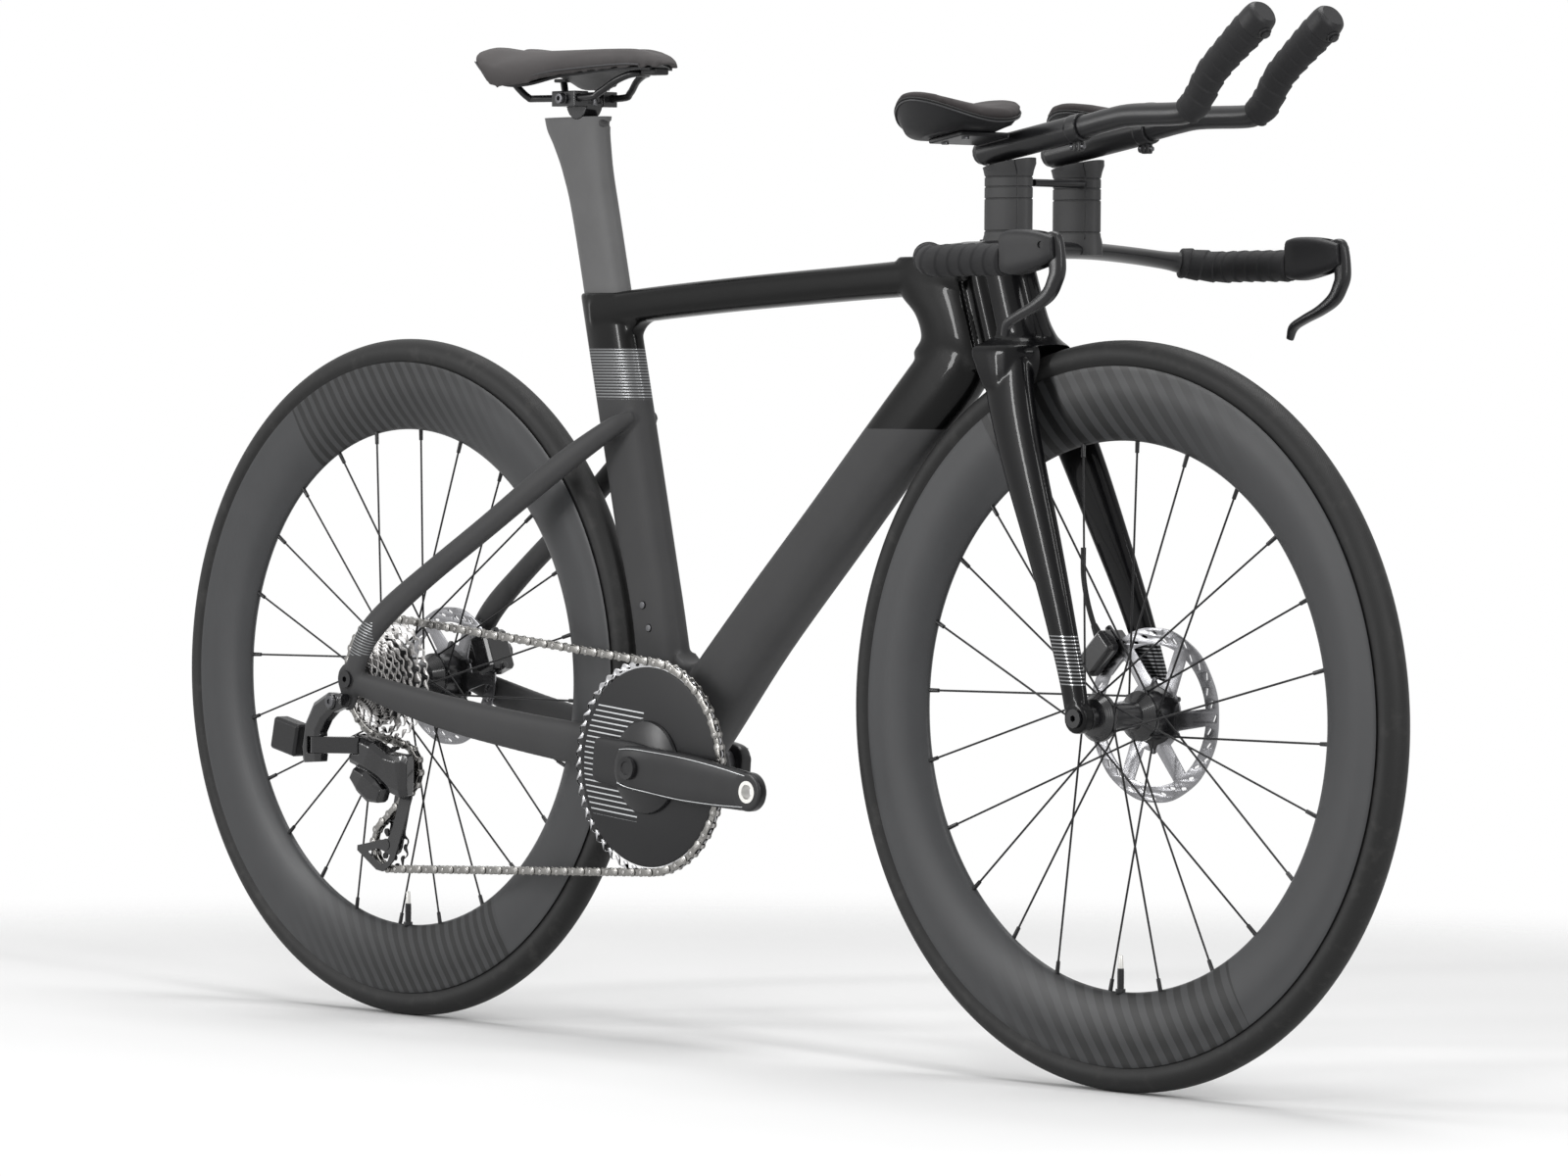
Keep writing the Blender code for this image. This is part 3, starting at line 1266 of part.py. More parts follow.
def extension_path():
    """Centre line of an extension in front of its clamp: (ahead of the bar, height)."""
    return [
        (0.1250, 0.8768),
        (0.1540, 0.8803),
        (0.2060, 0.8803),
        (0.2200, 0.8822),
        (0.2300, 0.8885),
        (0.2370, 0.8975),
        (0.2495, 0.9155),
        (0.2685, 0.9325),
        (0.2920, 0.9510),
        (0.3080, 0.9640),
    ]


def extension_points(side):
    inside, mouth = sleeve_point(EXTENSION_INSERT, side), sleeve_point(SLEEVE_LENGTH, side)
    rest = [Vector((BAR_X + x, side * TOWER_Y, z)) for x, z in extension_path()]
    return [inside, mouth] + rest


def extension(side):
    name = "extension_left" if side == LEFT else "extension_right"
    return tube(name, extension_points(side), EXTENSION_RADIUS, SATIN, 1)


def extension_tape(side):
    """The wound grip on the raised end of an extension, swelling to the housing at its tip."""
    name = "extension_tape_left" if side == LEFT else "extension_tape_right"
    points = extension_points(side)[-7:]
    direction = (points[-1] - points[-2]).normalized()
    sizes = (-0.0010, 0.0, 0.0, 0.0005, 0.0010)
    stations = [(point, 2 * (TAPE_RADIUS + grow), 2 * (TAPE_RADIUS + grow)) for point, grow in zip(points, sizes)]
    stations += [
        (points[-2], 2 * TAPE_RADIUS + 0.0055, 2 * TAPE_RADIUS + 0.0030),
        (points[-1] - direction * 0.003, 2 * TAPE_RADIUS + 0.0040, 2 * TAPE_RADIUS + 0.0020),
        (points[-1] + direction * 0.006, 2 * TAPE_RADIUS - 0.0040, 2 * TAPE_RADIUS - 0.0040),
    ]
    body = path_loft(name, stations, TAPE, 2.0, 0.0, 8)
    bore_path = [extension_points(side)[-8]] + points[:-1] + [points[-1] + direction * FIT]
    bore = tube("tape_bore", bore_path, EXTENSION_RADIUS + FIT, TAPE, 1)
    well = button_place(side)
    pocket = cylinder("button_well", well, well + button_axis() * 0.02, 0.0042 + FIT, TAPE, 10)
    return cut(body, [bore, pocket])


def button_axis():
    """The way that a shift button stands out, square to the grip and downward."""
    points = extension_points(LEFT)
    direction = (points[-1] - points[-2]).normalized()
    return Vector((direction.z, 0, -direction.x))


def button_place(side):
    """The bottom of a shift button's well."""
    points = extension_points(side)
    direction = (points[-1] - points[-2]).normalized()
    return points[-1] - direction * 0.006 + button_axis() * (EXTENSION_RADIUS + 0.0012)


def shift_button(side):
    name = "shift_button_left" if side == LEFT else "shift_button_right"
    place = button_place(side)
    axis = button_axis()
    return cylinder(name, place + axis * 0.0014, place + axis * 0.0072, 0.0042, SATIN, 10)


def pad_height(u, v):
    """Height of the pad's underside over its plan: u runs forward and v outward, each -1 to 1."""
    rise = PAD_OUTER_RISE if v > 0 else PAD_INNER_RISE
    return PAD_FLOOR + rise * v * v - 0.0080 * max(0.0, -u) ** 2


def pad_layer(bm, side, scale, height, count):
    """A grid of points over the pad's rounded plan, drawn in by the scale."""
    grid = []
    for i in range(count):
        line = []
        for j in range(count):
            u, v = -1 + 2 * i / (count - 1), -1 + 2 * j / (count - 1)
            fu, fv = u * math.sqrt(1 - v * v / 2), v * math.sqrt(1 - u * u / 2)
            x = BAR_X + PAD_AHEAD + fu * PAD_LENGTH / 2 * scale
            y = side * (PAD_Y + fv * PAD_WIDTH / 2 * scale)
            line.append(bm.verts.new((x, y, height(fu, fv))))
        grid.append(line)
    return grid


def pad_rim(grid):
    """The grid's outermost points, in order."""
    last = len(grid) - 1
    near = [grid[i][0] for i in range(last)] + [grid[last][j] for j in range(last)]
    return near + [grid[i][last] for i in range(last, 0, -1)] + [grid[0][j] for j in range(last, 0, -1)]


def pad_solid(name, side, floor, walls, top, material, count):
    """A solid on the pad's plan: its floor and top as (scale, height), with rings of wall between."""
    bm = bmesh.new()
    low, high = pad_layer(bm, side, *floor, count), pad_layer(bm, side, *top, count)
    for i in range(count - 1):
        for j in range(count - 1):
            bm.faces.new((low[i][j], low[i][j + 1], low[i + 1][j + 1], low[i + 1][j]))
            bm.faces.new((high[i][j], high[i + 1][j], high[i + 1][j + 1], high[i][j + 1]))
    rims = [pad_rim(low)]
    for wall in walls:
        grid = pad_layer(bm, side, *wall, count)
        rim = pad_rim(grid)
        for vertex in {point for line in grid for point in line} - set(rim):
            bm.verts.remove(vertex)
        rims.append(rim)
    rims.append(pad_rim(high))
    for below, above in zip(rims, rims[1:]):
        for i in range(len(below)):
            j = (i + 1) % len(below)
            bm.faces.new((below[i], below[j], above[j], above[i]))
    return add_mesh(name, bm, material)


def arm_cup(side):
    """The hard cup under a pad, from its flat foot on the arm up to the pad's rim."""
    name = "arm_cup_left" if side == LEFT else "arm_cup_right"

    def foot(u, v):
        return CUP_BASE + u * 0.58 * PAD_LENGTH / 2 * math.tan(SLEEVE_SLOPE)

    def belly(u, v):
        return (CUP_BASE + u * 0.86 * PAD_LENGTH / 2 * math.tan(SLEEVE_SLOPE) + pad_height(u, v)) / 2 - 0.0025

    return pad_solid(name, side, (0.58, foot), [(0.86, belly)], (0.985, pad_height), MATT, 7)


def arm_pad(side):
    """The foam of an arm rest, a trough with rounded edges."""
    name = "arm_pad_left" if side == LEFT else "arm_pad_right"

    def low(u, v):
        return pad_height(u, v) + FIT

    def middle(u, v):
        return pad_height(u, v) + PAD_THICKNESS * 0.5

    def high(u, v):
        return PAD_FLOOR + PAD_THICKNESS + (pad_height(u, v) - PAD_FLOOR) * 0.86 - 0.0015 * (u * u + v * v) ** 3

    return pad_solid(name, side, (0.985, low), [(1.02, middle)], (0.95, high), FOAM, 7)


def riser_bridge():
    """The rod that ties the two towers together."""
    reach = TOWER_Y - TOWER_WIDTH / 2 - 3 * FIT
    x = BAR_X + 0.0150
    return cylinder("riser_bridge", (x, -reach, BRIDGE_HEIGHT), (x, reach, BRIDGE_HEIGHT), 0.0038, SATIN, 10)


# Brakes


def caliper(name, centre, side_y, tilt, rotor_radius):
    """A two-sided caliper over the edge of a rotor, on its mounting foot."""
    x, z = centre
    slot = ROTOR_THICKNESS / 2 + 0.0042
    body = box(name, (-0.0210, -0.0165, -0.0125), (0.0210, 0.0165, 0.0125), SATIN, 0.0035)
    piston = cylinder("piston_cover", (0, 0.0150, 0.0), (0, 0.0195, 0.0), 0.0100, SATIN, 10)
    bolts = [cylinder("bolt", (dx, 0, -0.010), (dx, 0, 0.0150), 0.0035, SATIN, 6) for dx in (-0.0185, 0.0185)]
    body = combined(body, [piston, *bolts])
    turn = Matrix.Translation((x, side_y, z)) @ Matrix.Rotation(tilt, 4, "Y")
    body.data.transform(turn)
    gap = cross_cylinder("rotor_gap", (CENTRE_OF[name][0], AXLE_Z), rotor_radius + 0.0015, side_y - slot, side_y + slot, SATIN, 24)
    return cut(body, [gap])


def brake_pad(name, centre, side_y, tilt, wheel_x, rotor_radius):
    """The outer brake pad, on its running clearance from the rotor and inside the caliper's slot."""
    x, z = centre
    clearance = ROTOR_THICKNESS / 2 + 0.0005
    top = rotor_radius - math.hypot(x - wheel_x, z - AXLE_Z) - 0.0016
    body = box(name, (-0.0130, clearance, top - 0.0125), (0.0130, clearance + 0.0033, top), STEEL)
    body.data.transform(Matrix.Translation((x, side_y, z)) @ Matrix.Rotation(tilt, 4, "Y"))
    return body


# Chain path and sprockets


def belt_tangent(first, second):
    """Where a chain leaves one circle and meets the next: circles are ((x, z), radius, sense)."""
    (ax, az), ra, sa = first
    (bx, bz), rb, sb = second
    dx, dz = bx - ax, bz - az
    distance = math.hypot(dx, dz)
    heading = math.atan2(dz, dx)
    lean = math.asin((sa * ra - sb * rb) / distance)
    direction = heading - lean
    nx, nz = -math.sin(direction), math.cos(direction)
    return (ax + nx * ra * sa, az + nz * ra * sa), (bx + nx * rb * sb, bz + nz * rb * sb)


def chain_course(cage_angle):
    """The chain's runs and arcs for one angle of the cage, with the whole length in pitches."""
    upper = (ahead(UPPER_PULLEY_AHEAD), UPPER_PULLEY_HEIGHT)
    lower = (upper[0] - PULLEY_DISTANCE * math.sin(cage_angle), upper[1] - PULLEY_DISTANCE * math.cos(cage_angle))
    stops = [
        ((REAR_X, AXLE_Z), COG_TEETH[0], 1, COG_Y),
        ((BB_X, BB_HEIGHT), RING_TEETH, 1, RING_Y),
        (lower, PULLEY_TEETH, 1, COG_Y),
        (upper, PULLEY_TEETH, -1, COG_Y),
    ]
    runs = []
    circles = [(centre, pitch_radius(teeth), sense) for centre, teeth, sense, _ in stops]
    joins = [belt_tangent(circles[i], circles[(i + 1) % 4]) for i in range(4)]
    total = 0.0
    for i, (centre, teeth, sense, side) in enumerate(stops):
        arrive, leave = joins[i - 1][1], joins[i][0]
        start = math.atan2(arrive[1] - centre[1], arrive[0] - centre[0])
        end = math.atan2(leave[1] - centre[1], leave[0] - centre[0])
        sweep = (start - end) % (2 * math.pi) if sense > 0 else (end - start) % (2 * math.pi)
        pitches = sweep * teeth / (2 * math.pi)
        runs.append(("arc", centre, pitch_radius(teeth), start, -sweep if sense > 0 else sweep, side, pitches))
        total += pitches
        after = stops[(i + 1) % 4]
        far = joins[i][1]
        pitches = math.hypot(far[0] - leave[0], far[1] - leave[1]) / PITCH
        runs.append(("run", leave, far, side, after[3], pitches))
        total += pitches
    return runs, total, lower, upper


def cage_angle_for(links):
    """The cage's angle from hanging straight down at which this many links close the loop."""
    low, high = 0.0, math.radians(60)
    for _ in range(60):
        middle = (low + high) / 2
        if chain_course(middle)[1] < links:
            low = middle
        else:
            high = middle
    return (low + high) / 2


def chain_point(runs, distance):
    """A place this many pitches along the loop: (x, y, z)."""
    total = sum(run[-1] for run in runs)
    distance %= total
    for run in runs:
        if distance <= run[-1]:
            share = distance / run[-1]
            if run[0] == "arc":
                _, centre, radius, start, sweep, side, _ = run
                angle = start + sweep * share
                return Vector((centre[0] + radius * math.cos(angle), side, centre[1] + radius * math.sin(angle)))
            _, near, far, side, next_side, _ = run
            return Vector(
                (near[0] + (far[0] - near[0]) * share, side + (next_side - side) * share, near[1] + (far[1] - near[1]) * share)
            )
        distance -= run[-1]
    return chain_point(runs, 0)


def pin_phase(runs, index):
    """The angle of a chain pin on one of the four sprockets."""
    run = runs[2 * index]
    before = sum(r[-1] for r in runs[: 2 * index])
    pin = math.ceil(before) - before
    return run[3] + run[4] * pin / run[-1]


def sprocket_outline(centre, teeth, phase, tip=0.0034, root=0.0044):
    """A toothed outline whose valleys lie where the chain's pins do."""
    radius = pitch_radius(teeth)
    points = []
    step = 2 * math.pi / teeth
    half = math.asin((ROLLER_LENGTH / 2 + 0.0012) / radius)
    for tooth in range(teeth):
        middle = phase + tooth * step
        places = ((radius - root, middle - half), (radius - root, middle + half), (radius + tip, middle + step / 2))
        for reach, angle in places:
            points.append((centre[0] + reach * math.cos(angle), centre[1] + reach * math.sin(angle)))
    return points


def saw_outline(centre, teeth, phase):
    """A plainer toothed outline, for sprockets that hold no chain."""
    radius = pitch_radius(teeth)
    points = []
    step = 2 * math.pi / teeth
    for tooth in range(teeth):
        for radius_here, angle in ((radius - 0.0040, phase + tooth * step), (radius + 0.0026, phase + (tooth + 0.5) * step)):
            points.append((centre[0] + radius_here * math.cos(angle), centre[1] + radius_here * math.sin(angle)))
    return points


def chain(runs):
    """Two rows of plates joined by rollers, link by link round the loop, as one closed skin."""
    centres = [chain_point(runs, i) for i in range(CHAIN_LINKS)]
    bm = bmesh.new()
    rows = {LEFT: [], RIGHT: []}
    spans = []
    for i, pin in enumerate(centres):
        after = centres[(i + 1) % CHAIN_LINKS]
        along = (after - pin).normalized()
        up = Vector((-along.z, 0, along.x)).normalized()
        side_place = OUTER_PLATE_Y if i % 2 else INNER_PLATE_Y
        half = ROLLER_LENGTH / 2
        length = (after - pin).length
        for distance, height in ((half, PLATE_HEIGHT), (length - half, PLATE_HEIGHT)):
            spot = pin + along * distance
            for side in (LEFT, RIGHT):
                inner, outer = side * side_place, side * (side_place + PLATE_THICKNESS)
                corners = []
                for y, z in ((inner, -height / 2), (outer, -height / 2), (outer, height / 2), (inner, height / 2)):
                    corners.append(bm.verts.new(spot + up * z + ACROSS * y))
                rows[side].append(corners)
    count = len(rows[LEFT])
    for side in (LEFT, RIGHT):
        for i in range(count):
            first, second = rows[side][i], rows[side][(i + 1) % count]
            at_pin = i % 2 == 1
            for a in range(4):
                b = (a + 1) % 4
                if at_pin and a == 3:
                    continue
                bm.faces.new((first[a], first[b], second[b], second[a]))
    for i in range(1, count, 2):
        left_a, left_b = rows[LEFT][i], rows[LEFT][(i + 1) % count]
        right_a, right_b = rows[RIGHT][i], rows[RIGHT][(i + 1) % count]
        rim_left = (left_a[0], left_a[3], left_b[3], left_b[0])
        rim_right = (right_a[0], right_a[3], right_b[3], right_b[0])
        for a in range(4):
            b = (a + 1) % 4
            bm.faces.new((rim_left[a], rim_left[b], rim_right[b], rim_right[a]))
    return add_mesh("chain", bm, STEEL)


def chainring(runs):
    """The toothed ring with the flat disc that fills it, bored over the crank's spider boss."""
    centre = (BB_X, BB_HEIGHT)
    half = RING_THICKNESS / 2
    teeth = plate(
        "chainring",
        sprocket_outline(centre, RING_TEETH, pin_phase(runs, 1)),
        RING_Y - half,
        RING_Y + half,
        STEEL,
        [circle(centre, SPIDER_RADIUS - 0.0118, 16)],
    )
    profile = [
        (DISC_RADIUS, RING_Y - half + 0.0004),
        (DISC_RADIUS - 0.0010, RING_Y - half - 0.0010),
        (RING_BORE_RADIUS, RING_Y - half - 0.0022),
        (RING_BORE_RADIUS, RING_Y - half + 0.0004),
    ]
    disc = turned("ring_disc", profile, centre, MATT, RING_DISC_STEPS)
    return combined(teeth, [disc])


def cassette(runs):
    """Twelve sprockets on one carrier, the smallest outermost."""
    centre = (REAR_X, AXLE_Z)
    phase = pin_phase(runs, 0)
    last = COG_Y - (len(COG_TEETH) - 1) * COG_SPACING
    foot = Vector((REAR_X, COG_Y, AXLE_Z))
    tip = Vector((REAR_X, last - 0.0020, AXLE_Z))
    cone = cylinder("carrier", foot, tip, 0.0450, COG_GREY, 6, 0.0150)
    sleeve_end = cross_cylinder("carrier_end", centre, 0.0170, COG_Y, COG_Y + 0.0046, COG_GREY, 10)
    plates = []
    for index, teeth in enumerate(COG_TEETH):
        y = COG_Y - index * COG_SPACING
        low, high = y - COG_THICKNESS / 2, y + COG_THICKNESS / 2
        outline = sprocket_outline(centre, teeth, phase) if index == 0 else saw_outline(centre, teeth, phase + index * 0.13)
        plates.append(plate("cassette" if index == 0 else f"cog_{index}", outline, low, high, COG_GREY))
    body = combined(plates[0], [cone, sleeve_end, *plates[1:]])
    return cut(body, [cross_cylinder("cassette_bore", centre, BORE_RADIUS, -0.09, 0.0, COG_GREY, 12)])


def crank_arm(name, side):
    """A crank arm from its boss to the pedal eye, drawn in along its length."""
    angle = CRANK_ANGLE if side == RIGHT else CRANK_ANGLE + math.pi
    direction = Vector((math.cos(angle), 0, math.sin(angle)))
    centre = Vector((BB_X, 0, BB_HEIGHT))
    rows = [
        (-0.0220, 0.0635, 0.0200, 0.0130),
        (-0.0150, 0.0635, 0.0370, 0.0160),
        (0.0000, 0.0637, 0.0425, 0.0160),
        (0.0250, 0.0640, 0.0445, 0.0155),
        (0.0750, 0.0668, 0.0460, 0.0138),
        (CRANK_LENGTH, CRANK_OUTER_Y - CRANK_THICKNESS / 2, 2 * CRANK_EYE_RADIUS, CRANK_THICKNESS),
    ]
    stations = [(centre + direction * d + ACROSS * (side * y), depth, width) for d, y, depth, width in rows]
    arm = path_loft(name, stations, SATIN, 3.8, 0.0, 8)
    eye = centre + direction * CRANK_LENGTH
    inner, outer = CRANK_OUTER_Y - CRANK_THICKNESS, CRANK_OUTER_Y
    low, high = sorted((side * inner, side * outer))
    tip = cross_cylinder("pedal_eye", (eye.x, eye.z), CRANK_EYE_RADIUS, low, high, SATIN, 14)
    hole = cross_cylinder("pedal_hole", (eye.x, eye.z), PEDAL_HOLE_RADIUS, -0.1 if side < 0 else 0, 0 if side < 0 else 0.1, SATIN, 12)
    face = sorted((side * (CRANK_OUTER_Y - PEDAL_FACE_DEPTH), side * 0.09))
    spot = cross_cylinder("pedal_face", (eye.x, eye.z), PEDAL_FACE_RADIUS, *face, SATIN, 12)
    return cut(combined(arm, [tip]), [hole, spot])


def right_crank():
    """The right arm with the spindle through the frame and the spider that the ring seats on."""
    arm = crank_arm("right_crank", RIGHT)
    centre = (BB_X, BB_HEIGHT)
    half = RING_THICKNESS / 2
    seat = RING_Y - half - 0.0022 - FIT
    boss = RING_BORE_RADIUS * math.cos(math.pi / RING_DISC_STEPS) - FIT
    end = BB_SHELL_WIDTH / 2 + SPINDLE_REACH
    inner = SPINDLE_RADIUS - 0.0004
    profile = [
        (inner, RING_Y + half + 0.0010),
        (boss, RING_Y + half + 0.0010),
        (boss, seat),
        (SPIDER_RADIUS, seat),
        (SPIDER_RADIUS - 0.0010, seat - 0.0035),
        (SPIDER_RADIUS - 0.0140, seat - 0.0075),
        (inner, seat - 0.0075),
    ]
    spider = turned("spider", profile, centre, SATIN, 16)
    core = cross_cylinder("spindle", centre, SPINDLE_RADIUS, -0.0600, end, SATIN, SPINDLE_STEPS)
    direction = Vector((math.cos(CRANK_ANGLE), 0, math.sin(CRANK_ANGLE)))
    middle = Vector((BB_X, 0, BB_HEIGHT))
    rows = [(-0.0655, 0.0336, 0.0080), (-0.0612, 0.0424, 0.0100), (-0.0100, 0.0460, 0.0130), (0.0200, 0.0400, 0.0130)]
    gauge_y = seat - 0.0068
    gauge = path_loft("gauge", [(middle + direction * d + ACROSS * gauge_y, h, w) for d, h, w in rows], SATIN, 6.0, 0.0, 8)
    body = combined(arm, [spider, core, gauge])
    cap = cross_cylinder("cap_recess", centre, 0.0115, -0.0800, -CRANK_OUTER_Y + 0.0030, SATIN, 14)
    hollow = cross_cylinder("spindle_bore", centre, SPINDLE_RADIUS - 0.0030, -0.030, end + 0.01, SATIN, 10)
    return cut(body, [cap, hollow])


def left_crank():
    arm = crank_arm("left_crank", LEFT)
    centre = (BB_X, BB_HEIGHT)
    start = BB_SHELL_WIDTH / 2 + 0.0035 + 2 * FIT + 0.0004
    boss = cross_cylinder("left_boss", centre, 0.0185, start, 0.0600, SATIN, 14)
    body = combined(arm, [boss])
    end = BB_SHELL_WIDTH / 2 + SPINDLE_REACH
    seat = cross_cylinder("spindle_seat", centre, SPINDLE_RADIUS + FIT, 0.0, end + FIT, SATIN, 12)
    cap = cross_cylinder("left_cap_bore", centre, 0.0080, 0.0, 0.09, SATIN, 12)
    return cut(body, [seat, cap])


# Derailleur


def pulley(name, centre, phase):
    outline = sprocket_outline(centre, PULLEY_TEETH, phase, 0.0030, 0.0044)
    bore = circle(centre, 0.0032, 8)
    half = COG_THICKNESS / 2
    body = plate(name, outline, COG_Y - half, COG_Y + half, SATIN, [bore])
    profile = [(0.0095, COG_Y + 0.0030), (0.0095, COG_Y - 0.0030), (0.0032, COG_Y - 0.0030), (0.0032, COG_Y + 0.0030)]
    return combined(body, [turned("pulley_hub", profile, centre, SATIN, 8)])


def derailleur_cage(upper, lower):
    """Two cage plates with the pulleys' axles between them, the outer one with its open guard."""
    angle = math.atan2(upper[0] - lower[0], upper[1] - lower[1])

    def spots(pairs):
        lift, lead = (math.sin(angle), math.cos(angle)), (math.cos(angle), -math.sin(angle))
        return [(lower[0] + lift[0] * a + lead[0] * f, lower[1] + lift[1] * a + lead[1] * f) for a, f in pairs]

    top = PULLEY_DISTANCE
    outline = [(top + 0.009, 0.012), (top - 0.004, 0.022), (top - 0.022, 0.0265), (0.0200, 0.0210), (-0.0100, 0.0165)]
    outline += [(-0.0190, 0.0105), (-0.0275, 0.0020), (-0.0285, -0.0080), (-0.0180, -0.0410), (-0.0130, -0.0420)]
    outline += [(0.0035, -0.0060), (0.0060, 0.0010), (0.0150, 0.0055), (top - 0.026, 0.0095), (top - 0.010, -0.0120)]
    outline.append((top + 0.009, -0.009))
    window = [(-0.0080, 0.0085), (-0.0150, 0.0070), (-0.0215, -0.0010), (-0.0150, -0.0260), (-0.0068, -0.0110), (-0.0072, 0.0010)]
    low = COG_Y - 0.0068
    outer = plate("derailleur_cage", spots(outline), low - 0.0002, low + 0.0016, SATIN, [spots(window)])
    inner = plate("inner_cage_plate", capsule(upper, lower, 0.0125, 0.0110, 7), COG_Y + 0.0050, COG_Y + 0.0068, SATIN)
    axles = []
    for centre in (upper, lower):
        axles.append(cross_cylinder("pulley_axle", centre, 0.0029, COG_Y - 0.0060, COG_Y + 0.0060, SATIN, 8))
    hub_cap = cross_cylinder("lower_bolt", lower, 0.0062, COG_Y - 0.0076, COG_Y - 0.0058, SATIN, 10)
    boss = cross_cylinder("cage_boss", upper, 0.0095, COG_Y - 0.0110, COG_Y - 0.0060, SATIN, 16)
    return combined(outer, [inner, *axles, hub_cap, boss])


def body_between(name, points, material, squareness=3.0, count=12, upright=ACROSS):
    return path_loft(name, points, material, squareness, 0.0, count, upright)


def derailleur_knuckle():
    """The fixed knuckle, from the hanger bolt down to the two upper link pins."""
    bx, bz = DERAILLEUR_BOLT
    outer = -(REAR_AXLE_WIDTH / 2 + 0.0085)
    rows = [
        ((bx + 0.012, -0.0900, bz + 0.001), 0.014, 0.014),
        ((bx - 0.004, -0.0912, bz - 0.001), 0.022, 0.0165),
        ((bx - 0.021, -0.0912, bz - 0.011), 0.026, 0.0175),
        ((bx - 0.032, -0.0912, bz - 0.028), 0.025, 0.0180),
        ((bx - 0.034, -0.0912, bz - 0.048), 0.032, 0.0180),
        ((bx - 0.033, -0.0912, bz - 0.062), 0.028, 0.0160),
    ]
    body = body_between("derailleur_knuckle", rows, SATIN, 3.4, 8)
    bolt = cross_cylinder("hanger_bolt", (bx, bz), 0.0040, -0.0900, outer + 0.0068, SATIN, 10)
    head = cross_cylinder("bolt_head", (bx, bz), 0.0078, -0.1012, -0.0900, SATIN, 14)
    socket = cross_cylinder("bolt_socket", (bx, bz), 0.0040, -0.11, -0.0975, SATIN, 6)
    low, high = (LINK_A[0] - 0.0068, -0.12, LINK_LOW), (LINK_A[0] + 0.04, -0.06, LINK_HIGH)
    link_room = box("link_room", low, high, SATIN)
    body = cut(combined(body, [bolt, head]), [link_room, socket])
    pins = [link_pin("pin_a", LINK_A, 0.0030), link_pin("pin_c", LINK_C, 0.0030)]
    return combined(body, pins)


def link_pin(name, place, reach):
    return cylinder(name, (*place, LINK_LOW - reach), (*place, LINK_HIGH + reach), 0.0020, STEEL, 8)


def link(name, start, end, low, high, radius):
    """A flat link between two upright pins."""
    outline = capsule(start, end, radius, radius, 6)
    data = bpy.data.curves.new(name, "CURVE")
    data.dimensions = "2D"
    data.fill_mode = "BOTH"
    data.extrude = (high - low) / 2
    holes = [circle(start, 0.0020 + FIT, 8), circle(end, 0.0020 + FIT, 8)]
    for loop in (outline, *holes):
        spline = data.splines.new("POLY")
        spline.use_cyclic_u = True
        spline.points.add(len(loop) - 1)
        for target, (x, y) in zip(spline.points, loop):
            target.co = (x, y, 0, 1)
    obj = bpy.data.objects.new(name, data)
    BIKE.objects.link(obj)
    obj.location = (0, 0, (low + high) / 2)
    return realised(obj, SATIN)


def moving_knuckle(upper):
    """The knuckle that the links carry, with its motor housing and the cage's pivot."""
    rows = [
        ((LINK_B[0] - 0.0060, (LINK_B[1] + LINK_D[1]) / 2, 0.2705), 0.031, 0.0200),
        ((LINK_B[0] + 0.0150, -0.0605, 0.2640), 0.032, 0.0230),
        ((upper[0] + 0.0050, -0.0550, 0.2545), 0.030, 0.0250),
        ((upper[0] + 0.0200, -0.0525, 0.2470), 0.042, 0.0235),
        ((upper[0] + 0.0300, -0.0515, 0.2450), 0.046, 0.0205),
        ((upper[0] + 0.0350, -0.0500, 0.2450), 0.040, 0.0140),
    ]
    body = body_between("derailleur_body", rows, SATIN, 4.0, 8)
    motor_rows = [
        ((LINK_B[0] - 0.0060, -0.0640, 0.2460), 0.016, 0.0170),
        ((LINK_B[0] + 0.0060, -0.0620, 0.2385), 0.026, 0.0210),
        ((upper[0] - 0.0080, -0.0590, 0.2290), 0.027, 0.0210),
        ((upper[0] + 0.0040, -0.0580, 0.2240), 0.016, 0.0170),
    ]
    motor = body_between("motor", motor_rows, SATIN, 4.0, 8)
    barrel = cross_cylinder("cage_barrel", upper, 0.0130, -0.0560, COG_Y - 0.0110 - FIT, SATIN, 16)
    body = combined(body, [motor, barrel])
    low, high = (LINK_B[0] - 0.040, -0.10, LINK_LOW), (LINK_B[0] + 0.0070, -0.03, LINK_HIGH)
    body = cut(body, [box("link_room", low, high, SATIN)])
    return combined(body, [link_pin("pin_b", LINK_B, 0.0030), link_pin("pin_d", LINK_D, 0.0030)])


def battery():
    bx, bz = DERAILLEUR_BOLT
    low = Vector((-0.0195, -0.0095, -0.0165))
    body = box("derailleur_battery", low, -low, SATIN, 0.0025)
    place = Matrix.Translation((bx - 0.0740, -0.0900, bz - 0.0380)) @ Matrix.Rotation(math.radians(12), 4, "Y")
    body.data.transform(place)
    return body


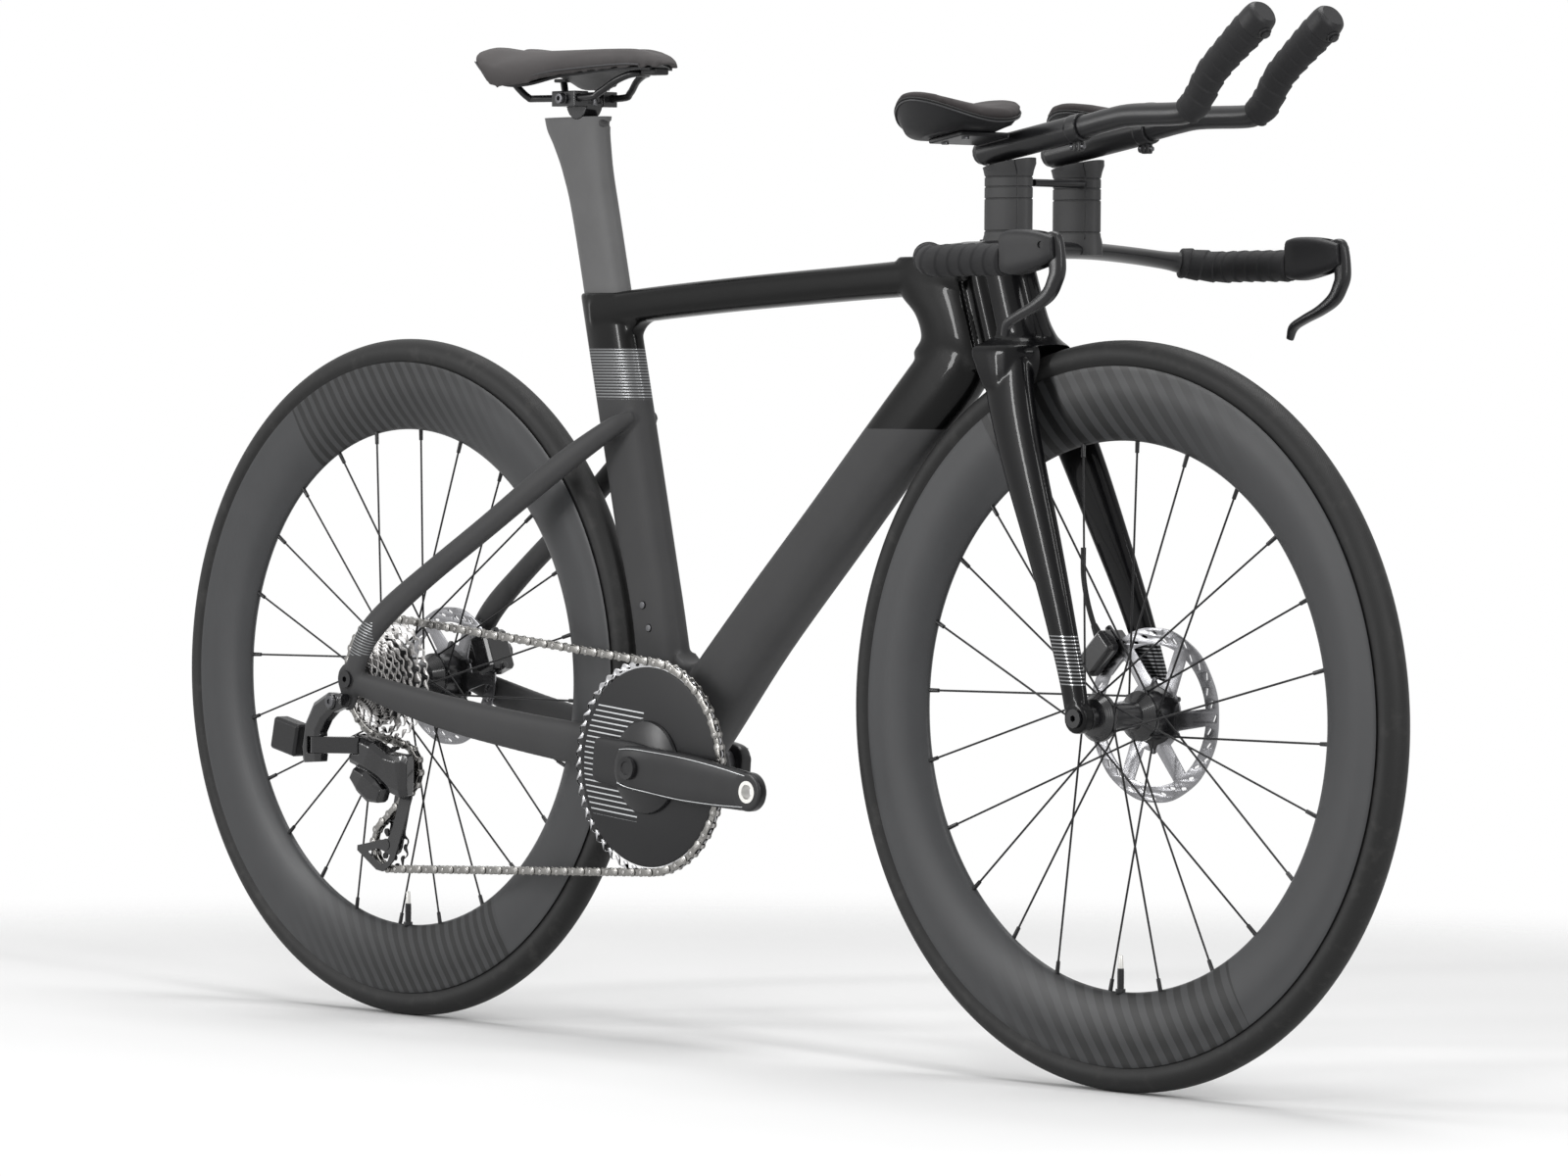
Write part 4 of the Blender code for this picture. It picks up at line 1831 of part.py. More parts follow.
DERAILLEUR_BOLT = (ahead(-0.0040), 0.3180)
CLAMP_X = seat_x(CLAMP_HEIGHT) + 0.0080
SADDLE_TAIL = ahead(SADDLE_TAIL_AHEAD)
LEVER_X = BAR_X + LEVER_AHEAD
LEVER_Z = BAR_HEIGHT - BAR_DROP + LEVER_RISE
LINK_LOW, LINK_HIGH = 0.2650, 0.2820
LINK_A = (DERAILLEUR_BOLT[0] - 0.0300, -0.0958)
LINK_C = (DERAILLEUR_BOLT[0] - 0.0300, -0.0866)
LINK_VECTOR = (0.0340, 0.0275)
LINK_B = (LINK_A[0] + LINK_VECTOR[0], LINK_A[1] + LINK_VECTOR[1])
LINK_D = (LINK_C[0] + LINK_VECTOR[0], LINK_C[1] + LINK_VECTOR[1])
FRONT_CALIPER = (FRONT_X - 0.0620, AXLE_Z + 0.0545)
REAR_CALIPER = (REAR_X + 0.0640, AXLE_Z + 0.0260)
CENTRE_OF = {"front_caliper": (FRONT_X, AXLE_Z), "rear_caliper": (REAR_X, AXLE_Z)}


def axle(name, centre_x, width, head_out):
    """A through axle with a flanged head on the right."""
    reach = width / 2 + head_out
    body = cross_cylinder(name, (centre_x, AXLE_Z), AXLE_RADIUS, -reach - 0.0010, reach, SATIN, 12)
    head = cross_cylinder("axle_head", (centre_x, AXLE_Z), 0.0088, -reach - 0.0022, -reach, SATIN, 12)
    socket = cross_cylinder("axle_socket", (centre_x, AXLE_Z), 0.0032, -reach - 0.01, -reach + 0.006, SATIN, 6)
    return cut(combined(body, [head]), [socket])


def brake_hose():
    """The hose from the left fork blade to the front caliper, in its boot."""
    x, z = FRONT_CALIPER
    points = [
        (x - 0.022, 0.0340, z + 0.096),
        (x - 0.021, 0.0335, z + 0.070),
        (x - 0.016, 0.0340, z + 0.046),
        (x - 0.010, 0.0360, z + 0.026),
        (x - 0.006, 0.0380, z + 0.0160),
    ]
    hose = tube("front_brake_hose", smooth_path(points, 2), 0.0025, HOSE_BLACK, 2)
    boot = cylinder("boot", points[-2], points[-1], 0.0030, HOSE_BLACK, 10, 0.0045)
    return combined(hose, [boot])


def build():
    angle = cage_angle_for(CHAIN_LINKS)
    runs, _, lower, upper = chain_course(angle)

    steering = pivot("steering_axis", on_axis(HEAD_TOP))
    frame()
    bearing("headset_upper_bearing", HEAD_TOP, -1)
    bearing("headset_lower_bearing", HEAD_BOTTOM, 1)
    bottom_bracket()
    hang(steering, [fork(), base_bar(), riser_bridge()])

    post_axis = pivot("seatpost_axis", (seat_x(SEAT_TUBE_TOP), 0, SEAT_TUBE_TOP))
    tilt_axis = pivot("saddle_tilt_axis", (CLAMP_X, 0, CLAMP_HEIGHT), post_axis)
    slide_axis = pivot("saddle_slide_axis", (CLAMP_X, 0, RAIL_HEIGHT), tilt_axis)
    hang(post_axis, [seatpost()])
    hang(tilt_axis, [saddle_clamp()])
    hang(slide_axis, [saddle_rails(), saddle_shell(), saddle_cushion()])

    for side in (LEFT, RIGHT):
        word = "left" if side == LEFT else "right"
        lever_axis = pivot(f"lever_axis_{word}", (LEVER_X, side * BAR_HALF_WIDTH, LEVER_Z), steering)
        slide = pivot(f"extension_axis_{word}", sleeve_point(SLEEVE_LENGTH, side), steering)
        press = pivot(f"button_axis_{word}", button_place(side), slide)
        hang(steering, [riser(side), sleeve(side), bar_tape(side), lever_body(side), arm_cup(side), arm_pad(side)])
        hang(lever_axis, [brake_lever(side)])
        hang(slide, [extension(side), extension_tape(side)])
        hang(press, [shift_button(side)])

    front_wheel = pivot("front_wheel_axis", (FRONT_X, 0, AXLE_Z), steering)
    rear_wheel = pivot("rear_wheel_axis", (REAR_X, 0, AXLE_Z))
    front_disc = rotor("front_rotor", FRONT_X, FRONT_ROTOR_Y, FRONT_ROTOR_RADIUS)
    rear_disc = rotor("rear_rotor", REAR_X, REAR_ROTOR_Y, REAR_ROTOR_RADIUS)
    hang(front_wheel, [tyre("front_tyre", FRONT_X), rim("front_rim", FRONT_X), front_hub(), front_disc])
    hang(rear_wheel, [tyre("rear_tyre", REAR_X), rim("rear_rim", REAR_X), rear_hub(), rear_disc])
    hang(steering, [axle("front_axle", FRONT_X, FRONT_AXLE_WIDTH, 0.0129), brake_hose()])
    axle("rear_axle", REAR_X, REAR_AXLE_WIDTH, 0.0121)

    front_tilt, rear_tilt = math.radians(-45), math.radians(68)
    hang(steering, [caliper("front_caliper", FRONT_CALIPER, FRONT_ROTOR_Y, front_tilt, FRONT_ROTOR_RADIUS)])
    caliper("rear_caliper", REAR_CALIPER, REAR_ROTOR_Y, rear_tilt, REAR_ROTOR_RADIUS)
    front_pad = pivot("front_pad_axis", (FRONT_CALIPER[0], FRONT_ROTOR_Y, FRONT_CALIPER[1]), steering)
    rear_pad = pivot("rear_pad_axis", (REAR_CALIPER[0], REAR_ROTOR_Y, REAR_CALIPER[1]))
    hang(front_pad, [brake_pad("front_brake_pad", FRONT_CALIPER, FRONT_ROTOR_Y, front_tilt, FRONT_X, FRONT_ROTOR_RADIUS)])
    hang(rear_pad, [brake_pad("rear_brake_pad", REAR_CALIPER, REAR_ROTOR_Y, rear_tilt, REAR_X, REAR_ROTOR_RADIUS)])

    cassette_axis = pivot("cassette_axis", (REAR_X, 0, AXLE_Z))
    crank_axis = pivot("crank_axis", (BB_X, 0, BB_HEIGHT))
    hang(cassette_axis, [cassette(runs)])
    hang(crank_axis, [chainring(runs), right_crank(), left_crank()])
    chain(runs)

    derailleur_knuckle()
    battery()
    outer_axis = pivot("outer_link_axis", (*LINK_A, LINK_LOW))
    inner_axis = pivot("inner_link_axis", (*LINK_C, LINK_LOW))
    body_axis = pivot("derailleur_body_axis", (*LINK_B, LINK_LOW), outer_axis)
    cage_axis = pivot("cage_axis", (upper[0], COG_Y, upper[1]), body_axis)
    hang(outer_axis, [link("derailleur_outer_link", LINK_A, LINK_B, LINK_LOW + FIT, LINK_HIGH - FIT, 0.0034)])
    hang(inner_axis, [link("derailleur_inner_link", LINK_C, LINK_D, LINK_LOW + FIT, LINK_HIGH - FIT, 0.0034)])
    hang(body_axis, [moving_knuckle(upper)])
    hang(cage_axis, [derailleur_cage(upper, lower)])
    for name, centre, index in (("upper_pulley", upper, 3), ("lower_pulley", lower, 2)):
        spin = pivot(f"{name}_axis", (centre[0], COG_Y, centre[1]), cage_axis)
        hang(spin, [pulley(name, centre, pin_phase(runs, index))])
    for obj in BIKE.objects:
        if obj.type == "MESH":
            own = obj.data.materials[0].copy()
            own.name = f"{obj.name}_finish"
            obj.data.materials[0] = own


build()
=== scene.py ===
"""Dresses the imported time-trial bicycle for its picture: fine pieces, finishes, studio and camera.

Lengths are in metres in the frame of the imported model. X runs forward, Y to the rider's left and Z up, with the
ground at Z = 0 and the origin midway between the two axles.
"""

import json
import logging
import math
from dataclasses import dataclass, replace
from enum import Enum
from typing import Callable, Iterable, Optional, Sequence, Union

import bmesh
import bpy
import numpy as np
from mathutils import Matrix, Vector

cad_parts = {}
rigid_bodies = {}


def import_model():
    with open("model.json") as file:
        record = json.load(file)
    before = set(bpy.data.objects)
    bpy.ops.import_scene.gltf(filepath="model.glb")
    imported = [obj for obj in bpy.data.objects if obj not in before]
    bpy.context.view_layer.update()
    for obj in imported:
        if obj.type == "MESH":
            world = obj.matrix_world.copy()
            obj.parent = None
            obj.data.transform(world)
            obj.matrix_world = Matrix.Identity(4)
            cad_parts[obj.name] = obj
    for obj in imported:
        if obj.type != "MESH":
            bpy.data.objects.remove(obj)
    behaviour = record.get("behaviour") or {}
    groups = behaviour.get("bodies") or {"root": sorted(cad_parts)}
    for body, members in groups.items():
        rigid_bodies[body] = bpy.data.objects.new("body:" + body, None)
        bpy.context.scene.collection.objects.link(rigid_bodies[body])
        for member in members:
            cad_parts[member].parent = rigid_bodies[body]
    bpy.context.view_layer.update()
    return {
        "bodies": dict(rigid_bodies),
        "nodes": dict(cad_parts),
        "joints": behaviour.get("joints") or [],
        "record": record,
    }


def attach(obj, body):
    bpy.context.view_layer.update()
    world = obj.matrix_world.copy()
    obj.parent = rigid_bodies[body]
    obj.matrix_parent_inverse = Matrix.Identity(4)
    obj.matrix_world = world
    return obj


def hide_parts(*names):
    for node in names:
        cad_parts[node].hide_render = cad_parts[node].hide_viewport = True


LOG = logging.getLogger("bicycle")

Colour = tuple[float, float, float]
Point = tuple[float, float, float]
Flat = tuple[float, float]
Value = Union[float, "Wave"]
Object = bpy.types.Object

SHARP = 38.0  # degrees beyond which an edge stays crisp
ACROSS = Vector((0, 1, 0))
UP = Vector((0, 0, 1))
FORWARD = Vector((1, 0, 0))


class Side(Enum):
    """The two sides of the bicycle, as the sign of Y."""

    LEFT = 1
    RIGHT = -1

    @property
    def word(self) -> str:
        """The side's name inside a piece's name."""
        return self.name.lower()


class Body(Enum):
    """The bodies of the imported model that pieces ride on."""

    FRAME = "frame"
    POST = "seatpost"
    CLAMP = "saddle_clamp"
    SADDLE = "saddle"
    COCKPIT = "cockpit"
    FRONT_WHEEL = "front_wheel"
    REAR_WHEEL = "rear_wheel"
    CASSETTE = "cassette"
    CRANKS = "crankset"
    DERAILLEUR = "derailleur_body"
    UPPER_PULLEY = "upper_pulley"
    LOWER_PULLEY = "lower_pulley"
    LEVER_LEFT = "brake_lever_left"
    LEVER_RIGHT = "brake_lever_right"
    EXTENSION_LEFT = "extension_left"
    EXTENSION_RIGHT = "extension_right"
    BUTTON_LEFT = "shift_button_left"
    BUTTON_RIGHT = "shift_button_right"


# Shader arithmetic


def operator(operation: str, reflected: bool = False) -> Callable[["Wave", Value], "Wave"]:
    """Makes the method of one arithmetic operator, with its two operands swapped in a reflected form.

    Args:
        operation: Blender's name of the operation.
        reflected: Whether the other operand comes first.

    Returns:
        The method.
    """

    def method(wave: "Wave", other: Value) -> "Wave":
        """Adds a math node for the two operands."""
        values = (other, wave) if reflected else (wave, other)
        return wave.graph.node("ShaderNodeMath", {"operation": operation}, dict(enumerate(values)))

    return method


class Wave:
    """An output of a shader node that can be used like a number."""

    def __init__(self, graph: "Graph", socket: bpy.types.NodeSocket) -> None:
        """Wraps one output.

        Args:
            graph: The graph that the output belongs to.
            socket: The output itself.
        """
        self.graph = graph
        self.socket = socket

    __add__, __radd__ = operator("ADD"), operator("ADD", True)
    __sub__, __rsub__ = operator("SUBTRACT"), operator("SUBTRACT", True)
    __mul__, __rmul__ = operator("MULTIPLY"), operator("MULTIPLY", True)
    __truediv__, __rtruediv__ = operator("DIVIDE"), operator("DIVIDE", True)
    __pow__, __rpow__ = operator("POWER"), operator("POWER", True)
    __lt__, __gt__ = operator("LESS_THAN"), operator("GREATER_THAN")
    least, angle_to = operator("MINIMUM"), operator("ARCTAN2")

    def alone(self, operation: str) -> "Wave":
        """A function of this value alone."""
        return self.graph.node("ShaderNodeMath", {"operation": operation}, {0: self})

    def fraction(self) -> "Wave":
        """The part after the decimal point."""
        return self.alone("FRACT")

    def sine(self) -> "Wave":
        """The sine of an angle in radians."""
        return self.alone("SINE")

    def absolute(self) -> "Wave":
        """The value without its sign."""
        return self.alone("ABSOLUTE")

    def within(self, low: float, high: float) -> "Wave":
        """One between two values and nothing outside them."""
        return (self > low) * (self < high)

    def step(self, low: float, high: float) -> "Wave":
        """A smooth step from nothing at low to one at high."""
        settings = {"interpolation_type": "SMOOTHSTEP"}
        return self.graph.node("ShaderNodeMapRange", settings, {0: self, 1: low, 2: high, 3: 0.0, 4: 1.0})


class Graph:
    """The node tree of one material, with short ways to add nodes."""

    def __init__(self, name: str) -> None:
        """Makes an empty material with its shader.

        Args:
            name: The material's name.
        """
        self.material = bpy.data.materials.new(name)
        self.material.use_nodes = True
        self.tree = self.material.node_tree
        self.shader = self.tree.nodes["Principled BSDF"]

    @classmethod
    def of(cls, material: bpy.types.Material) -> "Graph":
        """The graph of a material that is already made.

        Args:
            material: A material with a shader.

        Returns:
            Its graph.
        """
        graph = cls.__new__(cls)
        graph.material = material
        graph.tree = material.node_tree
        graph.shader = graph.tree.nodes["Principled BSDF"]
        return graph

    def node(self, kind: str, settings: dict, inputs: dict, output: Union[int, str] = 0) -> Wave:
        """Adds any node.

        Args:
            kind: Blender's type name of the node.
            settings: Attributes, set before the inputs because some of them change the sockets.
            inputs: Socket names or numbers with a value or another node's output.
            output: The output to return.

        Returns:
            The chosen output.
        """
        made = self.tree.nodes.new(kind)
        for key, setting in settings.items():
            setattr(made, key, setting)
        for key, value in inputs.items():
            self.feed(made.inputs[key], value)
        return Wave(self, made.outputs[output])

    def feed(self, socket: bpy.types.NodeSocket, value: object) -> None:
        """Links an output to a socket, or sets the socket's own value.

        Args:
            socket: The input.
            value: A number, a colour or another node's output.
        """
        if isinstance(value, Wave):
            self.tree.links.new(value.socket, socket)
        elif isinstance(value, tuple) and len(value) == 3 and socket.type == "RGBA":
            socket.default_value = (*value, 1.0)
        else:
            socket.default_value = value

    def place(self) -> Wave:
        """The point on the surface, in metres in the model's frame."""
        return self.node("ShaderNodeTexCoord", {}, {}, "Object")

    def axes(self, point: Wave) -> tuple[Wave, Wave, Wave]:
        """The three coordinates of a point.

        Args:
            point: The point.

        Returns:
            X, Y and Z.
        """
        first = self.node("ShaderNodeSeparateXYZ", {}, {0: point})
        outputs = first.socket.node.outputs
        return first, Wave(self, outputs[1]), Wave(self, outputs[2])

    def moved(self, point: Wave, centre: Point) -> Wave:
        """The point as seen from a centre."""
        return self.node("ShaderNodeVectorMath", {"operation": "SUBTRACT"}, {0: point, 1: centre})

    def along(self, point: Wave, direction: Point) -> Wave:
        """How far the point lies along a direction."""
        settings = {"operation": "DOT_PRODUCT"}
        return self.node("ShaderNodeVectorMath", settings, {0: point, 1: direction}, "Value")

    def stretched(self, point: Wave, scale: Point) -> Wave:
        """The point with each coordinate scaled."""
        return self.node("ShaderNodeVectorMath", {"operation": "MULTIPLY"}, {0: point, 1: scale})

    def noise(self, point: Wave, scale: float, detail: float = 4.0, roughness: float = 0.55) -> Wave:
        """Cloudy noise from 0 to 1."""
        inputs = {"Vector": point, "Scale": scale, "Detail": detail, "Roughness": roughness}
        return self.node("ShaderNodeTexNoise", {}, inputs, 0)

    def cells(self, point: Wave, scale: float, feature: str = "F1") -> Wave:
        """The distance to the nearest of many scattered points."""
        return self.node("ShaderNodeTexVoronoi", {"feature": feature}, {"Vector": point, "Scale": scale}, "Distance")

    def blend(self, factor: Value, first: object, second: object) -> Wave:
        """A colour between two colours."""
        settings = {"data_type": "RGBA"}
        return self.node("ShaderNodeMix", settings, {0: factor, 6: first, 7: second}, 2)

    def bump(self, height: Wave, distance: float, strength: float = 1.0, normal: Optional[Wave] = None) -> Wave:
        """A surface normal tipped by a height.

        Args:
            height: A height that varies over the surface.
            distance: The depth of the relief, in metres.
            strength: The share of the relief that shows.
            normal: A normal to tip further.

        Returns:
            The tipped normal.
        """
        inputs: dict = {"Height": height, "Distance": distance, "Strength": strength}
        if normal is not None:
            inputs["Normal"] = normal
        return self.node("ShaderNodeBump", {}, inputs)


# Finishes

SOCKETS = ("Base Color", "Roughness", "Metallic", "Coat Weight")


@dataclass
class Skin:
    """What one finish draws on its surface: each entry is a constant or varies over the surface."""

    colour: object
    roughness: Value
    metallic: Value
    coat: Value
    normal: Optional[Wave] = None


@dataclass(frozen=True)
class Finish:
    """A moulded or painted surface with fine grain, cloudy colour and soiling in its roughness.

    The grain is a bump of grain_depth at grain_scale cells a metre. The mottle is the share by which the colour
    changes, and spread is the range of the roughness.
    """

    name: str
    colour: Colour
    roughness: float
    metallic: float = 0.0
    coat: float = 0.0
    coat_roughness: float = 0.04
    grain_scale: float = 1400.0
    grain_depth: float = 0.00004
    mottle: float = 0.20
    mottle_scale: float = 24.0
    spread: float = 0.10
    specular: float = 0.5

    def material(self) -> bpy.types.Material:
        """Returns the finish's material, made on its first use.

        Returns:
            The material.
        """
        known = bpy.data.materials.get(self.name)
        if known is not None:
            return known
        graph = Graph(self.name)
        skin = self.draw(graph, graph.place())
        shader = graph.shader
        for name, value in zip(SOCKETS, (skin.colour, skin.roughness, skin.metallic, skin.coat)):
            graph.feed(shader.inputs[name], value)
        shader.inputs["Coat Roughness"].default_value = self.coat_roughness
        shader.inputs["Specular IOR Level"].default_value = self.specular
        if skin.normal is not None:
            graph.feed(shader.inputs["Normal"], skin.normal)
        return graph.material

    def draw(self, graph: Graph, point: Wave) -> Skin:
        """Adds the nodes of this finish.

        Args:
            graph: The material's graph.
            point: The point on the surface.

        Returns:
            What feeds the shader.
        """
        cloud = graph.noise(point, self.mottle_scale)
        fine = graph.noise(point, self.grain_scale, 2.0)
        pale = tuple(min(1.0, channel * (1 + self.mottle) + 0.006 * self.mottle) for channel in self.colour)
        deep = tuple(channel * (1 - self.mottle) for channel in self.colour)
        colour = graph.blend(cloud, deep, pale)
        roughness = (cloud - 0.5) * self.spread + (fine - 0.5) * (self.spread * 0.5) + self.roughness
        normal = graph.bump(fine, self.grain_depth)
        return Skin(colour, roughness, self.metallic, self.coat, normal)


@dataclass(frozen=True)
class LineBand:
    """A patch of thin parallel lines: spaced along one direction, inside a window on each axis."""

    direction: Point
    pitch: float
    share: float
    low: Point
    high: Point
    phase: float = 0.0

    def mask(self, graph: Graph, point: Wave) -> Wave:
        """One on the lines and nothing elsewhere.

        Args:
            graph: The material's graph.
            point: The point on the surface.

        Returns:
            The mask.
        """
        lines = (graph.along(point, self.direction) / self.pitch + self.phase).fraction() < self.share
        for axis, low, high in zip(graph.axes(point), self.low, self.high):
            lines = lines * axis.within(low, high)
        return lines


@dataclass(frozen=True)
class Lacquer(Finish):
    """Paint over carbon with bands of thin lines, gloss above a level border in each of some stretches.

    Each stretch is (lowest x, highest x, height of its border).
    """

    bands: tuple[LineBand, ...] = ()
    line_colour: Colour = (0.24, 0.245, 0.25)
    glossy: tuple[tuple[float, float, float], ...] = ()
    gloss_coat: float = 0.15
    gloss_roughness: float = 0.30
    gloss_depth: float = 0.03
    line_metal: float = 0.8
    line_shine: float = 0.12

    def draw(self, graph: Graph, point: Wave) -> Skin:
        """Adds thin lines and gloss paint to the plain finish.

        Args:
            graph: The material's graph.
            point: The point on the surface.

        Returns:
            What feeds the shader.
        """
        skin = super().draw(graph, point)
        peel = graph.noise(point, 260.0, 1.0)
        skin.normal = graph.bump(peel, 0.00002, 0.5, skin.normal)
        x, _, z = graph.axes(point)
        for low, high, border in self.glossy:
            gloss = x.within(low, high) * z.step(border - 0.0005, border + 0.0005)
            skin.coat = gloss * self.gloss_coat + skin.coat
            skin.roughness = skin.roughness - gloss * (self.roughness - self.gloss_roughness)
            skin.colour = graph.blend(
                gloss, skin.colour, tuple(channel * self.gloss_depth for channel in self.colour)
            )
        for band in self.bands:
            mask = band.mask(graph, point)
            skin.colour = graph.blend(mask, skin.colour, self.line_colour)
            skin.metallic = mask * self.line_metal + skin.metallic
            skin.roughness = skin.roughness - mask * self.line_shine
        return skin


@dataclass(frozen=True)
class Lathed(Finish):
    """Metal turned or ground about an axis across the bicycle, with rings that show in its roughness."""

    centre: Point = (0.0, 0.0, 0.0)
    ring_scale: float = 5200.0
    ring_depth: float = 0.00002

    def draw(self, graph: Graph, point: Wave) -> Skin:
        """Adds turned rings and scratches to the plain finish.

        Args:
            graph: The material's graph.
            point: The point on the surface.

        Returns:
            What feeds the shader.
        """
        skin = super().draw(graph, point)
        x, _, z = graph.axes(graph.moved(point, self.centre))
        radius = (x * x + z * z) ** 0.5
        wander = graph.noise(point, 90.0, 2.0)
        rings = ((radius + wander * 0.0008) * self.ring_scale).sine()
        scratch = graph.noise(graph.stretched(point, (1.0, 0.2, 1.0)), 2600.0, 3.0)
        skin.roughness = skin.roughness + rings * 0.05 + (scratch - 0.5) * 0.12
        skin.normal = graph.bump(rings + scratch, self.ring_depth, 0.7)
        return skin


@dataclass(frozen=True)
class DeepRim(Finish):
    """The rim's matt grey flank with darker slanting stripes in two arcs."""

    centre: Point = (0.0, 0.0, 0.0)
    dark: Colour = (0.004, 0.004, 0.004)
    pitch: float = 0.0125
    share: float = 0.52
    slant: Point = (0.81, 0.0, 0.58)
    shade: float = 0.18
    contrast: float = 0.72
    edge: float = -0.64
    fade: Flat = (-0.10, 0.80)
    weave: float = 1900.0

    def draw(self, graph: Graph, point: Wave) -> Skin:
        """Adds slanting stripes to the plain finish.

        Args:
            graph: The material's graph.
            point: The point on the surface.

        Returns:
            What feeds the shader.
        """
        skin = super().draw(graph, point)
        local = graph.moved(point, self.centre)
        x, _, z = graph.axes(local)
        stripes = (graph.along(local, self.slant) / self.pitch).fraction() < self.share
        lean = x / z
        window = (lean > self.edge) * (1.0 - lean.step(*self.fade))
        skin.colour = graph.blend(window * (stripes * self.contrast + self.shade), skin.colour, self.dark)
        warp, weft = (graph.along(local, way) * self.weave for way in ((1, 1, 1), (1, -1, -1)))
        skin.roughness = skin.roughness + warp.sine() * weft.sine() * 0.05
        return skin


@dataclass(frozen=True)
class Tread(Finish):
    """Tyre rubber with a finely filed tread and moulding lines on the flank."""

    centre: Point = (0.0, 0.0, 0.0)
    crown: Flat = (0.3345, 0.3375)
    dust: Colour = (0.034, 0.033, 0.032)

    def draw(self, graph: Graph, point: Wave) -> Skin:
        """Adds file marks, moulding lines and dust to the plain finish.

        Args:
            graph: The material's graph.
            point: The point on the surface.

        Returns:
            What feeds the shader.
        """
        skin = super().draw(graph, point)
        x, y, z = graph.axes(graph.moved(point, self.centre))
        radius = (x * x + z * z) ** 0.5
        turn = z.angle_to(x)
        file_marks = (turn * 900.0 + y.absolute() * 2600.0).sine()
        crown = radius.step(*self.crown)
        moulding = (radius * 4200.0).sine() * (1.0 - crown)
        dust = graph.noise(point, 60.0, 6.0)
        height = file_marks * crown * 0.6 + moulding * 0.2 + dust * 0.5
        skin.normal = graph.bump(height, 0.00009, 0.8)
        skin.colour = graph.blend(dust.step(0.52, 0.75) * 0.5, skin.colour, self.dust)
        return skin


@dataclass(frozen=True)
class Tape(Finish):
    """Wound grip tape: close dimples and a soft sheen."""

    def draw(self, graph: Graph, point: Wave) -> Skin:
        """Adds dimples to the plain finish.

        Args:
            graph: The material's graph.
            point: The point on the surface.

        Returns:
            What feeds the shader.
        """
        skin = super().draw(graph, point)
        dimples = graph.cells(point, 620.0)
        worn = graph.noise(point, 120.0, 3.0)
        skin.normal = graph.bump(dimples + worn * 0.3, 0.00010, 0.8)
        skin.roughness = skin.roughness - worn.step(0.5, 0.8) * 0.10
        return skin


@dataclass(frozen=True)
class Foam(Finish):
    """Cloth-faced foam: a fine knit over soft unevenness."""

    knit: float = 1250.0

    def draw(self, graph: Graph, point: Wave) -> Skin:
        """Adds knit and pill to the plain finish.

        Args:
            graph: The material's graph.
            point: The point on the surface.

        Returns:
            What feeds the shader.
        """
        skin = super().draw(graph, point)
        first = (graph.along(point, (1.0, 0.0, 0.35)) * self.knit * 2 * math.pi).sine()
        second = (graph.along(point, (0.0, 1.0, 0.35)) * self.knit * 2 * math.pi).sine()
        pill = graph.noise(point, 420.0, 5.0)
        skin.normal = graph.bump(first * second * 0.5 + pill, 0.00022, 0.8)
        skin.colour = graph.blend(pill.step(0.45, 0.75) * 0.6, skin.colour, tuple(c * 2.0 for c in self.colour))
        return skin


@dataclass(frozen=True)
class Cover(Finish):
    """A saddle cover: fine leather grain with rubbed folds."""

    def draw(self, graph: Graph, point: Wave) -> Skin:
        """Adds grain and rubbed folds to the plain finish.

        Args:
            graph: The material's graph.
            point: The point on the surface.

        Returns:
            What feeds the shader.
        """
        skin = super().draw(graph, point)
        grain = graph.cells(point, 900.0, "DISTANCE_TO_EDGE")
        crease = graph.noise(point, 180.0, 4.0)
        skin.normal = graph.bump(grain.least(0.12) * 6.0 + crease * 0.5, 0.00016, 0.8)
        rubbed = crease.step(0.48, 0.72)
        skin.colour = graph.blend(rubbed * 0.4, skin.colour, tuple(c * 1.9 for c in self.colour))
        skin.roughness = skin.roughness - rubbed * 0.08
        return skin


@dataclass(frozen=True)
class LinedDisc(Finish):
    """The matt disc inside the ring, with thin bright lines over the part behind the spider."""

    centre: Point = (0.0, 0.0, 0.0)
    slope: float = math.radians(-5.0)
    pitch: float = 0.0053
    share: float = 0.24
    reach: float = 0.0545
    line_colour: Colour = (0.50, 0.51, 0.52)
    inner: float = 0.047
    outer: float = 0.0915

    def draw(self, graph: Graph, point: Wave) -> Skin:
        """Adds thin bright lines to the plain finish.

        Args:
            graph: The material's graph.
            point: The point on the surface.

        Returns:
            What feeds the shader.
        """
        skin = super().draw(graph, point)
        local = graph.moved(point, self.centre)
        x, _, z = graph.axes(local)
        radius = (x * x + z * z) ** 0.5
        normal = (-math.sin(self.slope), 0.0, math.cos(self.slope))
        lines = (graph.along(local, normal) / self.pitch + 0.5).fraction() < self.share
        behind = graph.along(local, (math.cos(self.slope), 0.0, math.sin(self.slope))) < -0.010
        level = graph.along(local, normal).absolute() < self.reach
        mask = lines * behind * level * radius.within(self.inner, self.outer)
        skin.colour = graph.blend(mask, skin.colour, self.line_colour)
        skin.metallic = mask * 0.7
        return skin


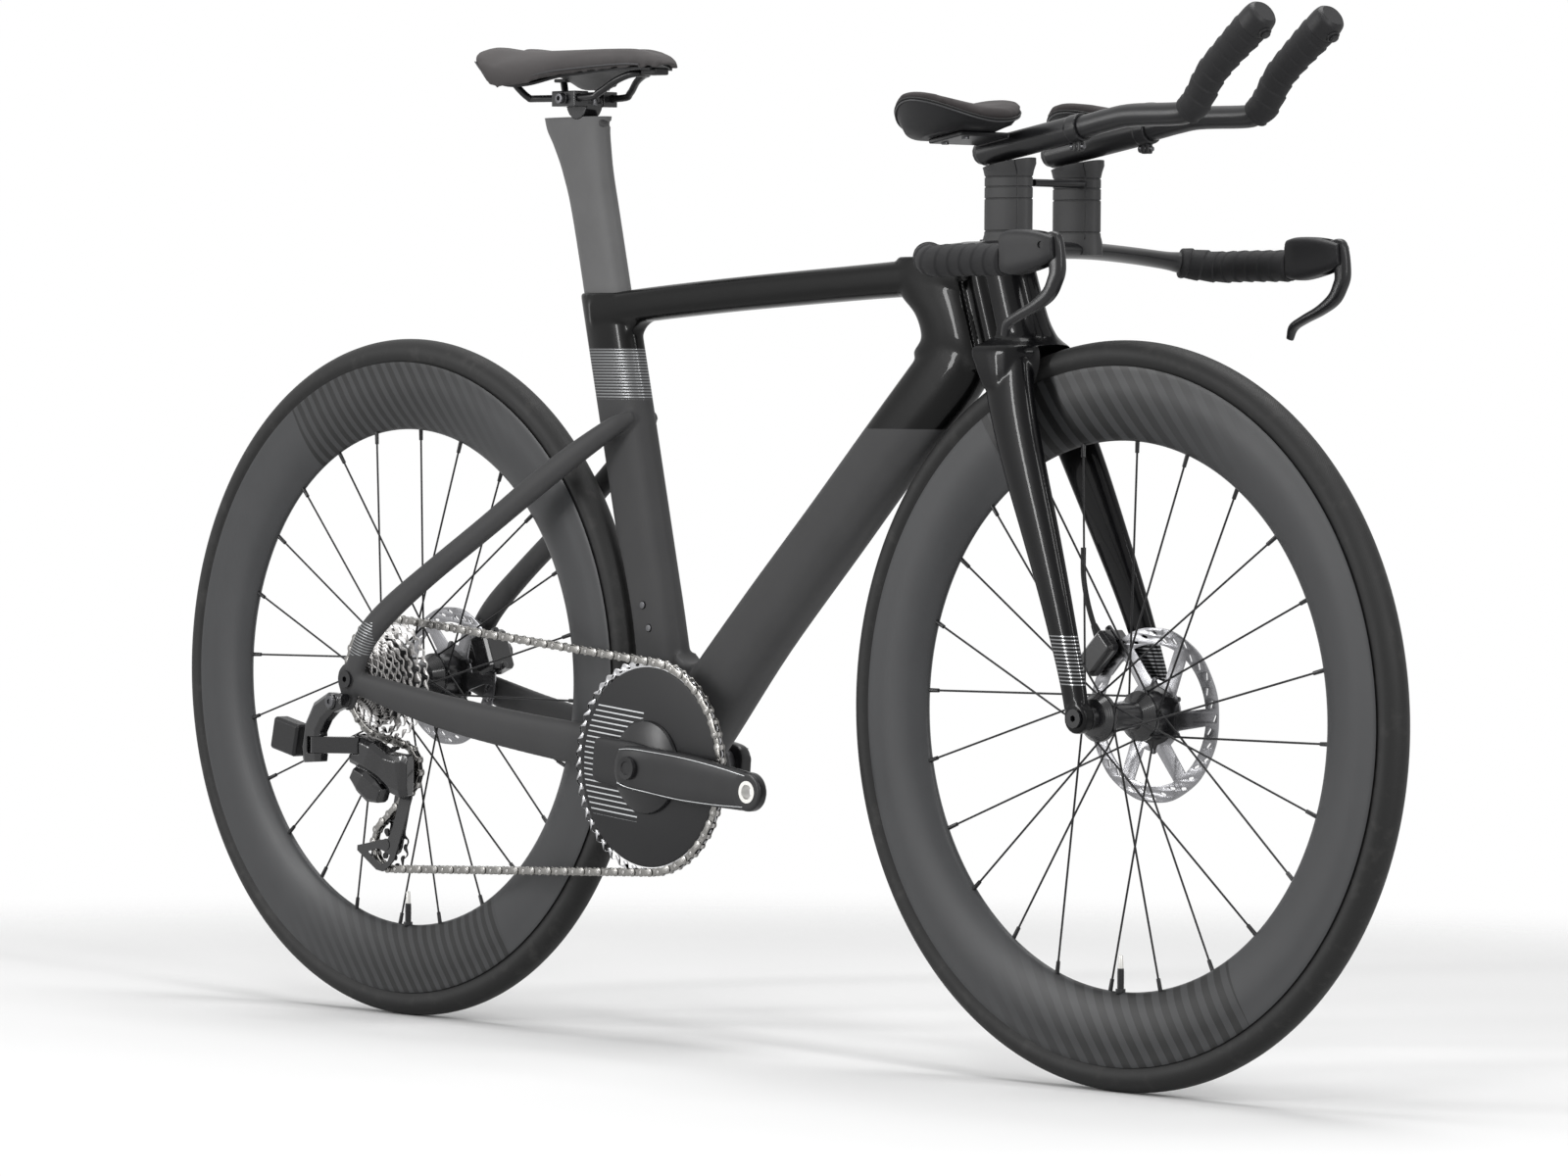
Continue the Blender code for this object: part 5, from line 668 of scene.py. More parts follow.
MATT_PAINT = Finish("matt_paint", (0.010, 0.010, 0.011), 0.46, grain_depth=0.00003, spread=0.10, specular=0.25)
SATIN_ALLOY = Finish("satin_alloy", (0.008, 0.008, 0.009), 0.32, specular=0.35, grain_depth=0.00002, spread=0.10)
MOULDED = Finish(
    "moulded_plastic", (0.008, 0.008, 0.009), 0.50, specular=0.3, grain_scale=2200.0, grain_depth=0.00007
)
BRIGHT_STEEL = Finish(
    "bright_steel", (0.46, 0.46, 0.47), 0.24, metallic=1.0, grain_depth=0.00001, mottle=0.10, spread=0.14
)
DARK_STEEL = Finish("dark_steel", (0.10, 0.10, 0.105), 0.32, metallic=0.9, grain_depth=0.00002, spread=0.14)
SILVER_LINE = Finish("silver_line", (0.55, 0.56, 0.57), 0.28, metallic=0.9, grain_depth=0.00001, mottle=0.08)
RUBBER_BLACK = Finish("hose_rubber", (0.007, 0.007, 0.007), 0.55, specular=0.3, grain_depth=0.00005)
# The cup's edge line, darkened as painted shade of the gap between pad and cup.
CUP_EDGE_AND_GAP_SHADE = Finish("cup_edge", (0.030, 0.030, 0.032), 0.45, grain_depth=0.00004)
GRIP_TAPE = Tape("grip_tape", (0.014, 0.014, 0.015), 0.70, mottle=0.25, spread=0.12, specular=0.25)
PAD_FOAM = Foam("pad_foam", (0.008, 0.008, 0.009), 0.80, mottle=0.25, specular=0.2)
SADDLE_COVER = Cover("saddle_cover", (0.0045, 0.0044, 0.0044), 0.50, mottle=0.20, specular=0.09)
STITCH = Finish("stitching", (0.045, 0.045, 0.048), 0.75, grain_depth=0.00006)
CLEAN_CHAIN = Finish(
    "chain_plates", (0.22, 0.215, 0.205), 0.30, metallic=1.0, grain_depth=0.00001, mottle=0.16, mottle_scale=320.0,
    spread=0.22,
)
CHAIN_PINS = Finish(
    "chain_pins", (0.42, 0.41, 0.40), 0.24, metallic=1.0, grain_depth=0.00001, mottle=0.12, mottle_scale=500.0
)


# Making shapes


@dataclass(frozen=True)
class Station:
    """One section of a skin: a rounded box square to the way the skin runs.

    The length lies along one direction and the width along another.
    """

    centre: Vector
    length_way: Vector
    width_way: Vector
    length: float
    width: float


def level_stations(rows: Iterable[tuple[float, float, float, float, float]]) -> list[Station]:
    """Level sections from rows of (height, rear x, front x, centre y, width).

    Args:
        rows: The rows, from one end to the other.

    Returns:
        The sections.
    """
    stations = []
    for height, rear, front, side, width in rows:
        centre = Vector(((rear + front) / 2, side, height))
        stations.append(Station(centre, FORWARD, ACROSS, front - rear, width))
    return stations


def path_stations(rows: Iterable[tuple[Sequence[float], float, float]], upright: Vector = ACROSS) -> list[Station]:
    """Sections square to a path, from rows of (centre, depth in the path's plane, width).

    Args:
        rows: The rows, from one end to the other.
        upright: The direction that the widths keep to.

    Returns:
        The sections.
    """
    rows = list(rows)
    centres = [Vector(row[0]) for row in rows]
    stations = []
    for index, (_, depth, width) in enumerate(rows):
        before, after = centres[max(index - 1, 0)], centres[min(index + 1, len(rows) - 1)]
        tangent = (after - before).normalized()
        side = (upright - tangent * upright.dot(tangent)).normalized()
        stations.append(Station(centres[index], side.cross(tangent), side, depth, width))
    return stations


def eased(rows: np.ndarray, steps: int) -> np.ndarray:
    """A smooth course through rows of numbers, with this many steps between two of them.

    Args:
        rows: The rows of numbers.
        steps: Steps between two rows.

    Returns:
        The finer rows.
    """
    if steps < 2 or len(rows) < 3:
        return rows
    padded = np.vstack([2 * rows[0] - rows[1], rows, 2 * rows[-1] - rows[-2]])
    out = []
    for index in range(1, len(padded) - 2):
        a, b, c, d = padded[index - 1 : index + 3]
        for step in range(steps):
            t = step / steps
            out.append(
                0.5 * (2 * b + (c - a) * t + (2 * a - 5 * b + 4 * c - d) * t**2 + (3 * b - 3 * c + d - a) * t**3)
            )
    out.append(rows[-1])
    return np.array(out)


def eased_path(points: Sequence[Sequence[float]], steps: int) -> list[Vector]:
    """A smooth curve through the points."""
    return [Vector(row) for row in eased(np.array([tuple(point) for point in points], float), steps)]


def spin(count: int) -> list[float]:
    """Equal steps of angle round one turn."""
    return [2 * math.pi * index / count for index in range(count)]


def polar(centre: Flat, radius: float, turn: float) -> Flat:
    """The point at a radius and an angle from a centre, in the bicycle's plane."""
    return (centre[0] + radius * math.cos(turn), centre[1] + radius * math.sin(turn))


def span(side: Side, near: float, far: float) -> list[float]:
    """Two places across the bicycle on one side, the lower first."""
    return sorted((side.value * near, side.value * far))


def ring_points(centre: Flat, radius: float, count: int) -> list[Flat]:
    """Points round a circle in the bicycle's plane."""
    return [polar(centre, radius, turn) for turn in spin(count)]


def arc_points(centre: Flat, radius: float, start: float, end: float, count: int) -> list[Flat]:
    """Points along an arc, both ends included."""
    turns = (start + (end - start) * index / (count - 1) for index in range(count))
    return [polar(centre, radius, turn) for turn in turns]


def capsule_points(start: Flat, end: Flat, first: float, second: float, count: int) -> list[Flat]:
    """The outline round two circles, with a half round at each end.

    Args:
        start: Centre of the first circle.
        end: Centre of the second circle.
        first: Radius of the first circle.
        second: Radius of the second circle.
        count: Points round each end.

    Returns:
        The outline.
    """
    heading = math.atan2(end[1] - start[1], end[0] - start[0])
    near = arc_points(start, first, heading + math.pi / 2, heading + 3 * math.pi / 2, count)
    return near + arc_points(end, second, heading - math.pi / 2, heading + math.pi / 2, count)


class Forge:
    """Makes meshes with Blender's tools and gives each its finish."""

    def __init__(self) -> None:
        """Starts a collection for the made pieces."""
        self.shelf = bpy.data.collections.new("visual")
        bpy.context.scene.collection.children.link(self.shelf)

    def land(self, name: str, bm: bmesh.types.BMesh) -> Object:
        """Turns a bmesh into an object on the shelf, and frees it.

        Args:
            name: The object's name.
            bm: The mesh; it is freed.

        Returns:
            The object.
        """
        mesh = bpy.data.meshes.new(name)
        bm.to_mesh(mesh)
        bm.free()
        obj = bpy.data.objects.new(name, mesh)
        self.shelf.objects.link(obj)
        return obj

    @staticmethod
    def discard(obj: Object) -> None:
        """Removes an object with its mesh.

        Args:
            obj: The object, which nothing else uses.
        """
        mesh = obj.data
        bpy.data.objects.remove(obj)
        bpy.data.meshes.remove(mesh)

    @staticmethod
    def smooth(obj: Object) -> Object:
        """Shades every face of an object smooth.

        Args:
            obj: The object.

        Returns:
            The same object.
        """
        for face in obj.data.polygons:
            face.use_smooth = True
        return obj

    def melt(self, obj: Object, voxel: float, rounds: int = 0) -> Object:
        """Melts an object's overlapping solids into one skin, and eases it by rounds of smoothing.

        Args:
            obj: The object.
            voxel: Size of the melted cells.
            rounds: Rounds of smoothing.

        Returns:
            The same object.
        """
        remesh = obj.modifiers.new("melt", "REMESH")
        remesh.mode = "VOXEL"
        remesh.voxel_size = voxel
        if rounds:
            obj.modifiers.new("ease", "SMOOTH").iterations = rounds
        return self.settle(obj)

    def keep(self, name: str, bm: bmesh.types.BMesh, finish: Optional[Finish] = None, sharp: float = SHARP) -> Object:
        """Turns a bmesh into an object that is smooth except over edges sharper than an angle.

        Args:
            name: The object's name.
            bm: The mesh; it is freed.
            finish: The finish, if it has one already.
            sharp: Degrees beyond which an edge stays crisp.

        Returns:
            The object.
        """
        bmesh.ops.recalc_face_normals(bm, faces=bm.faces)
        for face in bm.faces:
            face.smooth = True
        for edge in bm.edges:
            if len(edge.link_faces) == 2 and edge.calc_face_angle(0.0) > math.radians(sharp):
                edge.smooth = False
        return self.dressed(self.land(name, bm), finish)

    @staticmethod
    def dressed(obj: Object, finish: Optional[Finish]) -> Object:
        """Gives an object one finish all over.

        Args:
            obj: The object.
            finish: The finish, or nothing to leave it as it is.

        Returns:
            The same object.
        """
        if finish is not None:
            obj.data.materials.clear()
            obj.data.materials.append(finish.material())
        return obj

    def settle(self, obj: Object) -> Object:
        """Applies the object's modifiers to its mesh.

        Args:
            obj: The object.

        Returns:
            The same object.
        """
        graph = bpy.context.evaluated_depsgraph_get()
        graph.update()
        mesh = bpy.data.meshes.new_from_object(obj.evaluated_get(graph), depsgraph=graph)
        materials = list(obj.data.materials)
        obj.modifiers.clear()
        obj.data = mesh
        obj.data.materials.clear()
        for material in materials:
            obj.data.materials.append(material)
        return obj

    def skin(
        self,
        name: str,
        stations: Sequence[Station],
        finish: Optional[Finish] = None,
        squareness: float = 2.3,
        taper: float = 0.0,
        around: int = 40,
        steps: int = 5,
        sharp: float = SHARP,
    ) -> Object:
        """Draws a smooth closed skin through rounded sections.

        Args:
            name: The object's name.
            stations: The sections, from one end to the other.
            finish: Its finish.
            squareness: 2 for ellipses, more for rounded boxes.
            taper: How far the -length side is drawn in.
            around: Points round each section.
            steps: Sections made between two stations.
            sharp: Degrees beyond which an edge stays crisp.

        Returns:
            The object.
        """
        rows = [[*s.centre, *s.length_way, *s.width_way, s.length, s.width] for s in stations]
        rows = eased(np.array(rows, float), steps)
        bm = bmesh.new()
        rings = []
        for row in rows:
            centre, along, across = (Vector(row[i : i + 3]) for i in (0, 3, 6))
            ring = []
            for index in range(around):
                turn = 2 * math.pi * (index + 0.5) / around
                u = math.copysign(abs(math.cos(turn)) ** (2 / squareness), math.cos(turn))
                v = math.copysign(abs(math.sin(turn)) ** (2 / squareness), math.sin(turn))
                v *= 1 - taper * (1 - u) / 2
                ring.append(bm.verts.new(centre + along * (row[9] / 2 * u) + across * (row[10] / 2 * v)))
            rings.append(ring)
        self.bridge(bm, rings)
        return self.keep(name, bm, finish, sharp)

    @staticmethod
    def bridge(bm: bmesh.types.BMesh, rings: Sequence[Sequence[bmesh.types.BMVert]]) -> None:
        """Joins rings of equal count and caps the two ends.

        Args:
            bm: The mesh that the rings are part of.
            rings: The rings, from one end to the other.
        """
        for low, high in zip(rings, rings[1:]):
            for i in range(len(low)):
                j = (i + 1) % len(low)
                bm.faces.new((low[i], low[j], high[j], high[i]))
        bm.faces.new(rings[0])
        bm.faces.new(rings[-1])

    def lathe(
        self, name: str, profile: Sequence[Flat], centre: Flat, finish: Optional[Finish] = None, steps: int = 96,
        sharp: float = 30.0,
    ) -> Object:
        """Turns a profile of (radius, side place) about an axis across the bicycle.

        Args:
            name: The object's name.
            profile: Its outline as (radius, side place).
            centre: Where the axis crosses the bicycle's plane.
            finish: Its finish, if it has one already.
            steps: Sections round the turn.
            sharp: Degrees beyond which an edge stays crisp.

        Returns:
            The object.
        """
        bm = bmesh.new()
        rings = []
        for turn in spin(steps):
            x, z = math.cos(turn), math.sin(turn)
            rings.append([bm.verts.new((centre[0] + r * x, y, centre[1] + r * z)) for r, y in profile])
        for near, far in zip(rings, rings[1:] + rings[:1]):
            for i in range(len(profile)):
                j = (i + 1) % len(profile)
                if near[i].co != near[j].co:
                    bm.faces.new((near[i], near[j], far[j], far[i]))
        bmesh.ops.remove_doubles(bm, verts=bm.verts, dist=1e-7)
        return self.keep(name, bm, finish, sharp)

    @staticmethod
    def rounded(bm: bmesh.types.BMesh, edges: Sequence[bmesh.types.BMEdge], bevel: float) -> None:
        """Rounds edges by a bevel of three steps."""
        bmesh.ops.bevel(bm, geom=edges, offset=bevel, segments=3, profile=0.6, affect="EDGES")

    def rod(
        self, name: str, start: Sequence[float], end: Sequence[float], radius: float, finish: Optional[Finish] = None,
        end_radius: Optional[float] = None, count: int = 32, bevel: float = 0.0,
    ) -> Object:
        """A cylinder or cone between two points, with its end edges rounded where a bevel is given.

        Args:
            name: The object's name.
            start: The middle of one end.
            end: The middle of the other end.
            radius: Its radius.
            finish: Its finish, if it has one already.
            end_radius: Its radius at the far end, where that differs.
            count: Sides round it.
            bevel: How far its edges are rounded.

        Returns:
            The object.
        """
        start, end = Vector(start), Vector(end)
        way = end - start
        bm = bmesh.new()
        bmesh.ops.create_cone(
            bm, cap_ends=True, segments=count, radius1=radius, radius2=radius if end_radius is None else end_radius,
            depth=way.length,
            matrix=Matrix.Translation((start + end) / 2) @ way.to_track_quat("Z", "Y").to_matrix().to_4x4(),
        )
        if bevel:
            self.rounded(bm, [edge for edge in bm.edges if edge.calc_face_angle(0.0) > math.radians(60)], bevel)
        return self.keep(name, bm, finish)

    def cross_rod(
        self, name: str, centre: Flat, radius: float, low: float, high: float, finish: Optional[Finish] = None,
        count: int = 40, bevel: float = 0.0004,
    ) -> Object:
        """A rounded-edge cylinder across the bicycle.

        Args:
            name: The object's name.
            centre: Its centre in the bicycle's plane.
            radius: Its radius.
            low: The side place of its right face.
            high: The side place of its left face.
            finish: Its finish, if it has one already.
            count: Sides round it.
            bevel: How far its edges are rounded.

        Returns:
            The object.
        """
        return self.rod(
            name, (centre[0], low, centre[1]), (centre[0], high, centre[1]), radius, finish, None, count, bevel
        )

    def block(
        self, name: str, low: Sequence[float], high: Sequence[float], finish: Optional[Finish] = None,
        bevel: float = 0.001
    ) -> Object:
        """A box between two corners with rounded edges.

        Args:
            name: The object's name.
            low: Its lowest corner.
            high: Its highest corner.
            finish: Its finish, if it has one already.
            bevel: How far its edges are rounded.

        Returns:
            The object.
        """
        low, high = Vector(low), Vector(high)
        bm = bmesh.new()
        size = Matrix.Diagonal((*(high - low), 1))
        bmesh.ops.create_cube(bm, size=1.0, matrix=Matrix.Translation((low + high) / 2) @ size)
        self.rounded(bm, bm.edges[:], bevel)
        return self.keep(name, bm, finish)

    def tube(
        self, name: str, points: Sequence[Sequence[float]], radius: float, finish: Optional[Finish] = None,
        steps: int = 1, sides: int = 6, sizes: Optional[Sequence[float]] = None,
    ) -> Object:
        """A round tube along a path, whose radius may change by the sizes.

        Args:
            name: The object's name.
            points: Its centre line.
            radius: Its radius.
            finish: Its finish, if it has one already.
            steps: Steps between two points.
            sides: How finely it is rounded.
            sizes: A share of the radius for each point.

        Returns:
            The object.
        """
        path = eased_path(points, steps)
        data = bpy.data.curves.new(name, "CURVE")
        data.dimensions = "3D"
        data.bevel_depth = radius
        data.bevel_resolution = sides
        data.use_fill_caps = True
        spline = data.splines.new("POLY")
        spline.points.add(len(path) - 1)
        for index, (target, place) in enumerate(zip(spline.points, path)):
            target.co = (*place, 1)
            if sizes is not None:
                target.radius = sizes[min(index // steps, len(sizes) - 1)]
        return self.solid(name, data, finish)

    def plate(
        self, name: str, outline: Sequence[Flat], low: float, high: float, finish: Optional[Finish] = None,
        holes: Sequence[Sequence[Flat]] = (), edge: float = 0.0002,
    ) -> Object:
        """A flat plate in the bicycle's plane between two side places, with holes and eased edges.

        Args:
            name: The object's name.
            outline: Its outline in the bicycle's plane.
            low: The side place of its right face.
            high: The side place of its left face.
            finish: Its finish, if it has one already.
            holes: The outlines of its holes.
            edge: How far its edges are eased.

        Returns:
            The object.
        """
        data = bpy.data.curves.new(name, "CURVE")
        data.dimensions = "2D"
        data.fill_mode = "BOTH"
        data.extrude = (high - low) / 2 - edge
        data.bevel_depth = edge
        data.bevel_resolution = 1
        data.offset = -edge
        for loop in (outline, *holes):
            spline = data.splines.new("POLY")
            spline.use_cyclic_u = True
            spline.points.add(len(loop) - 1)
            for target, (x, z) in zip(spline.points, loop):
                target.co = (x, z, 0, 1)
        obj = self.solid(name, data, finish)
        obj.data.transform(Matrix.Translation((0, (low + high) / 2, 0)) @ Matrix.Rotation(math.radians(90), 4, "X"))
        return obj

    def solid(self, name: str, data: bpy.types.Curve, finish: Optional[Finish]) -> Object:
        """The mesh of a curve, as an object of its own.

        Args:
            name: The object's name.
            data: The curve; it is removed.
            finish: Its finish, if it has one already.

        Returns:
            The object.
        """
        guide = bpy.data.objects.new(f"{name}_guide", data)
        self.shelf.objects.link(guide)
        graph = bpy.context.evaluated_depsgraph_get()
        mesh = bpy.data.meshes.new_from_object(guide.evaluated_get(graph), depsgraph=graph)
        bpy.data.objects.remove(guide)
        bpy.data.curves.remove(data)
        bm = bmesh.new()
        bm.from_mesh(mesh)
        bpy.data.meshes.remove(mesh)
        bmesh.ops.remove_doubles(bm, verts=bm.verts, dist=1e-6)
        return self.keep(name, bm, finish)

    def joined(self, name: str, pieces: Sequence[Object], finish: Optional[Finish] = None) -> Object:
        """Puts several pieces into one object, each face keeping its own material.

        Args:
            name: The object's name.
            pieces: The pieces; they are removed.
            finish: One finish all over, in place of the pieces' own.

        Returns:
            The object.
        """
        bm = bmesh.new()
        materials: list[bpy.types.Material] = []
        for piece in pieces:
            table = []
            for material in piece.data.materials:
                if material not in materials:
                    materials.append(material)
                table.append(materials.index(material))
            first = len(bm.faces)
            bm.from_mesh(piece.data)
            bm.faces.ensure_lookup_table()
            for face in bm.faces[first:]:
                face.material_index = table[face.material_index] if face.material_index < len(table) else 0
            self.discard(piece)
        obj = self.land(name, bm)
        for material in materials:
            obj.data.materials.append(material)
        return self.dressed(obj, finish)

    def cut(self, obj: Object, cutters: Sequence[Object], solver: str = "EXACT") -> Object:
        """Cuts the cutters out of an object and removes them.

        Args:
            obj: The object.
            cutters: What is cut out; the cutters are removed.
            solver: Blender's name of the solver.

        Returns:
            The same object.
        """
        for cutter in cutters:
            modifier = obj.modifiers.new("cut", "BOOLEAN")
            modifier.operation = "DIFFERENCE"
            modifier.solver = solver
            modifier.object = cutter
        self.settle(obj)
        for cutter in cutters:
            self.discard(cutter)
        self.smooth(obj).data.set_sharp_from_angle(angle=math.radians(SHARP))
        return obj

    def fused(
        self, name: str, pieces: Sequence[Object], voxel: float, rounds: int, finish: Optional[Finish] = None
    ) -> Object:
        """Melts overlapping pieces into one moulding, with its inner corners filleted by smoothing."""
        obj = self.melt(self.joined(name, pieces), voxel, rounds)
        return self.dressed(self.smooth(obj), finish)

    def softened(self, name: str, node: Object, voxel: float, rounds: int, finish: Finish) -> Object:
        """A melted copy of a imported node, for a moulded or forged piece with soft edges.

        Args:
            name: The object's name.
            node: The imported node, which stays as it is.
            voxel: Size of the melted cells.
            rounds: Rounds of smoothing.
            finish: Its finish.

        Returns:
            The object.
        """
        copy = bpy.data.objects.new(name, node.data.copy())
        self.shelf.objects.link(copy)
        copy.data.materials.clear()
        return self.fused(name, [copy], voxel, rounds, finish)


class Piece:
    """Ties finished objects to bodies and nodes, and logs them."""

    @staticmethod
    def ride(obj: Object, body: Body, *nodes: str) -> None:
        """Lets an object move with a body, and hides the nodes that it stands for.

        Args:
            obj: The object.
            body: The body that it moves with.
            nodes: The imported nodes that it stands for.
        """
        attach(obj, body.value)
        if nodes:
            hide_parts(*nodes)
        LOG.info("%s rides on %s, %d faces", obj.name, body.value, len(obj.data.polygons))


# Sizes shared by several pieces


@dataclass(frozen=True)
class Layout:
    """Where the bicycle's main points lie."""

    wheelbase: float = 0.9917
    axle_z: float = 0.340
    bb_ahead: float = 0.4065
    bb_z: float = 0.2692
    bb_half: float = 0.0365
    seat_angle: float = math.radians(76.9)
    seat_axis: float = -0.0067
    head_angle: float = math.radians(72)
    rake: float = 0.0450
    head_low: float = 0.6700
    head_high: float = 0.7420
    bar_z: float = 0.7620
    bar_reach: float = 0.0790
    axle_hole: float = 0.0063
    post_half: float = 0.0310
    post_width: float = 0.0230
    down_angle: float = math.radians(44.5)
    rear_room: Flat = (0.350, 0.01925)
    front_room: Flat = (0.3465, 0.0208)

    @property
    def rear_x(self) -> float:
        """X of the rear axle."""
        return -self.wheelbase / 2

    @property
    def front_x(self) -> float:
        """X of the front axle."""
        return self.wheelbase / 2

    @property
    def rear(self) -> Flat:
        """The rear axle."""
        return (self.rear_x, self.axle_z)

    @property
    def front(self) -> Flat:
        """The front axle."""
        return (self.front_x, self.axle_z)

    @property
    def hanger_bolt(self) -> Flat:
        """The bolt that holds the derailleur."""
        return (self.ahead(-0.0040), 0.3180)

    @property
    def seat_bolts(self) -> tuple[Flat, Flat]:
        """The two bolts sunk in the seat tube's right side."""
        return ((self.ahead(0.3625), 0.4230), (self.ahead(0.3715), 0.4010))

    @property
    def bb(self) -> Flat:
        """The crank's axis."""
        return (self.ahead(self.bb_ahead), self.bb_z)

    @property
    def bar_x(self) -> float:
        """X of the base bar's middle."""
        return self.steer_x(self.bar_z) + self.bar_reach

    def ahead(self, distance: float) -> float:
        """X of a point this far ahead of the rear axle."""
        return self.rear_x + distance

    def steer_x(self, height: float) -> float:
        """X of the steering axis at a height."""
        foot = self.front_x - self.rake / math.sin(self.head_angle)
        return foot - (height - self.axle_z) / math.tan(self.head_angle)

    def seat_x(self, height: float) -> float:
        """X of the seat tube's axis at a height."""
        return self.bb[0] + self.seat_axis - (height - self.bb_z) / math.tan(self.seat_angle)

    def on_axis(self, height: float, outward: float = 0.0, along: float = 0.0) -> Vector:
        """A point by the steering axis, moved forward square to it and up along it.

        Args:
            height: A height on the steering axis.
            outward: How far forward, square to the axis.
            along: How far up the axis.

        Returns:
            The point.
        """
        forward = Vector((math.sin(self.head_angle), 0, math.cos(self.head_angle)))
        up = Vector((-math.cos(self.head_angle), 0, math.sin(self.head_angle)))
        return Vector((self.steer_x(height), 0, height)) + forward * outward + up * along


# Wheels


@dataclass(frozen=True)
class WheelSizes:
    """One wheel's sizes, with its hub's profile as (radius, side place) and its two spoke flanges."""

    name: str
    body: Body
    x: float
    shell: tuple[Flat, ...]
    flanges: tuple[Flat, Flat]
    rotor_y: float
    rotor_radius: float
    stripe: float
    tyre_radius: float = 0.340
    tyre_height: float = 0.0137
    tyre_width: float = 0.0285
    bead: float = 0.3124
    rim_edge: float = 0.3165
    rim_nose: float = 0.2492
    rim_width: float = 0.0275
    spokes: int = 24
    spoke_radius: float = 0.0010
    crossing: float = math.radians(56)
    turn: float = math.radians(-3.3)
    carrier: float = 0.0340
    track_width: float = 0.0155
    rotor_thickness: float = 0.0018
    hub_bore: float = 0.0178
    rotor_bore: float = 0.0235


class Wheel:
    """A deep-rimmed wheel with its tyre, spokes, hub, valve and brake disc."""

    def __init__(self, forge: Forge, layout: Layout, sizes: WheelSizes) -> None:
        """Keeps what the wheel is made from.

        Args:
            forge: Makes the meshes.
            layout: The bicycle's main points.
            sizes: This wheel's sizes.
        """
        self.forge = forge
        self.sizes = sizes
        self.centre: Flat = (sizes.x, layout.axle_z)
        self.hub_point: Point = (sizes.x, 0.0, layout.axle_z)

    def spot(self, radius: float, turn: float, side: float) -> Point:
        """A point by its radius, its angle in the wheel's plane and its side place."""
        x, z = polar(self.centre, radius, turn)
        return (x, side, z)

    def tyre(self) -> Object:
        """The tyre: a round casing whose flanks run down into the rim.

        Returns:
            The object.
        """
        s = self.sizes
        middle = s.tyre_radius - s.tyre_height
        turns = [math.radians(value) for value in range(-124, 125, 8)]
        profile = [(middle + s.tyre_height * math.cos(turn), s.tyre_width / 2 * math.sin(turn)) for turn in turns]
        profile = [(s.bead, -0.0106)] + profile + [(s.bead, 0.0106)]
        rubber = Tread(
            f"{s.name}_tread", (0.008, 0.008, 0.008), 0.58, mottle=0.25, spread=0.14, specular=0.30,
            centre=self.hub_point,
        )
        return self.forge.lathe(f"{s.name}_tyre_casing", profile, self.centre, rubber, 320)

    def rim(self) -> Object:
        """The deep rim with a rounded nose.

        Returns:
            Its outermost entries.
        """
        s = self.sizes
        half = s.rim_width / 2
        flank = [
            (s.rim_edge - 0.0010, half - 0.0022), (s.rim_edge, half - 0.0014), (s.rim_edge - 0.0008, half - 0.0004),
            (0.3050, half - 0.0002), (0.2925, half), (0.2790, half - 0.0012), (0.2660, half - 0.0038),
            (0.2565, half - 0.0074), (0.2510, half - 0.0106), (s.rim_nose, 0.0),
        ]
        flank = [(row[0], row[1]) for row in eased(np.array(flank), 3)]
        profile = [(r, -y) for r, y in flank] + [(r, y) for r, y in reversed(flank[:-1])]
        profile += [(0.3122, half - 0.0026), (0.3122, -half + 0.0026)]
        paint = DeepRim(
            f"{s.name}_rim_paint", (0.040, 0.041, 0.043), 0.40, mottle=0.12, specular=0.30, centre=self.hub_point,
            pitch=s.stripe,
        )
        return self.forge.lathe(f"{s.name}_rim_hoop", profile, self.centre, paint, 288, 34.0)

    def valve(self) -> Object:
        """The valve's threaded stem, its ring and its small cap at the wheel's foot.

        Returns:
            The object.
        """
        s = self.sizes
        down = -math.pi / 2
        rows = [
            (0.262, 0.228, 0.0030, SATIN_ALLOY, None, 20, 0.0004),
            (0.2505, 0.2465, 0.0046, SATIN_ALLOY, None, 20, 0.0005),
            (0.2285, 0.2160, 0.0027, BRIGHT_STEEL, 0.0020, 16, 0.0005),
        ]
        for top in (0.2455 - 0.0011 * index for index in range(14)):
            rows.append((top, top - 0.0005, 0.00325, SATIN_ALLOY, None, 20, 0.0))
        rods = [
            self.forge.rod("valve", self.spot(top, down, 0), self.spot(foot, down, 0), *rest) for top, foot,
            *rest in rows
        ]
        return self.forge.joined(f"{s.name}_valve", rods)

    def spokes(self) -> Object:
        """Crossed spokes from both flanges, each with its nipple at the rim.

        Returns:
            The object.
        """
        s = self.sizes
        rods = []
        for index in range(s.spokes):
            side, radius = s.flanges[index % 2]
            turn = 2 * math.pi * index / s.spokes + s.turn
            lead = s.crossing if index // 2 % 2 else -s.crossing
            root_y = side + math.copysign(s.spoke_radius * 1.15, lead)
            root = Vector(self.spot(radius - 0.002, turn + lead, root_y))
            tip = Vector(self.spot(s.rim_nose + 0.003, turn, math.copysign(0.0012, side)))
            way = (tip - root).normalized()
            rods.append(self.forge.rod("spoke", root, tip, s.spoke_radius, MATT_PAINT, count=10))
            rods.append(self.forge.rod("nipple", tip - way * 0.0135, tip, 0.0019, SATIN_ALLOY, 0.0021, 12, 0.0002))
            rods.append(
                self.forge.rod("elbow", root - way * 0.002, root + way * 0.006, 0.0014, SATIN_ALLOY, count=10)
            )
        return self.forge.joined(f"{s.name}_spokes", rods)

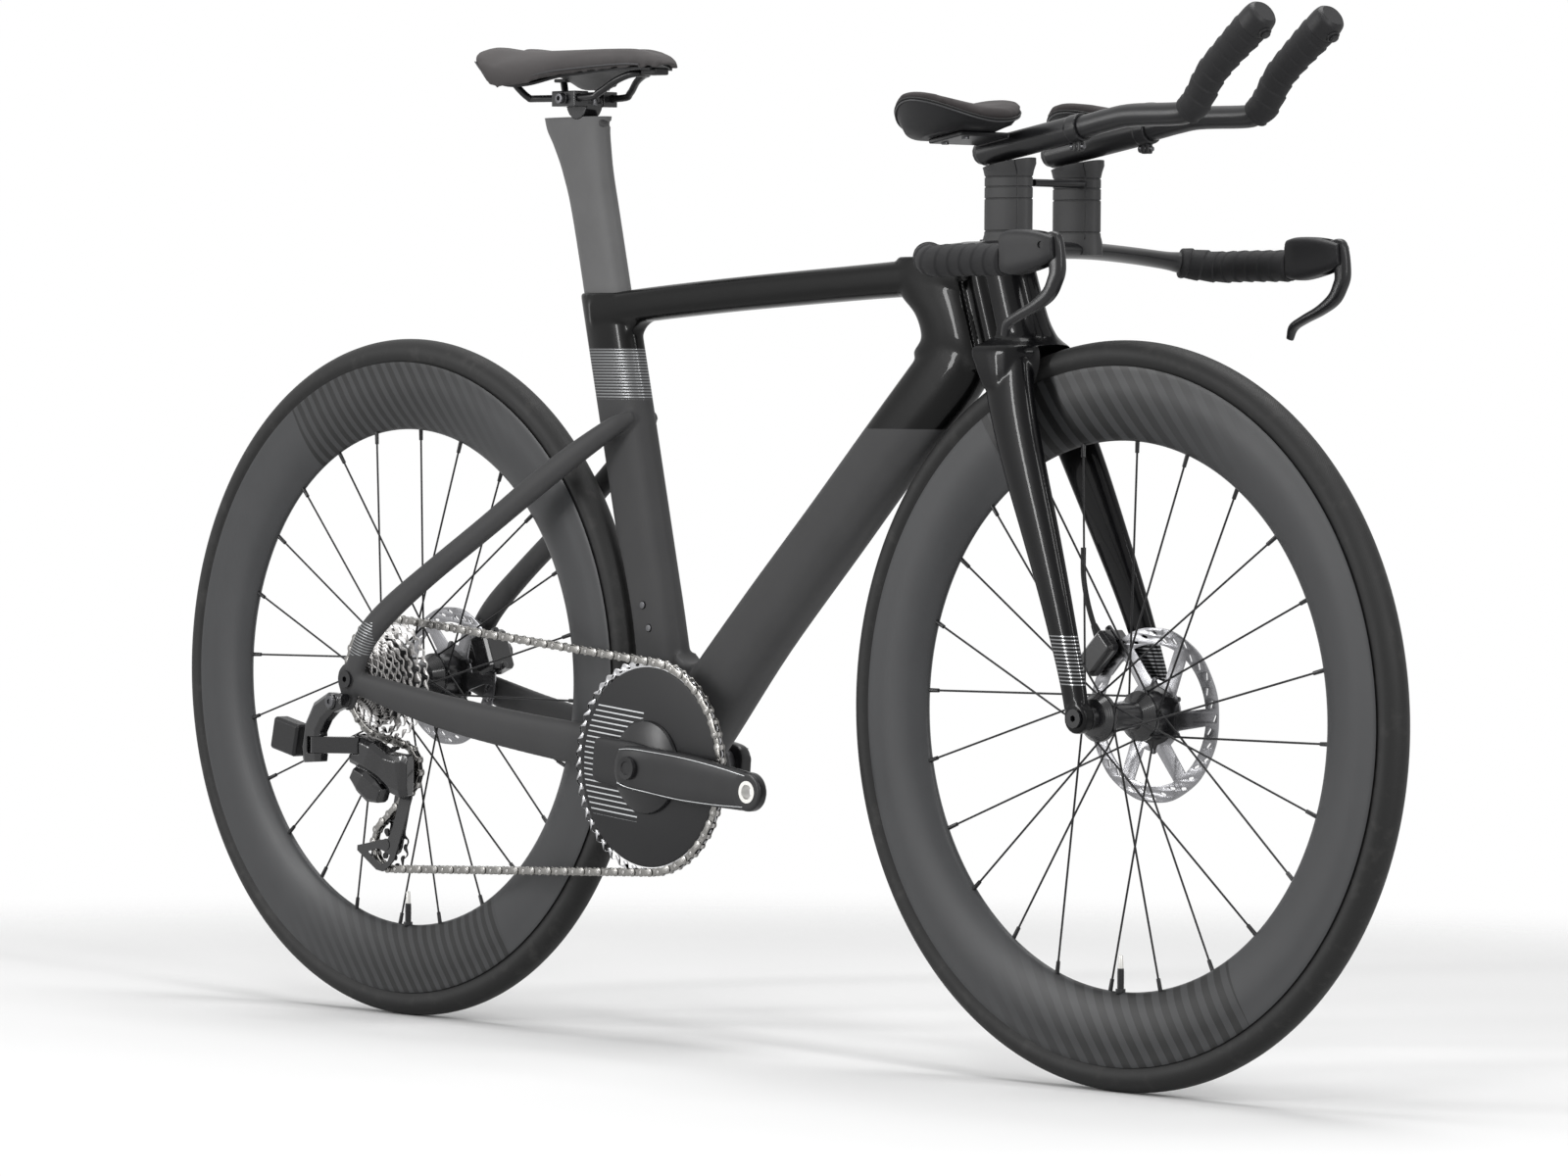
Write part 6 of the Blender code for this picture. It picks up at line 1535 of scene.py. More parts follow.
    def hub(self) -> Object:
        """The turned hub shell with its flanges and end caps.

        Returns:
            The object.
        """
        s = self.sizes
        ends = (s.shell[0][1], s.shell[-1][1])
        profile = list(s.shell) + [(0.0061, ends[1]), (0.0061, ends[0])]
        finish = Lathed(
            f"{s.name}_hub_black", (0.008, 0.008, 0.009), 0.28, coat=0.3, specular=0.4, centre=self.hub_point
        )
        shell = self.forge.lathe("shell", profile, self.centre, finish, 96, 24.0)
        lips = []
        for side, radius in s.flanges:
            ring = [
                (radius + 0.0006, side - 0.0020), (radius + 0.0010, side), (radius + 0.0006, side + 0.0020),
                (radius - 0.004, side + 0.0020), (radius - 0.004, side - 0.0020),
            ]
            lips.append(self.forge.lathe("flange", ring, self.centre, finish, 96, 50.0))
        return self.forge.joined(f"{s.name}_hub_shell", [shell, *lips])

    def slot(self, turn: float, radius: float, length: float, lean: float) -> list[Flat]:
        """A slanting slot in the brake track.

        Args:
            turn: Its angle in the wheel.
            radius: Distance of its middle from the hub.
            length: Its length.
            lean: Its angle against the radius.

        Returns:
            The outline.
        """
        middle = polar(self.centre, radius, turn)
        start, end = (polar(middle, reach, turn + lean) for reach in (-length / 2, length / 2))
        return capsule_points(start, end, 0.0012, 0.0012, 5)

    def rotor(self) -> Object:
        """The brake disc: a slotted steel track on six swept arms, and a dark carrier with its lock ring.

        Returns:
            The object.
        """
        s = self.sizes
        steel = Lathed(f"{s.name}_disc_steel", (0.24, 0.24, 0.25), 0.30, 1.0, mottle=0.08, centre=self.hub_point)
        inner, half = s.rotor_radius - s.track_width, s.rotor_thickness / 2
        sector = math.pi / 3
        windows = []
        for index in range(6):
            start = sector * index
            outer = arc_points(self.centre, inner, start + 0.13, start + 0.93, 14)
            back = arc_points(self.centre, s.carrier - 0.001, start + 0.64, start + 0.13, 8)
            windows.append(outer + back)
        slots = []
        for index, turn in enumerate(spin(36)):
            lift = (0.0050, 0.0078, 0.0105)[index % 3]
            slots.append(self.slot(turn, s.rotor_radius - lift, 0.0052, math.radians(64)))
        outline = []
        for turn in spin(240):
            outline.append(polar(self.centre, s.rotor_radius - 0.0006 * (1 + math.cos(turn * 12)) / 2, turn))
        bore = ring_points(self.centre, s.rotor_bore, 48)
        low, high = s.rotor_y - half, s.rotor_y + half
        track = self.forge.plate("track", outline, low, high, steel, [bore, *windows, *slots], 0.00015)
        star = []
        for turn in spin(120):
            star.append(polar(self.centre, 0.0270 + 0.0085 * max(0.0, math.cos(6 * (turn - 0.5))) ** 3, turn))
        carrier = self.forge.plate(
            "carrier", star, low - 0.0007, high + 0.0009, SATIN_ALLOY, [ring_points(self.centre, s.hub_bore, 48)],
            0.0004,
        )
        rivets = []
        for index in range(6):
            rivets.append(
                self.forge.cross_rod(
                    "rivet", polar(self.centre, 0.0322, 0.5 + sector * index), 0.0025, low - 0.0012, high + 0.0015,
                    DARK_STEEL, 16, 0.0003,
                )
            )
        teeth = []
        for index, turn in enumerate(spin(160)):
            teeth.append(polar(self.centre, 0.0212 + (0.0008 if index % 4 < 2 else 0.0), turn))
        lock = self.forge.plate(
            "lock_ring", teeth, high + 0.0009, high + 0.0030, SATIN_ALLOY, [ring_points(self.centre, s.hub_bore, 48)],
            0.0003,
        )
        return self.forge.joined(f"{s.name}_brake_disc", [track, carrier, lock, *rivets])

    def build(self) -> None:
        """Makes the wheel's pieces and hangs them on its body."""
        s = self.sizes
        for make, *nodes in (
            (self.tyre, "tyre"), (self.rim, "rim"), (self.valve,), (self.hub, "hub"), (self.spokes,),
            (self.rotor, "rotor"),
        ):
            Piece.ride(make(), s.body, *(f"{s.name}_{node}" for node in nodes))


# Drivetrain


@dataclass(frozen=True)
class ChainSizes:
    """The chain's pitch and plates, and the four wheels that it runs on."""

    pitch: float = 0.0127
    links: int = 120
    ring_teeth: int = 50
    cogs: tuple[int, ...] = (30, 26, 22, 19, 17, 16, 15, 14, 13, 12, 11, 10)
    pulley_teeth: int = 12
    ring_y: float = -0.0442
    cog_y: float = -0.0290
    cog_spacing: float = 0.0033
    cog_thickness: float = 0.0017
    pulley_ahead: float = 0.0255
    pulley_z: float = 0.2495
    pulley_distance: float = 0.0788
    plate_radius: float = 0.0042
    waist: float = 0.0031
    plate_thickness: float = 0.0009
    inner_y: float = 0.0018
    outer_y: float = 0.0028
    roller_radius: float = 0.0038
    pin_radius: float = 0.0018

    def radius(self, teeth: int) -> float:
        """Radius of the circle that the pins lie on, on a wheel of this many teeth."""
        return self.pitch / (2 * math.sin(math.pi / teeth))


@dataclass(frozen=True)
class Turn:
    """A stretch of the chain's course: round a wheel where centre is set, and straight otherwise."""

    pitches: float
    start: float = 0.0
    sweep: float = 0.0
    radius: float = 0.0
    centre: Optional[Flat] = None
    near: Flat = (0.0, 0.0)
    far: Flat = (0.0, 0.0)
    side: float = 0.0
    next_side: float = 0.0

    def at(self, share: float) -> Vector:
        """The point at this share of the stretch.

        Args:
            share: From 0 at the start to 1 at the end.

        Returns:
            The point.
        """
        if self.centre is not None:
            x, z = polar(self.centre, self.radius, self.start + self.sweep * share)
        else:
            x, z = (a + (b - a) * share for a, b in zip(self.near, self.far))
        return Vector((x, self.side + (self.next_side - self.side) * share, z))


class Course:
    """The closed course of the chain round the ring, the largest sprocket and both pulleys."""

    def __init__(self, layout: Layout, sizes: ChainSizes) -> None:
        """Finds the cage's angle at which the chain closes.

        Args:
            layout: The bicycle's main points.
            sizes: The chain and its wheels.
        """
        self.layout = layout
        self.sizes = sizes
        low, high = 0.0, math.radians(60)
        for _ in range(50):
            middle = (low + high) / 2
            if self.measure(middle) < sizes.links:
                low = middle
            else:
                high = middle
        self.cage_angle = (low + high) / 2
        self.measure(self.cage_angle)

    @staticmethod
    def tangent(first: tuple, second: tuple) -> tuple[Flat, Flat]:
        """Where the chain leaves one wheel and meets the next, each as (centre, radius, sense).

        Args:
            first: The wheel that the chain leaves.
            second: The wheel that it meets.

        Returns:
            Both points.
        """
        (ax, az), ra, sa = first
        (bx, bz), rb, sb = second
        distance = math.hypot(bx - ax, bz - az)
        way = math.atan2(bz - az, bx - ax) - math.asin((sa * ra - sb * rb) / distance)
        nx, nz = -math.sin(way), math.cos(way)
        return (ax + nx * ra * sa, az + nz * ra * sa), (bx + nx * rb * sb, bz + nz * rb * sb)

    def measure(self, cage_angle: float) -> float:
        """Lays the course for one angle of the cage and returns its length in pitches.

        Args:
            cage_angle: The cage's angle from upright, in radians.

        Returns:
            The length in pitches.
        """
        s, lay = self.sizes, self.layout
        upper = (lay.ahead(s.pulley_ahead), s.pulley_z)
        lower = (
            upper[0] - s.pulley_distance * math.sin(cage_angle), upper[1] - s.pulley_distance * math.cos(cage_angle)
        )
        wheels = [
            (lay.rear, s.cogs[0], 1, s.cog_y), (lay.bb, s.ring_teeth, 1, s.ring_y),
            (lower, s.pulley_teeth, 1, s.cog_y), (upper, s.pulley_teeth, -1, s.cog_y),
        ]
        circles = [(centre, s.radius(teeth), sense) for centre, teeth, sense, _ in wheels]
        joins = [self.tangent(circles[i], circles[(i + 1) % 4]) for i in range(4)]
        self.turns: list[Turn] = []
        for i, (centre, teeth, sense, side) in enumerate(wheels):
            arrive, leave = joins[i - 1][1], joins[i][0]
            start = math.atan2(arrive[1] - centre[1], arrive[0] - centre[0])
            end = math.atan2(leave[1] - centre[1], leave[0] - centre[0])
            sweep = -((start - end) % (2 * math.pi)) if sense > 0 else (end - start) % (2 * math.pi)
            count = abs(sweep) * teeth / (2 * math.pi)
            self.turns.append(Turn(count, start, sweep, s.radius(teeth), centre, side=side, next_side=side))
            far = joins[i][1]
            reach = math.hypot(far[0] - leave[0], far[1] - leave[1]) / s.pitch
            self.turns.append(Turn(reach, near=leave, far=far, side=side, next_side=wheels[(i + 1) % 4][3]))
        self.upper, self.lower = upper, lower
        return sum(turn.pitches for turn in self.turns)

    def pin(self, index: int) -> Vector:
        """The place of one chain pin.

        Args:
            index: The pin's number along the course.

        Returns:
            Its place.
        """
        left = index % sum(turn.pitches for turn in self.turns)
        for turn in self.turns:
            if left <= turn.pitches:
                return turn.at(left / turn.pitches)
            left -= turn.pitches
        return self.turns[0].at(0)

    def phase(self, wheel: int) -> float:
        """The angle of a chain pin on one of the four wheels.

        Args:
            wheel: Its number: sprocket, ring, lower pulley, upper pulley.

        Returns:
            The angle.
        """
        turn = self.turns[2 * wheel]
        before = sum(other.pitches for other in self.turns[: 2 * wheel])
        return turn.start + turn.sweep * (math.ceil(before) - before) / turn.pitches


def tooth_outline(centre: Flat, teeth: int, phase: float, sizes: ChainSizes, tip: float = 0.0033) -> list[Flat]:
    """A sprocket's outline: round roller seats between narrow flat-topped teeth.

    Args:
        centre: Its centre in the bicycle's plane.
        teeth: How many teeth it has.
        phase: The angle of one roller seat.
        sizes: The chain's sizes.
        tip: How far the teeth stand over the pins' circle.

    Returns:
        The outline.
    """
    radius = sizes.radius(teeth)
    seat = sizes.roller_radius + 0.0001
    step = 2 * math.pi / teeth
    points = []
    for tooth in range(teeth):
        middle = phase + tooth * step
        roller = polar(centre, radius, middle)
        for lean in (-62, -38, -14, 14, 38, 62):
            points.append(polar(roller, seat, middle + math.pi + math.radians(lean)))
        half = 0.0011 / radius
        for turn in (middle + step / 2 - half, middle + step / 2 + half):
            points.append(polar(centre, radius + tip, turn))
    return points


class Drivetrain:
    """The chain with everything that it runs on, and the cranks."""

    def __init__(self, forge: Forge, layout: Layout, sizes: ChainSizes, cranks: "CrankSizes") -> None:
        """Keeps the sizes and lays the chain's course.

        Args:
            forge: Makes the meshes.
            layout: The bicycle's main points.
            sizes: The sizes of what it makes.
            cranks: The cranks' sizes.
        """
        self.forge = forge
        self.layout = layout
        self.sizes = sizes
        self.cranks = cranks
        self.course = Course(layout, sizes)
        LOG.info("the chain closes with the cage at %.2f degrees", math.degrees(self.course.cage_angle))

    def link_outline(self) -> list[Flat]:
        """A chain plate's outline, with its waist.

        Returns:
            The outline.
        """
        s = self.sizes
        half = s.pitch / 2
        left = arc_points((-half, 0), s.plate_radius, math.radians(48), math.radians(312), 11)
        right = arc_points((half, 0), s.plate_radius, math.radians(-132), math.radians(132), 11)
        below, above = ([(-way * 0.0012, -way * s.waist), (way * 0.0012, -way * s.waist)] for way in (1, -1))
        return left + below + right + above

    def chain(self) -> Object:
        """Every link of the chain: two plates, two rollers' halves and the pins between them.

        Returns:
            The object.
        """
        s = self.sizes
        outline = self.link_outline()
        models = {}
        for kind, inner in (("inner", s.inner_y), ("outer", s.outer_y)):
            plates = []
            for side in (Side.RIGHT, Side.LEFT):
                low, high = span(side, inner, inner + s.plate_thickness)
                plates.append(self.forge.plate("link_plate", outline, low, high, CLEAN_CHAIN, edge=0.00022))
            if kind == "inner":
                radius, reach, count = s.roller_radius, s.inner_y, 20
            else:
                radius, reach, count = s.pin_radius, s.outer_y + s.plate_thickness + 0.00035, 14
            for spot in (-s.pitch / 2, s.pitch / 2):
                plates.append(
                    self.forge.cross_rod("pin", (spot, 0), radius, -reach, reach, CHAIN_PINS, count, 0.0003)
                )
            models[kind] = self.forge.joined(f"{kind}_link", plates)
        bm = bmesh.new()
        for index in range(s.links):
            near, far = self.course.pin(index), self.course.pin(index + 1)
            way = (far - near).normalized()
            up = Vector((-way.z, 0, way.x)).normalized()
            model = models["outer" if index % 2 else "inner"]
            first = len(bm.verts)
            bm.from_mesh(model.data)
            bm.verts.ensure_lookup_table()
            turn = Matrix((way, up.cross(way), up)).transposed().to_4x4()
            bmesh.ops.transform(bm, matrix=Matrix.Translation((near + far) / 2) @ turn, verts=bm.verts[first:])
        obj = self.forge.land("roller_chain", bm)
        for finish in (CLEAN_CHAIN, CHAIN_PINS):
            obj.data.materials.append(finish.material())
        for model in models.values():
            self.forge.discard(model)
        return obj

    def ring(self) -> Object:
        """The toothed ring and the flat disc that fills it.

        Returns:
            The object.
        """
        s = self.sizes
        centre = self.layout.bb
        point = (centre[0], s.ring_y, centre[1])
        steel = Lathed("ring_teeth_steel", (0.40, 0.40, 0.41), 0.30, 1.0, mottle=0.10, centre=point)
        teeth = self.forge.plate(
            "ring_teeth", tooth_outline(centre, s.ring_teeth, self.course.phase(1), s, 0.0036), s.ring_y - 0.0009,
            s.ring_y + 0.0009, steel, [ring_points(centre, 0.0945, 160)], 0.00025,
        )
        matt = LinedDisc("ring_disc_paint", (0.006, 0.006, 0.007), 0.42, centre=point, mottle=0.15, specular=0.25)
        profile = [
            (0.0334, s.ring_y + 0.0006), (0.0957, s.ring_y + 0.0006), (0.0962, s.ring_y + 0.0002),
            (0.0962, s.ring_y - 0.0008), (0.0955, s.ring_y - 0.0013), (0.0930, s.ring_y - 0.0017),
            (0.0460, s.ring_y - 0.0027), (0.0334, s.ring_y - 0.0027),
        ]
        disc = self.forge.lathe("ring_disc", profile, centre, matt, 200, 25.0)
        bolts = []
        for index in range(4):
            place = polar(centre, 0.0388, self.cranks.angle + math.radians(45) + index * math.pi / 2)
            bolts.append(
                self.forge.cross_rod("ring_bolt", place, 0.0040, s.ring_y, s.ring_y + 0.0020, DARK_STEEL, 24, 0.0004)
            )
        return self.forge.joined("toothed_ring", [teeth, disc, *bolts])

    def cassette(self) -> Object:
        """Twelve sprockets on a dark carrier, with the lock ring outermost.

        Returns:
            The object.
        """
        s, lay = self.sizes, self.layout
        centre = lay.rear
        point = (centre[0], s.cog_y, centre[1])
        steel = Lathed("sprocket_steel", (0.30, 0.30, 0.31), 0.30, 1.0, mottle=0.12, centre=point)
        pieces = []
        for index, teeth in enumerate(s.cogs):
            y = s.cog_y - index * s.cog_spacing
            radius = s.radius(teeth)
            phase = self.course.phase(0) + index * 0.13
            holes = [ring_points(centre, max(0.0140, 0.42 * radius), 40)]
            if teeth > 18:
                arms = 10 if teeth > 22 else 8
                for hole in range(arms):
                    turn = 2 * math.pi * (hole + 0.5 * (index % 2)) / arms
                    near, far = polar(centre, radius * 0.62, turn), polar(centre, radius * 0.78, turn + 0.05)
                    holes.append(capsule_points(near, far, 0.0034 * teeth / 30, 0.0042 * teeth / 30, 7))
            outline = tooth_outline(centre, teeth, phase, s, 0.0028)
            pieces.append(
                self.forge.plate(
                    "sprocket", outline, y - s.cog_thickness / 2, y + s.cog_thickness / 2, steel, holes, 0.0002
                )
            )
        last = s.cog_y - (len(s.cogs) - 1) * s.cog_spacing
        carrier = [
            (0.0090, s.cog_y + 0.0040), (0.0300, s.cog_y + 0.0040), (0.0430, s.cog_y + 0.0012),
            (0.0420, s.cog_y - 0.0030), (0.0290, s.cog_y - 0.0100), (0.0200, s.cog_y - 0.0200),
            (0.0148, last + 0.0030), (0.0090, last + 0.0030),
        ]
        pieces.append(self.forge.lathe("carrier", carrier, centre, SATIN_ALLOY, 72, 30.0))
        lock = [
            (0.0085, last + 0.001), (0.0150, last + 0.001), (0.0156, last - 0.0010), (0.0150, last - 0.0024),
            (0.0110, last - 0.0028), (0.0085, last - 0.0016),
        ]
        pieces.append(self.forge.lathe("cassette_lock", lock, centre, SATIN_ALLOY, 60, 30.0))
        return self.forge.joined("sprocket_stack", pieces)

    def crank(self, side: Side) -> Object:
        """A crank arm from its boss to the pedal eye, with a bright ring in the eye and a line along each edge.

        Args:
            side: Which side of the bicycle.

        Returns:
            The object.
        """
        c = self.cranks
        turn = c.angle if side is Side.RIGHT else c.angle + math.pi
        way = Vector((math.cos(turn), 0, math.sin(turn)))
        lift = Vector((-way.z, 0, way.x)) * (1 if side is Side.RIGHT else -1)
        middle = Vector((self.layout.bb[0], 0, self.layout.bb[1]))
        rows = [(middle + way * d + ACROSS * (side.value * y), depth, width) for d, y, depth, width in c.rows]
        arm = self.forge.skin("arm", path_stations(rows), None, 3.8, 0.0, 56, 6)
        eye = middle + way * c.length
        inner, outer = c.outer_y - c.thickness, c.outer_y
        low, high = span(side, inner, outer)
        tip = self.forge.cross_rod("eye", (eye.x, eye.z), c.eye_radius, low, high, count=72, bevel=0.0016)
        body = self.forge.fused(f"{side.word}_crank_forging", [arm, tip], 0.0011, 6, SATIN_ALLOY)
        reach = span(side, inner - 0.01, outer + 0.01)
        body = self.forge.cut(
            body, [self.forge.cross_rod("eye_hole", (eye.x, eye.z), c.hole_radius, *reach, count=48, bevel=0)]
        )
        trims = []
        face_y = side.value * (outer + 0.0001)
        ring = [
            (c.hole_radius - 0.0002, face_y), (c.ring_radius, face_y), (c.ring_radius, face_y - side.value * 0.0012),
            (c.hole_radius - 0.0002, face_y - side.value * 0.011),
        ]
        trims.append(self.forge.lathe("eye_ring", ring, (eye.x, eye.z), BRIGHT_STEEL, 72, 25.0))
        for edge in (-1, 1):
            line = []
            for d, y, depth, width in c.rows[1:-1]:
                spot = middle + way * d + lift * (edge * depth * 0.435)
                line.append(spot + ACROSS * (side.value * (y + width * 0.472)))
            spot = eye + lift * (edge * c.eye_radius * 0.80) - way * 0.004
            line.append(spot + ACROSS * (side.value * (outer - 0.0002)))
            trims.append(self.forge.tube("edge_line", line, 0.00045, SILVER_LINE, 6, 2))
        return self.forge.joined(f"{side.word}_crank_arm", [body, *trims])

    def spider(self) -> Object:
        """The right crank's round spider with the gauge housing and the centre cap.

        Returns:
            The object.
        """
        s, c = self.sizes, self.cranks
        centre = self.layout.bb
        seat = s.ring_y - 0.0030
        profile = [
            (0.0145, s.ring_y + 0.0016), (0.0325, s.ring_y + 0.0016), (0.0325, seat), (0.0446, seat),
            (0.0450, seat - 0.0006), (0.0440, seat - 0.0034), (0.0330, seat - 0.0072), (0.0145, seat - 0.0076),
        ]
        disc = self.forge.lathe("spider_disc", profile, centre, SATIN_ALLOY, 120, 25.0)
        way = Vector((math.cos(c.angle), 0, math.sin(c.angle)))
        middle = Vector((centre[0], 0, centre[1]))
        rows = [
            (-0.0655, 0.0326, 0.0080), (-0.0605, 0.0424, 0.0104), (-0.0350, 0.0452, 0.0124),
            (-0.0100, 0.0460, 0.0130), (0.0200, 0.0400, 0.0130),
        ]
        stations = path_stations([(middle + way * d + ACROSS * (seat - 0.0068), h, w) for d, h, w in rows])
        gauge = self.forge.skin("gauge", stations, MOULDED, 6.0, 0.0, 56, 5)
        spindle = self.forge.cross_rod(
            "spindle", centre, 0.0145, -0.0600, self.layout.bb_half + 0.0230, DARK_STEEL, 48
        )
        cap = [
            (0.0, -c.outer_y + 0.0012), (0.0060, -c.outer_y + 0.0012), (0.0066, -c.outer_y + 0.0002),
            (0.0108, -c.outer_y - 0.0002), (0.0112, -c.outer_y + 0.0016), (0.0112, -c.outer_y + 0.0060),
            (0.0, -c.outer_y + 0.0060),
        ]
        cover = self.forge.lathe("centre_cap", cap, centre, MOULDED, 64, 25.0)
        return self.forge.joined("crank_spider", [disc, gauge, spindle, cover])

    def pulley(self, name: str, centre: Flat, phase: float) -> Object:
        """A toothed guide pulley with spokes and a bearing.

        Args:
            name: The object's name.
            centre: Its centre in the bicycle's plane.
            phase: The angle of one roller seat.

        Returns:
            The object.
        """
        s = self.sizes
        holes = [ring_points(centre, 0.0060, 24)]
        for index in range(6):
            turn = phase + math.pi / 6 + index * math.pi / 3
            holes.append(capsule_points(polar(centre, 0.0108, turn), polar(centre, 0.0142, turn), 0.0020, 0.0030, 6))
        outline = tooth_outline(centre, s.pulley_teeth, phase, s, 0.0028)
        wheel = self.forge.plate("pulley_wheel", outline, s.cog_y - 0.0011, s.cog_y + 0.0011, MOULDED, holes, 0.0002)
        bearing = [
            (0.0031, s.cog_y - 0.0026), (0.0062, s.cog_y - 0.0026), (0.0064, s.cog_y), (0.0062, s.cog_y + 0.0026),
            (0.0031, s.cog_y + 0.0026),
        ]
        core = self.forge.lathe("pulley_bearing", bearing, centre, DARK_STEEL, 40, 30.0)
        return self.forge.joined(name, [wheel, core])

    def build(self) -> None:
        """Makes the drivetrain's pieces."""
        Piece.ride(self.chain(), Body.FRAME, "chain")
        Piece.ride(self.ring(), Body.CRANKS, "chainring")
        Piece.ride(self.cassette(), Body.CASSETTE, "cassette")
        Piece.ride(self.crank(Side.RIGHT), Body.CRANKS, "right_crank")
        Piece.ride(self.crank(Side.LEFT), Body.CRANKS, "left_crank")
        Piece.ride(self.spider(), Body.CRANKS)
        Piece.ride(
            self.pulley("upper_guide", self.course.upper, self.course.phase(3)), Body.UPPER_PULLEY, "upper_pulley"
        )
        Piece.ride(
            self.pulley("lower_guide", self.course.lower, self.course.phase(2)), Body.LOWER_PULLEY, "lower_pulley"
        )


@dataclass(frozen=True)
class CrankSizes:
    """The cranks: rows of (distance out, side place, depth, width) and the pedal eye."""

    length: float = 0.1700
    angle: float = math.radians(-5.0)
    outer_y: float = 0.0755
    thickness: float = 0.0100
    eye_radius: float = 0.0185
    hole_radius: float = 0.0071
    ring_radius: float = 0.0105
    rows: tuple[tuple[float, float, float, float], ...] = (
        (-0.0220, 0.0635, 0.0200, 0.0130), (-0.0150, 0.0635, 0.0370, 0.0160), (0.0000, 0.0637, 0.0425, 0.0160),
        (0.0250, 0.0640, 0.0445, 0.0155), (0.0750, 0.0668, 0.0460, 0.0138), (0.1250, 0.0690, 0.0415, 0.0115),
        (0.1700, 0.0705, 0.0370, 0.0100),
    )


# Frame and fork


class Frameset:
    """The carbon frame and the fork, each melted from its tubes into one moulding."""

    def __init__(self, forge: Forge, layout: Layout) -> None:
        """Keeps the layout and makes the paints.

        Args:
            forge: Makes the meshes.
            layout: The bicycle's main points.
        """
        self.forge = forge
        self.layout = layout
        self.paint = Lacquer(
            "frame_paint", (0.056, 0.056, 0.057), 0.46, grain_depth=0.00002, mottle=0.10, spread=0.08, specular=0.09,
            bands=(
                LineBand(
                    (0, 0, 1), 0.0029, 0.34, (layout.rear_x + 0.22, -0.03, 0.6215),
                    (layout.rear_x + 0.37, 0.03, 0.6705),
                ),
                LineBand(
                    (0.31, 0, 0.95), 0.0030, 0.34, (layout.rear_x - 0.03, -0.09, 0.3640),
                    (layout.rear_x + 0.036, 0.09, 0.3975),
                ),
            ),
            glossy=((-1.0, 0.0, 0.6710), (0.0, 1.0, 0.5970)),
        )
        self.fork_paint = Lacquer(
            "fork_paint", (0.0025, 0.0025, 0.003), 0.30, coat=0.17, specular=0.08, grain_depth=0.00001, mottle=0.10,
            spread=0.03,
            bands=(
                LineBand(
                    (0, 0, 1), 0.0033, 0.34, (layout.front_x - 0.06, -0.09, 0.3680),
                    (layout.front_x + 0.03, 0.09, 0.4140),
                ),
            ),
        )

    def tubes(self) -> list[Object]:
        """The front triangle, cleared of the rear wheel and of the fork's sweep.

        Returns:
            The pieces.
        """
        lay, forge = self.layout, self.forge
        bx = lay.bb[0]
        rows = []
        for height in (0.340, 0.430, 0.530, 0.640, 0.7250):
            middle = lay.seat_x(height)
            spread = max(0.0, 0.36 - height) * 0.10
            rows.append((height, middle - 0.0354, middle + 0.0370, 0, 0.0310 + 2 * spread))
        rows = [(0.247, bx - 0.020, bx + 0.020, 0, 0.050), (0.290, bx - 0.043, bx + 0.044, 0, 0.052)] + rows
        seat = forge.skin("seat_tube", level_stations(rows), None, 2.5, 0.25, 56, 6)
        path = [
            (lay.ahead(0.395), 0.262), (lay.ahead(0.440), 0.319), (lay.ahead(0.519), 0.405),
            (lay.ahead(0.619), 0.504), (lay.ahead(0.6985), 0.5835), (lay.steer_x(0.655) - 0.0635, 0.6605),
            (lay.steer_x(0.692) - 0.040, 0.692),
        ]
        sizes = [
            (0.060, 0.050), (0.073, 0.050), (0.069, 0.047), (0.067, 0.047), (0.067, 0.046), (0.0725, 0.042),
            (0.060, 0.036),
        ]
        down = forge.skin(
            "down_tube", path_stations([((x, 0, z), h, w) for (x, z), (h, w) in zip(path, sizes)]), None, 2.9, 0.0,
            56, 6,
        )
        rear, front = lay.seat_x(0.7250), lay.steer_x(0.742)
        rows = [
            ((rear - 0.010, 0, 0.7060), 0.0325, 0.030), ((rear + 0.060, 0, 0.7135), 0.0325, 0.033),
            ((rear + 0.200, 0, 0.7240), 0.0325, 0.033), ((front - 0.120, 0, 0.7360), 0.0335, 0.037),
            ((front - 0.070, 0, 0.7380), 0.0385, 0.040), ((front - 0.010, 0, 0.7405), 0.0385, 0.042),
        ]
        top = forge.skin("top_tube", path_stations(rows), None, 3.0, 0.0, 48, 6)
        shell = forge.cross_rod("bb_shell", lay.bb, 0.0240, -lay.bb_half, lay.bb_half, count=64, bevel=0)
        rows = [
            (0.652, 0.752, 0.036), (0.666, 0.728, 0.040), (0.682, 0.739, 0.042), (0.703, 0.731, 0.042),
            (0.720, 0.712, 0.041), (0.738, 0.700, 0.040), (0.757, 0.705, 0.036),
        ]
        head = forge.skin(
            "head_block", level_stations([(z, lay.ahead(r), lay.steer_x(z) - 0.012, 0, w) for z, r, w in rows]), None,
            3.2, 0.0, 48, 6,
        )
        webs = [
            self.web(
                "top_web", (lay.seat_x(0.7) + 0.028, 0.7100), (lay.ahead(0.3310), 0.6655),
                (lay.ahead(0.3620), 0.6990), 0.0105,
            ),
            self.web(
                "foot_web", (bx + 0.004, 0.340), (lay.ahead(0.4090), 0.3800), (lay.ahead(0.4600), 0.3800), 0.0150
            ),
        ]
        body = forge.melt(forge.joined("front_triangle", [seat, down, top, shell, head, *webs]), 0.0018)
        radius, half = lay.rear_room
        slot = forge.cross_rod("rear_slot", lay.rear, radius, -half, half, count=160, bevel=0)
        sweep = forge.rod("sweep", lay.on_axis(0.600), lay.on_axis(0.800), 0.0269, count=64)
        return [forge.cut(body, [slot, sweep], "MANIFOLD")]

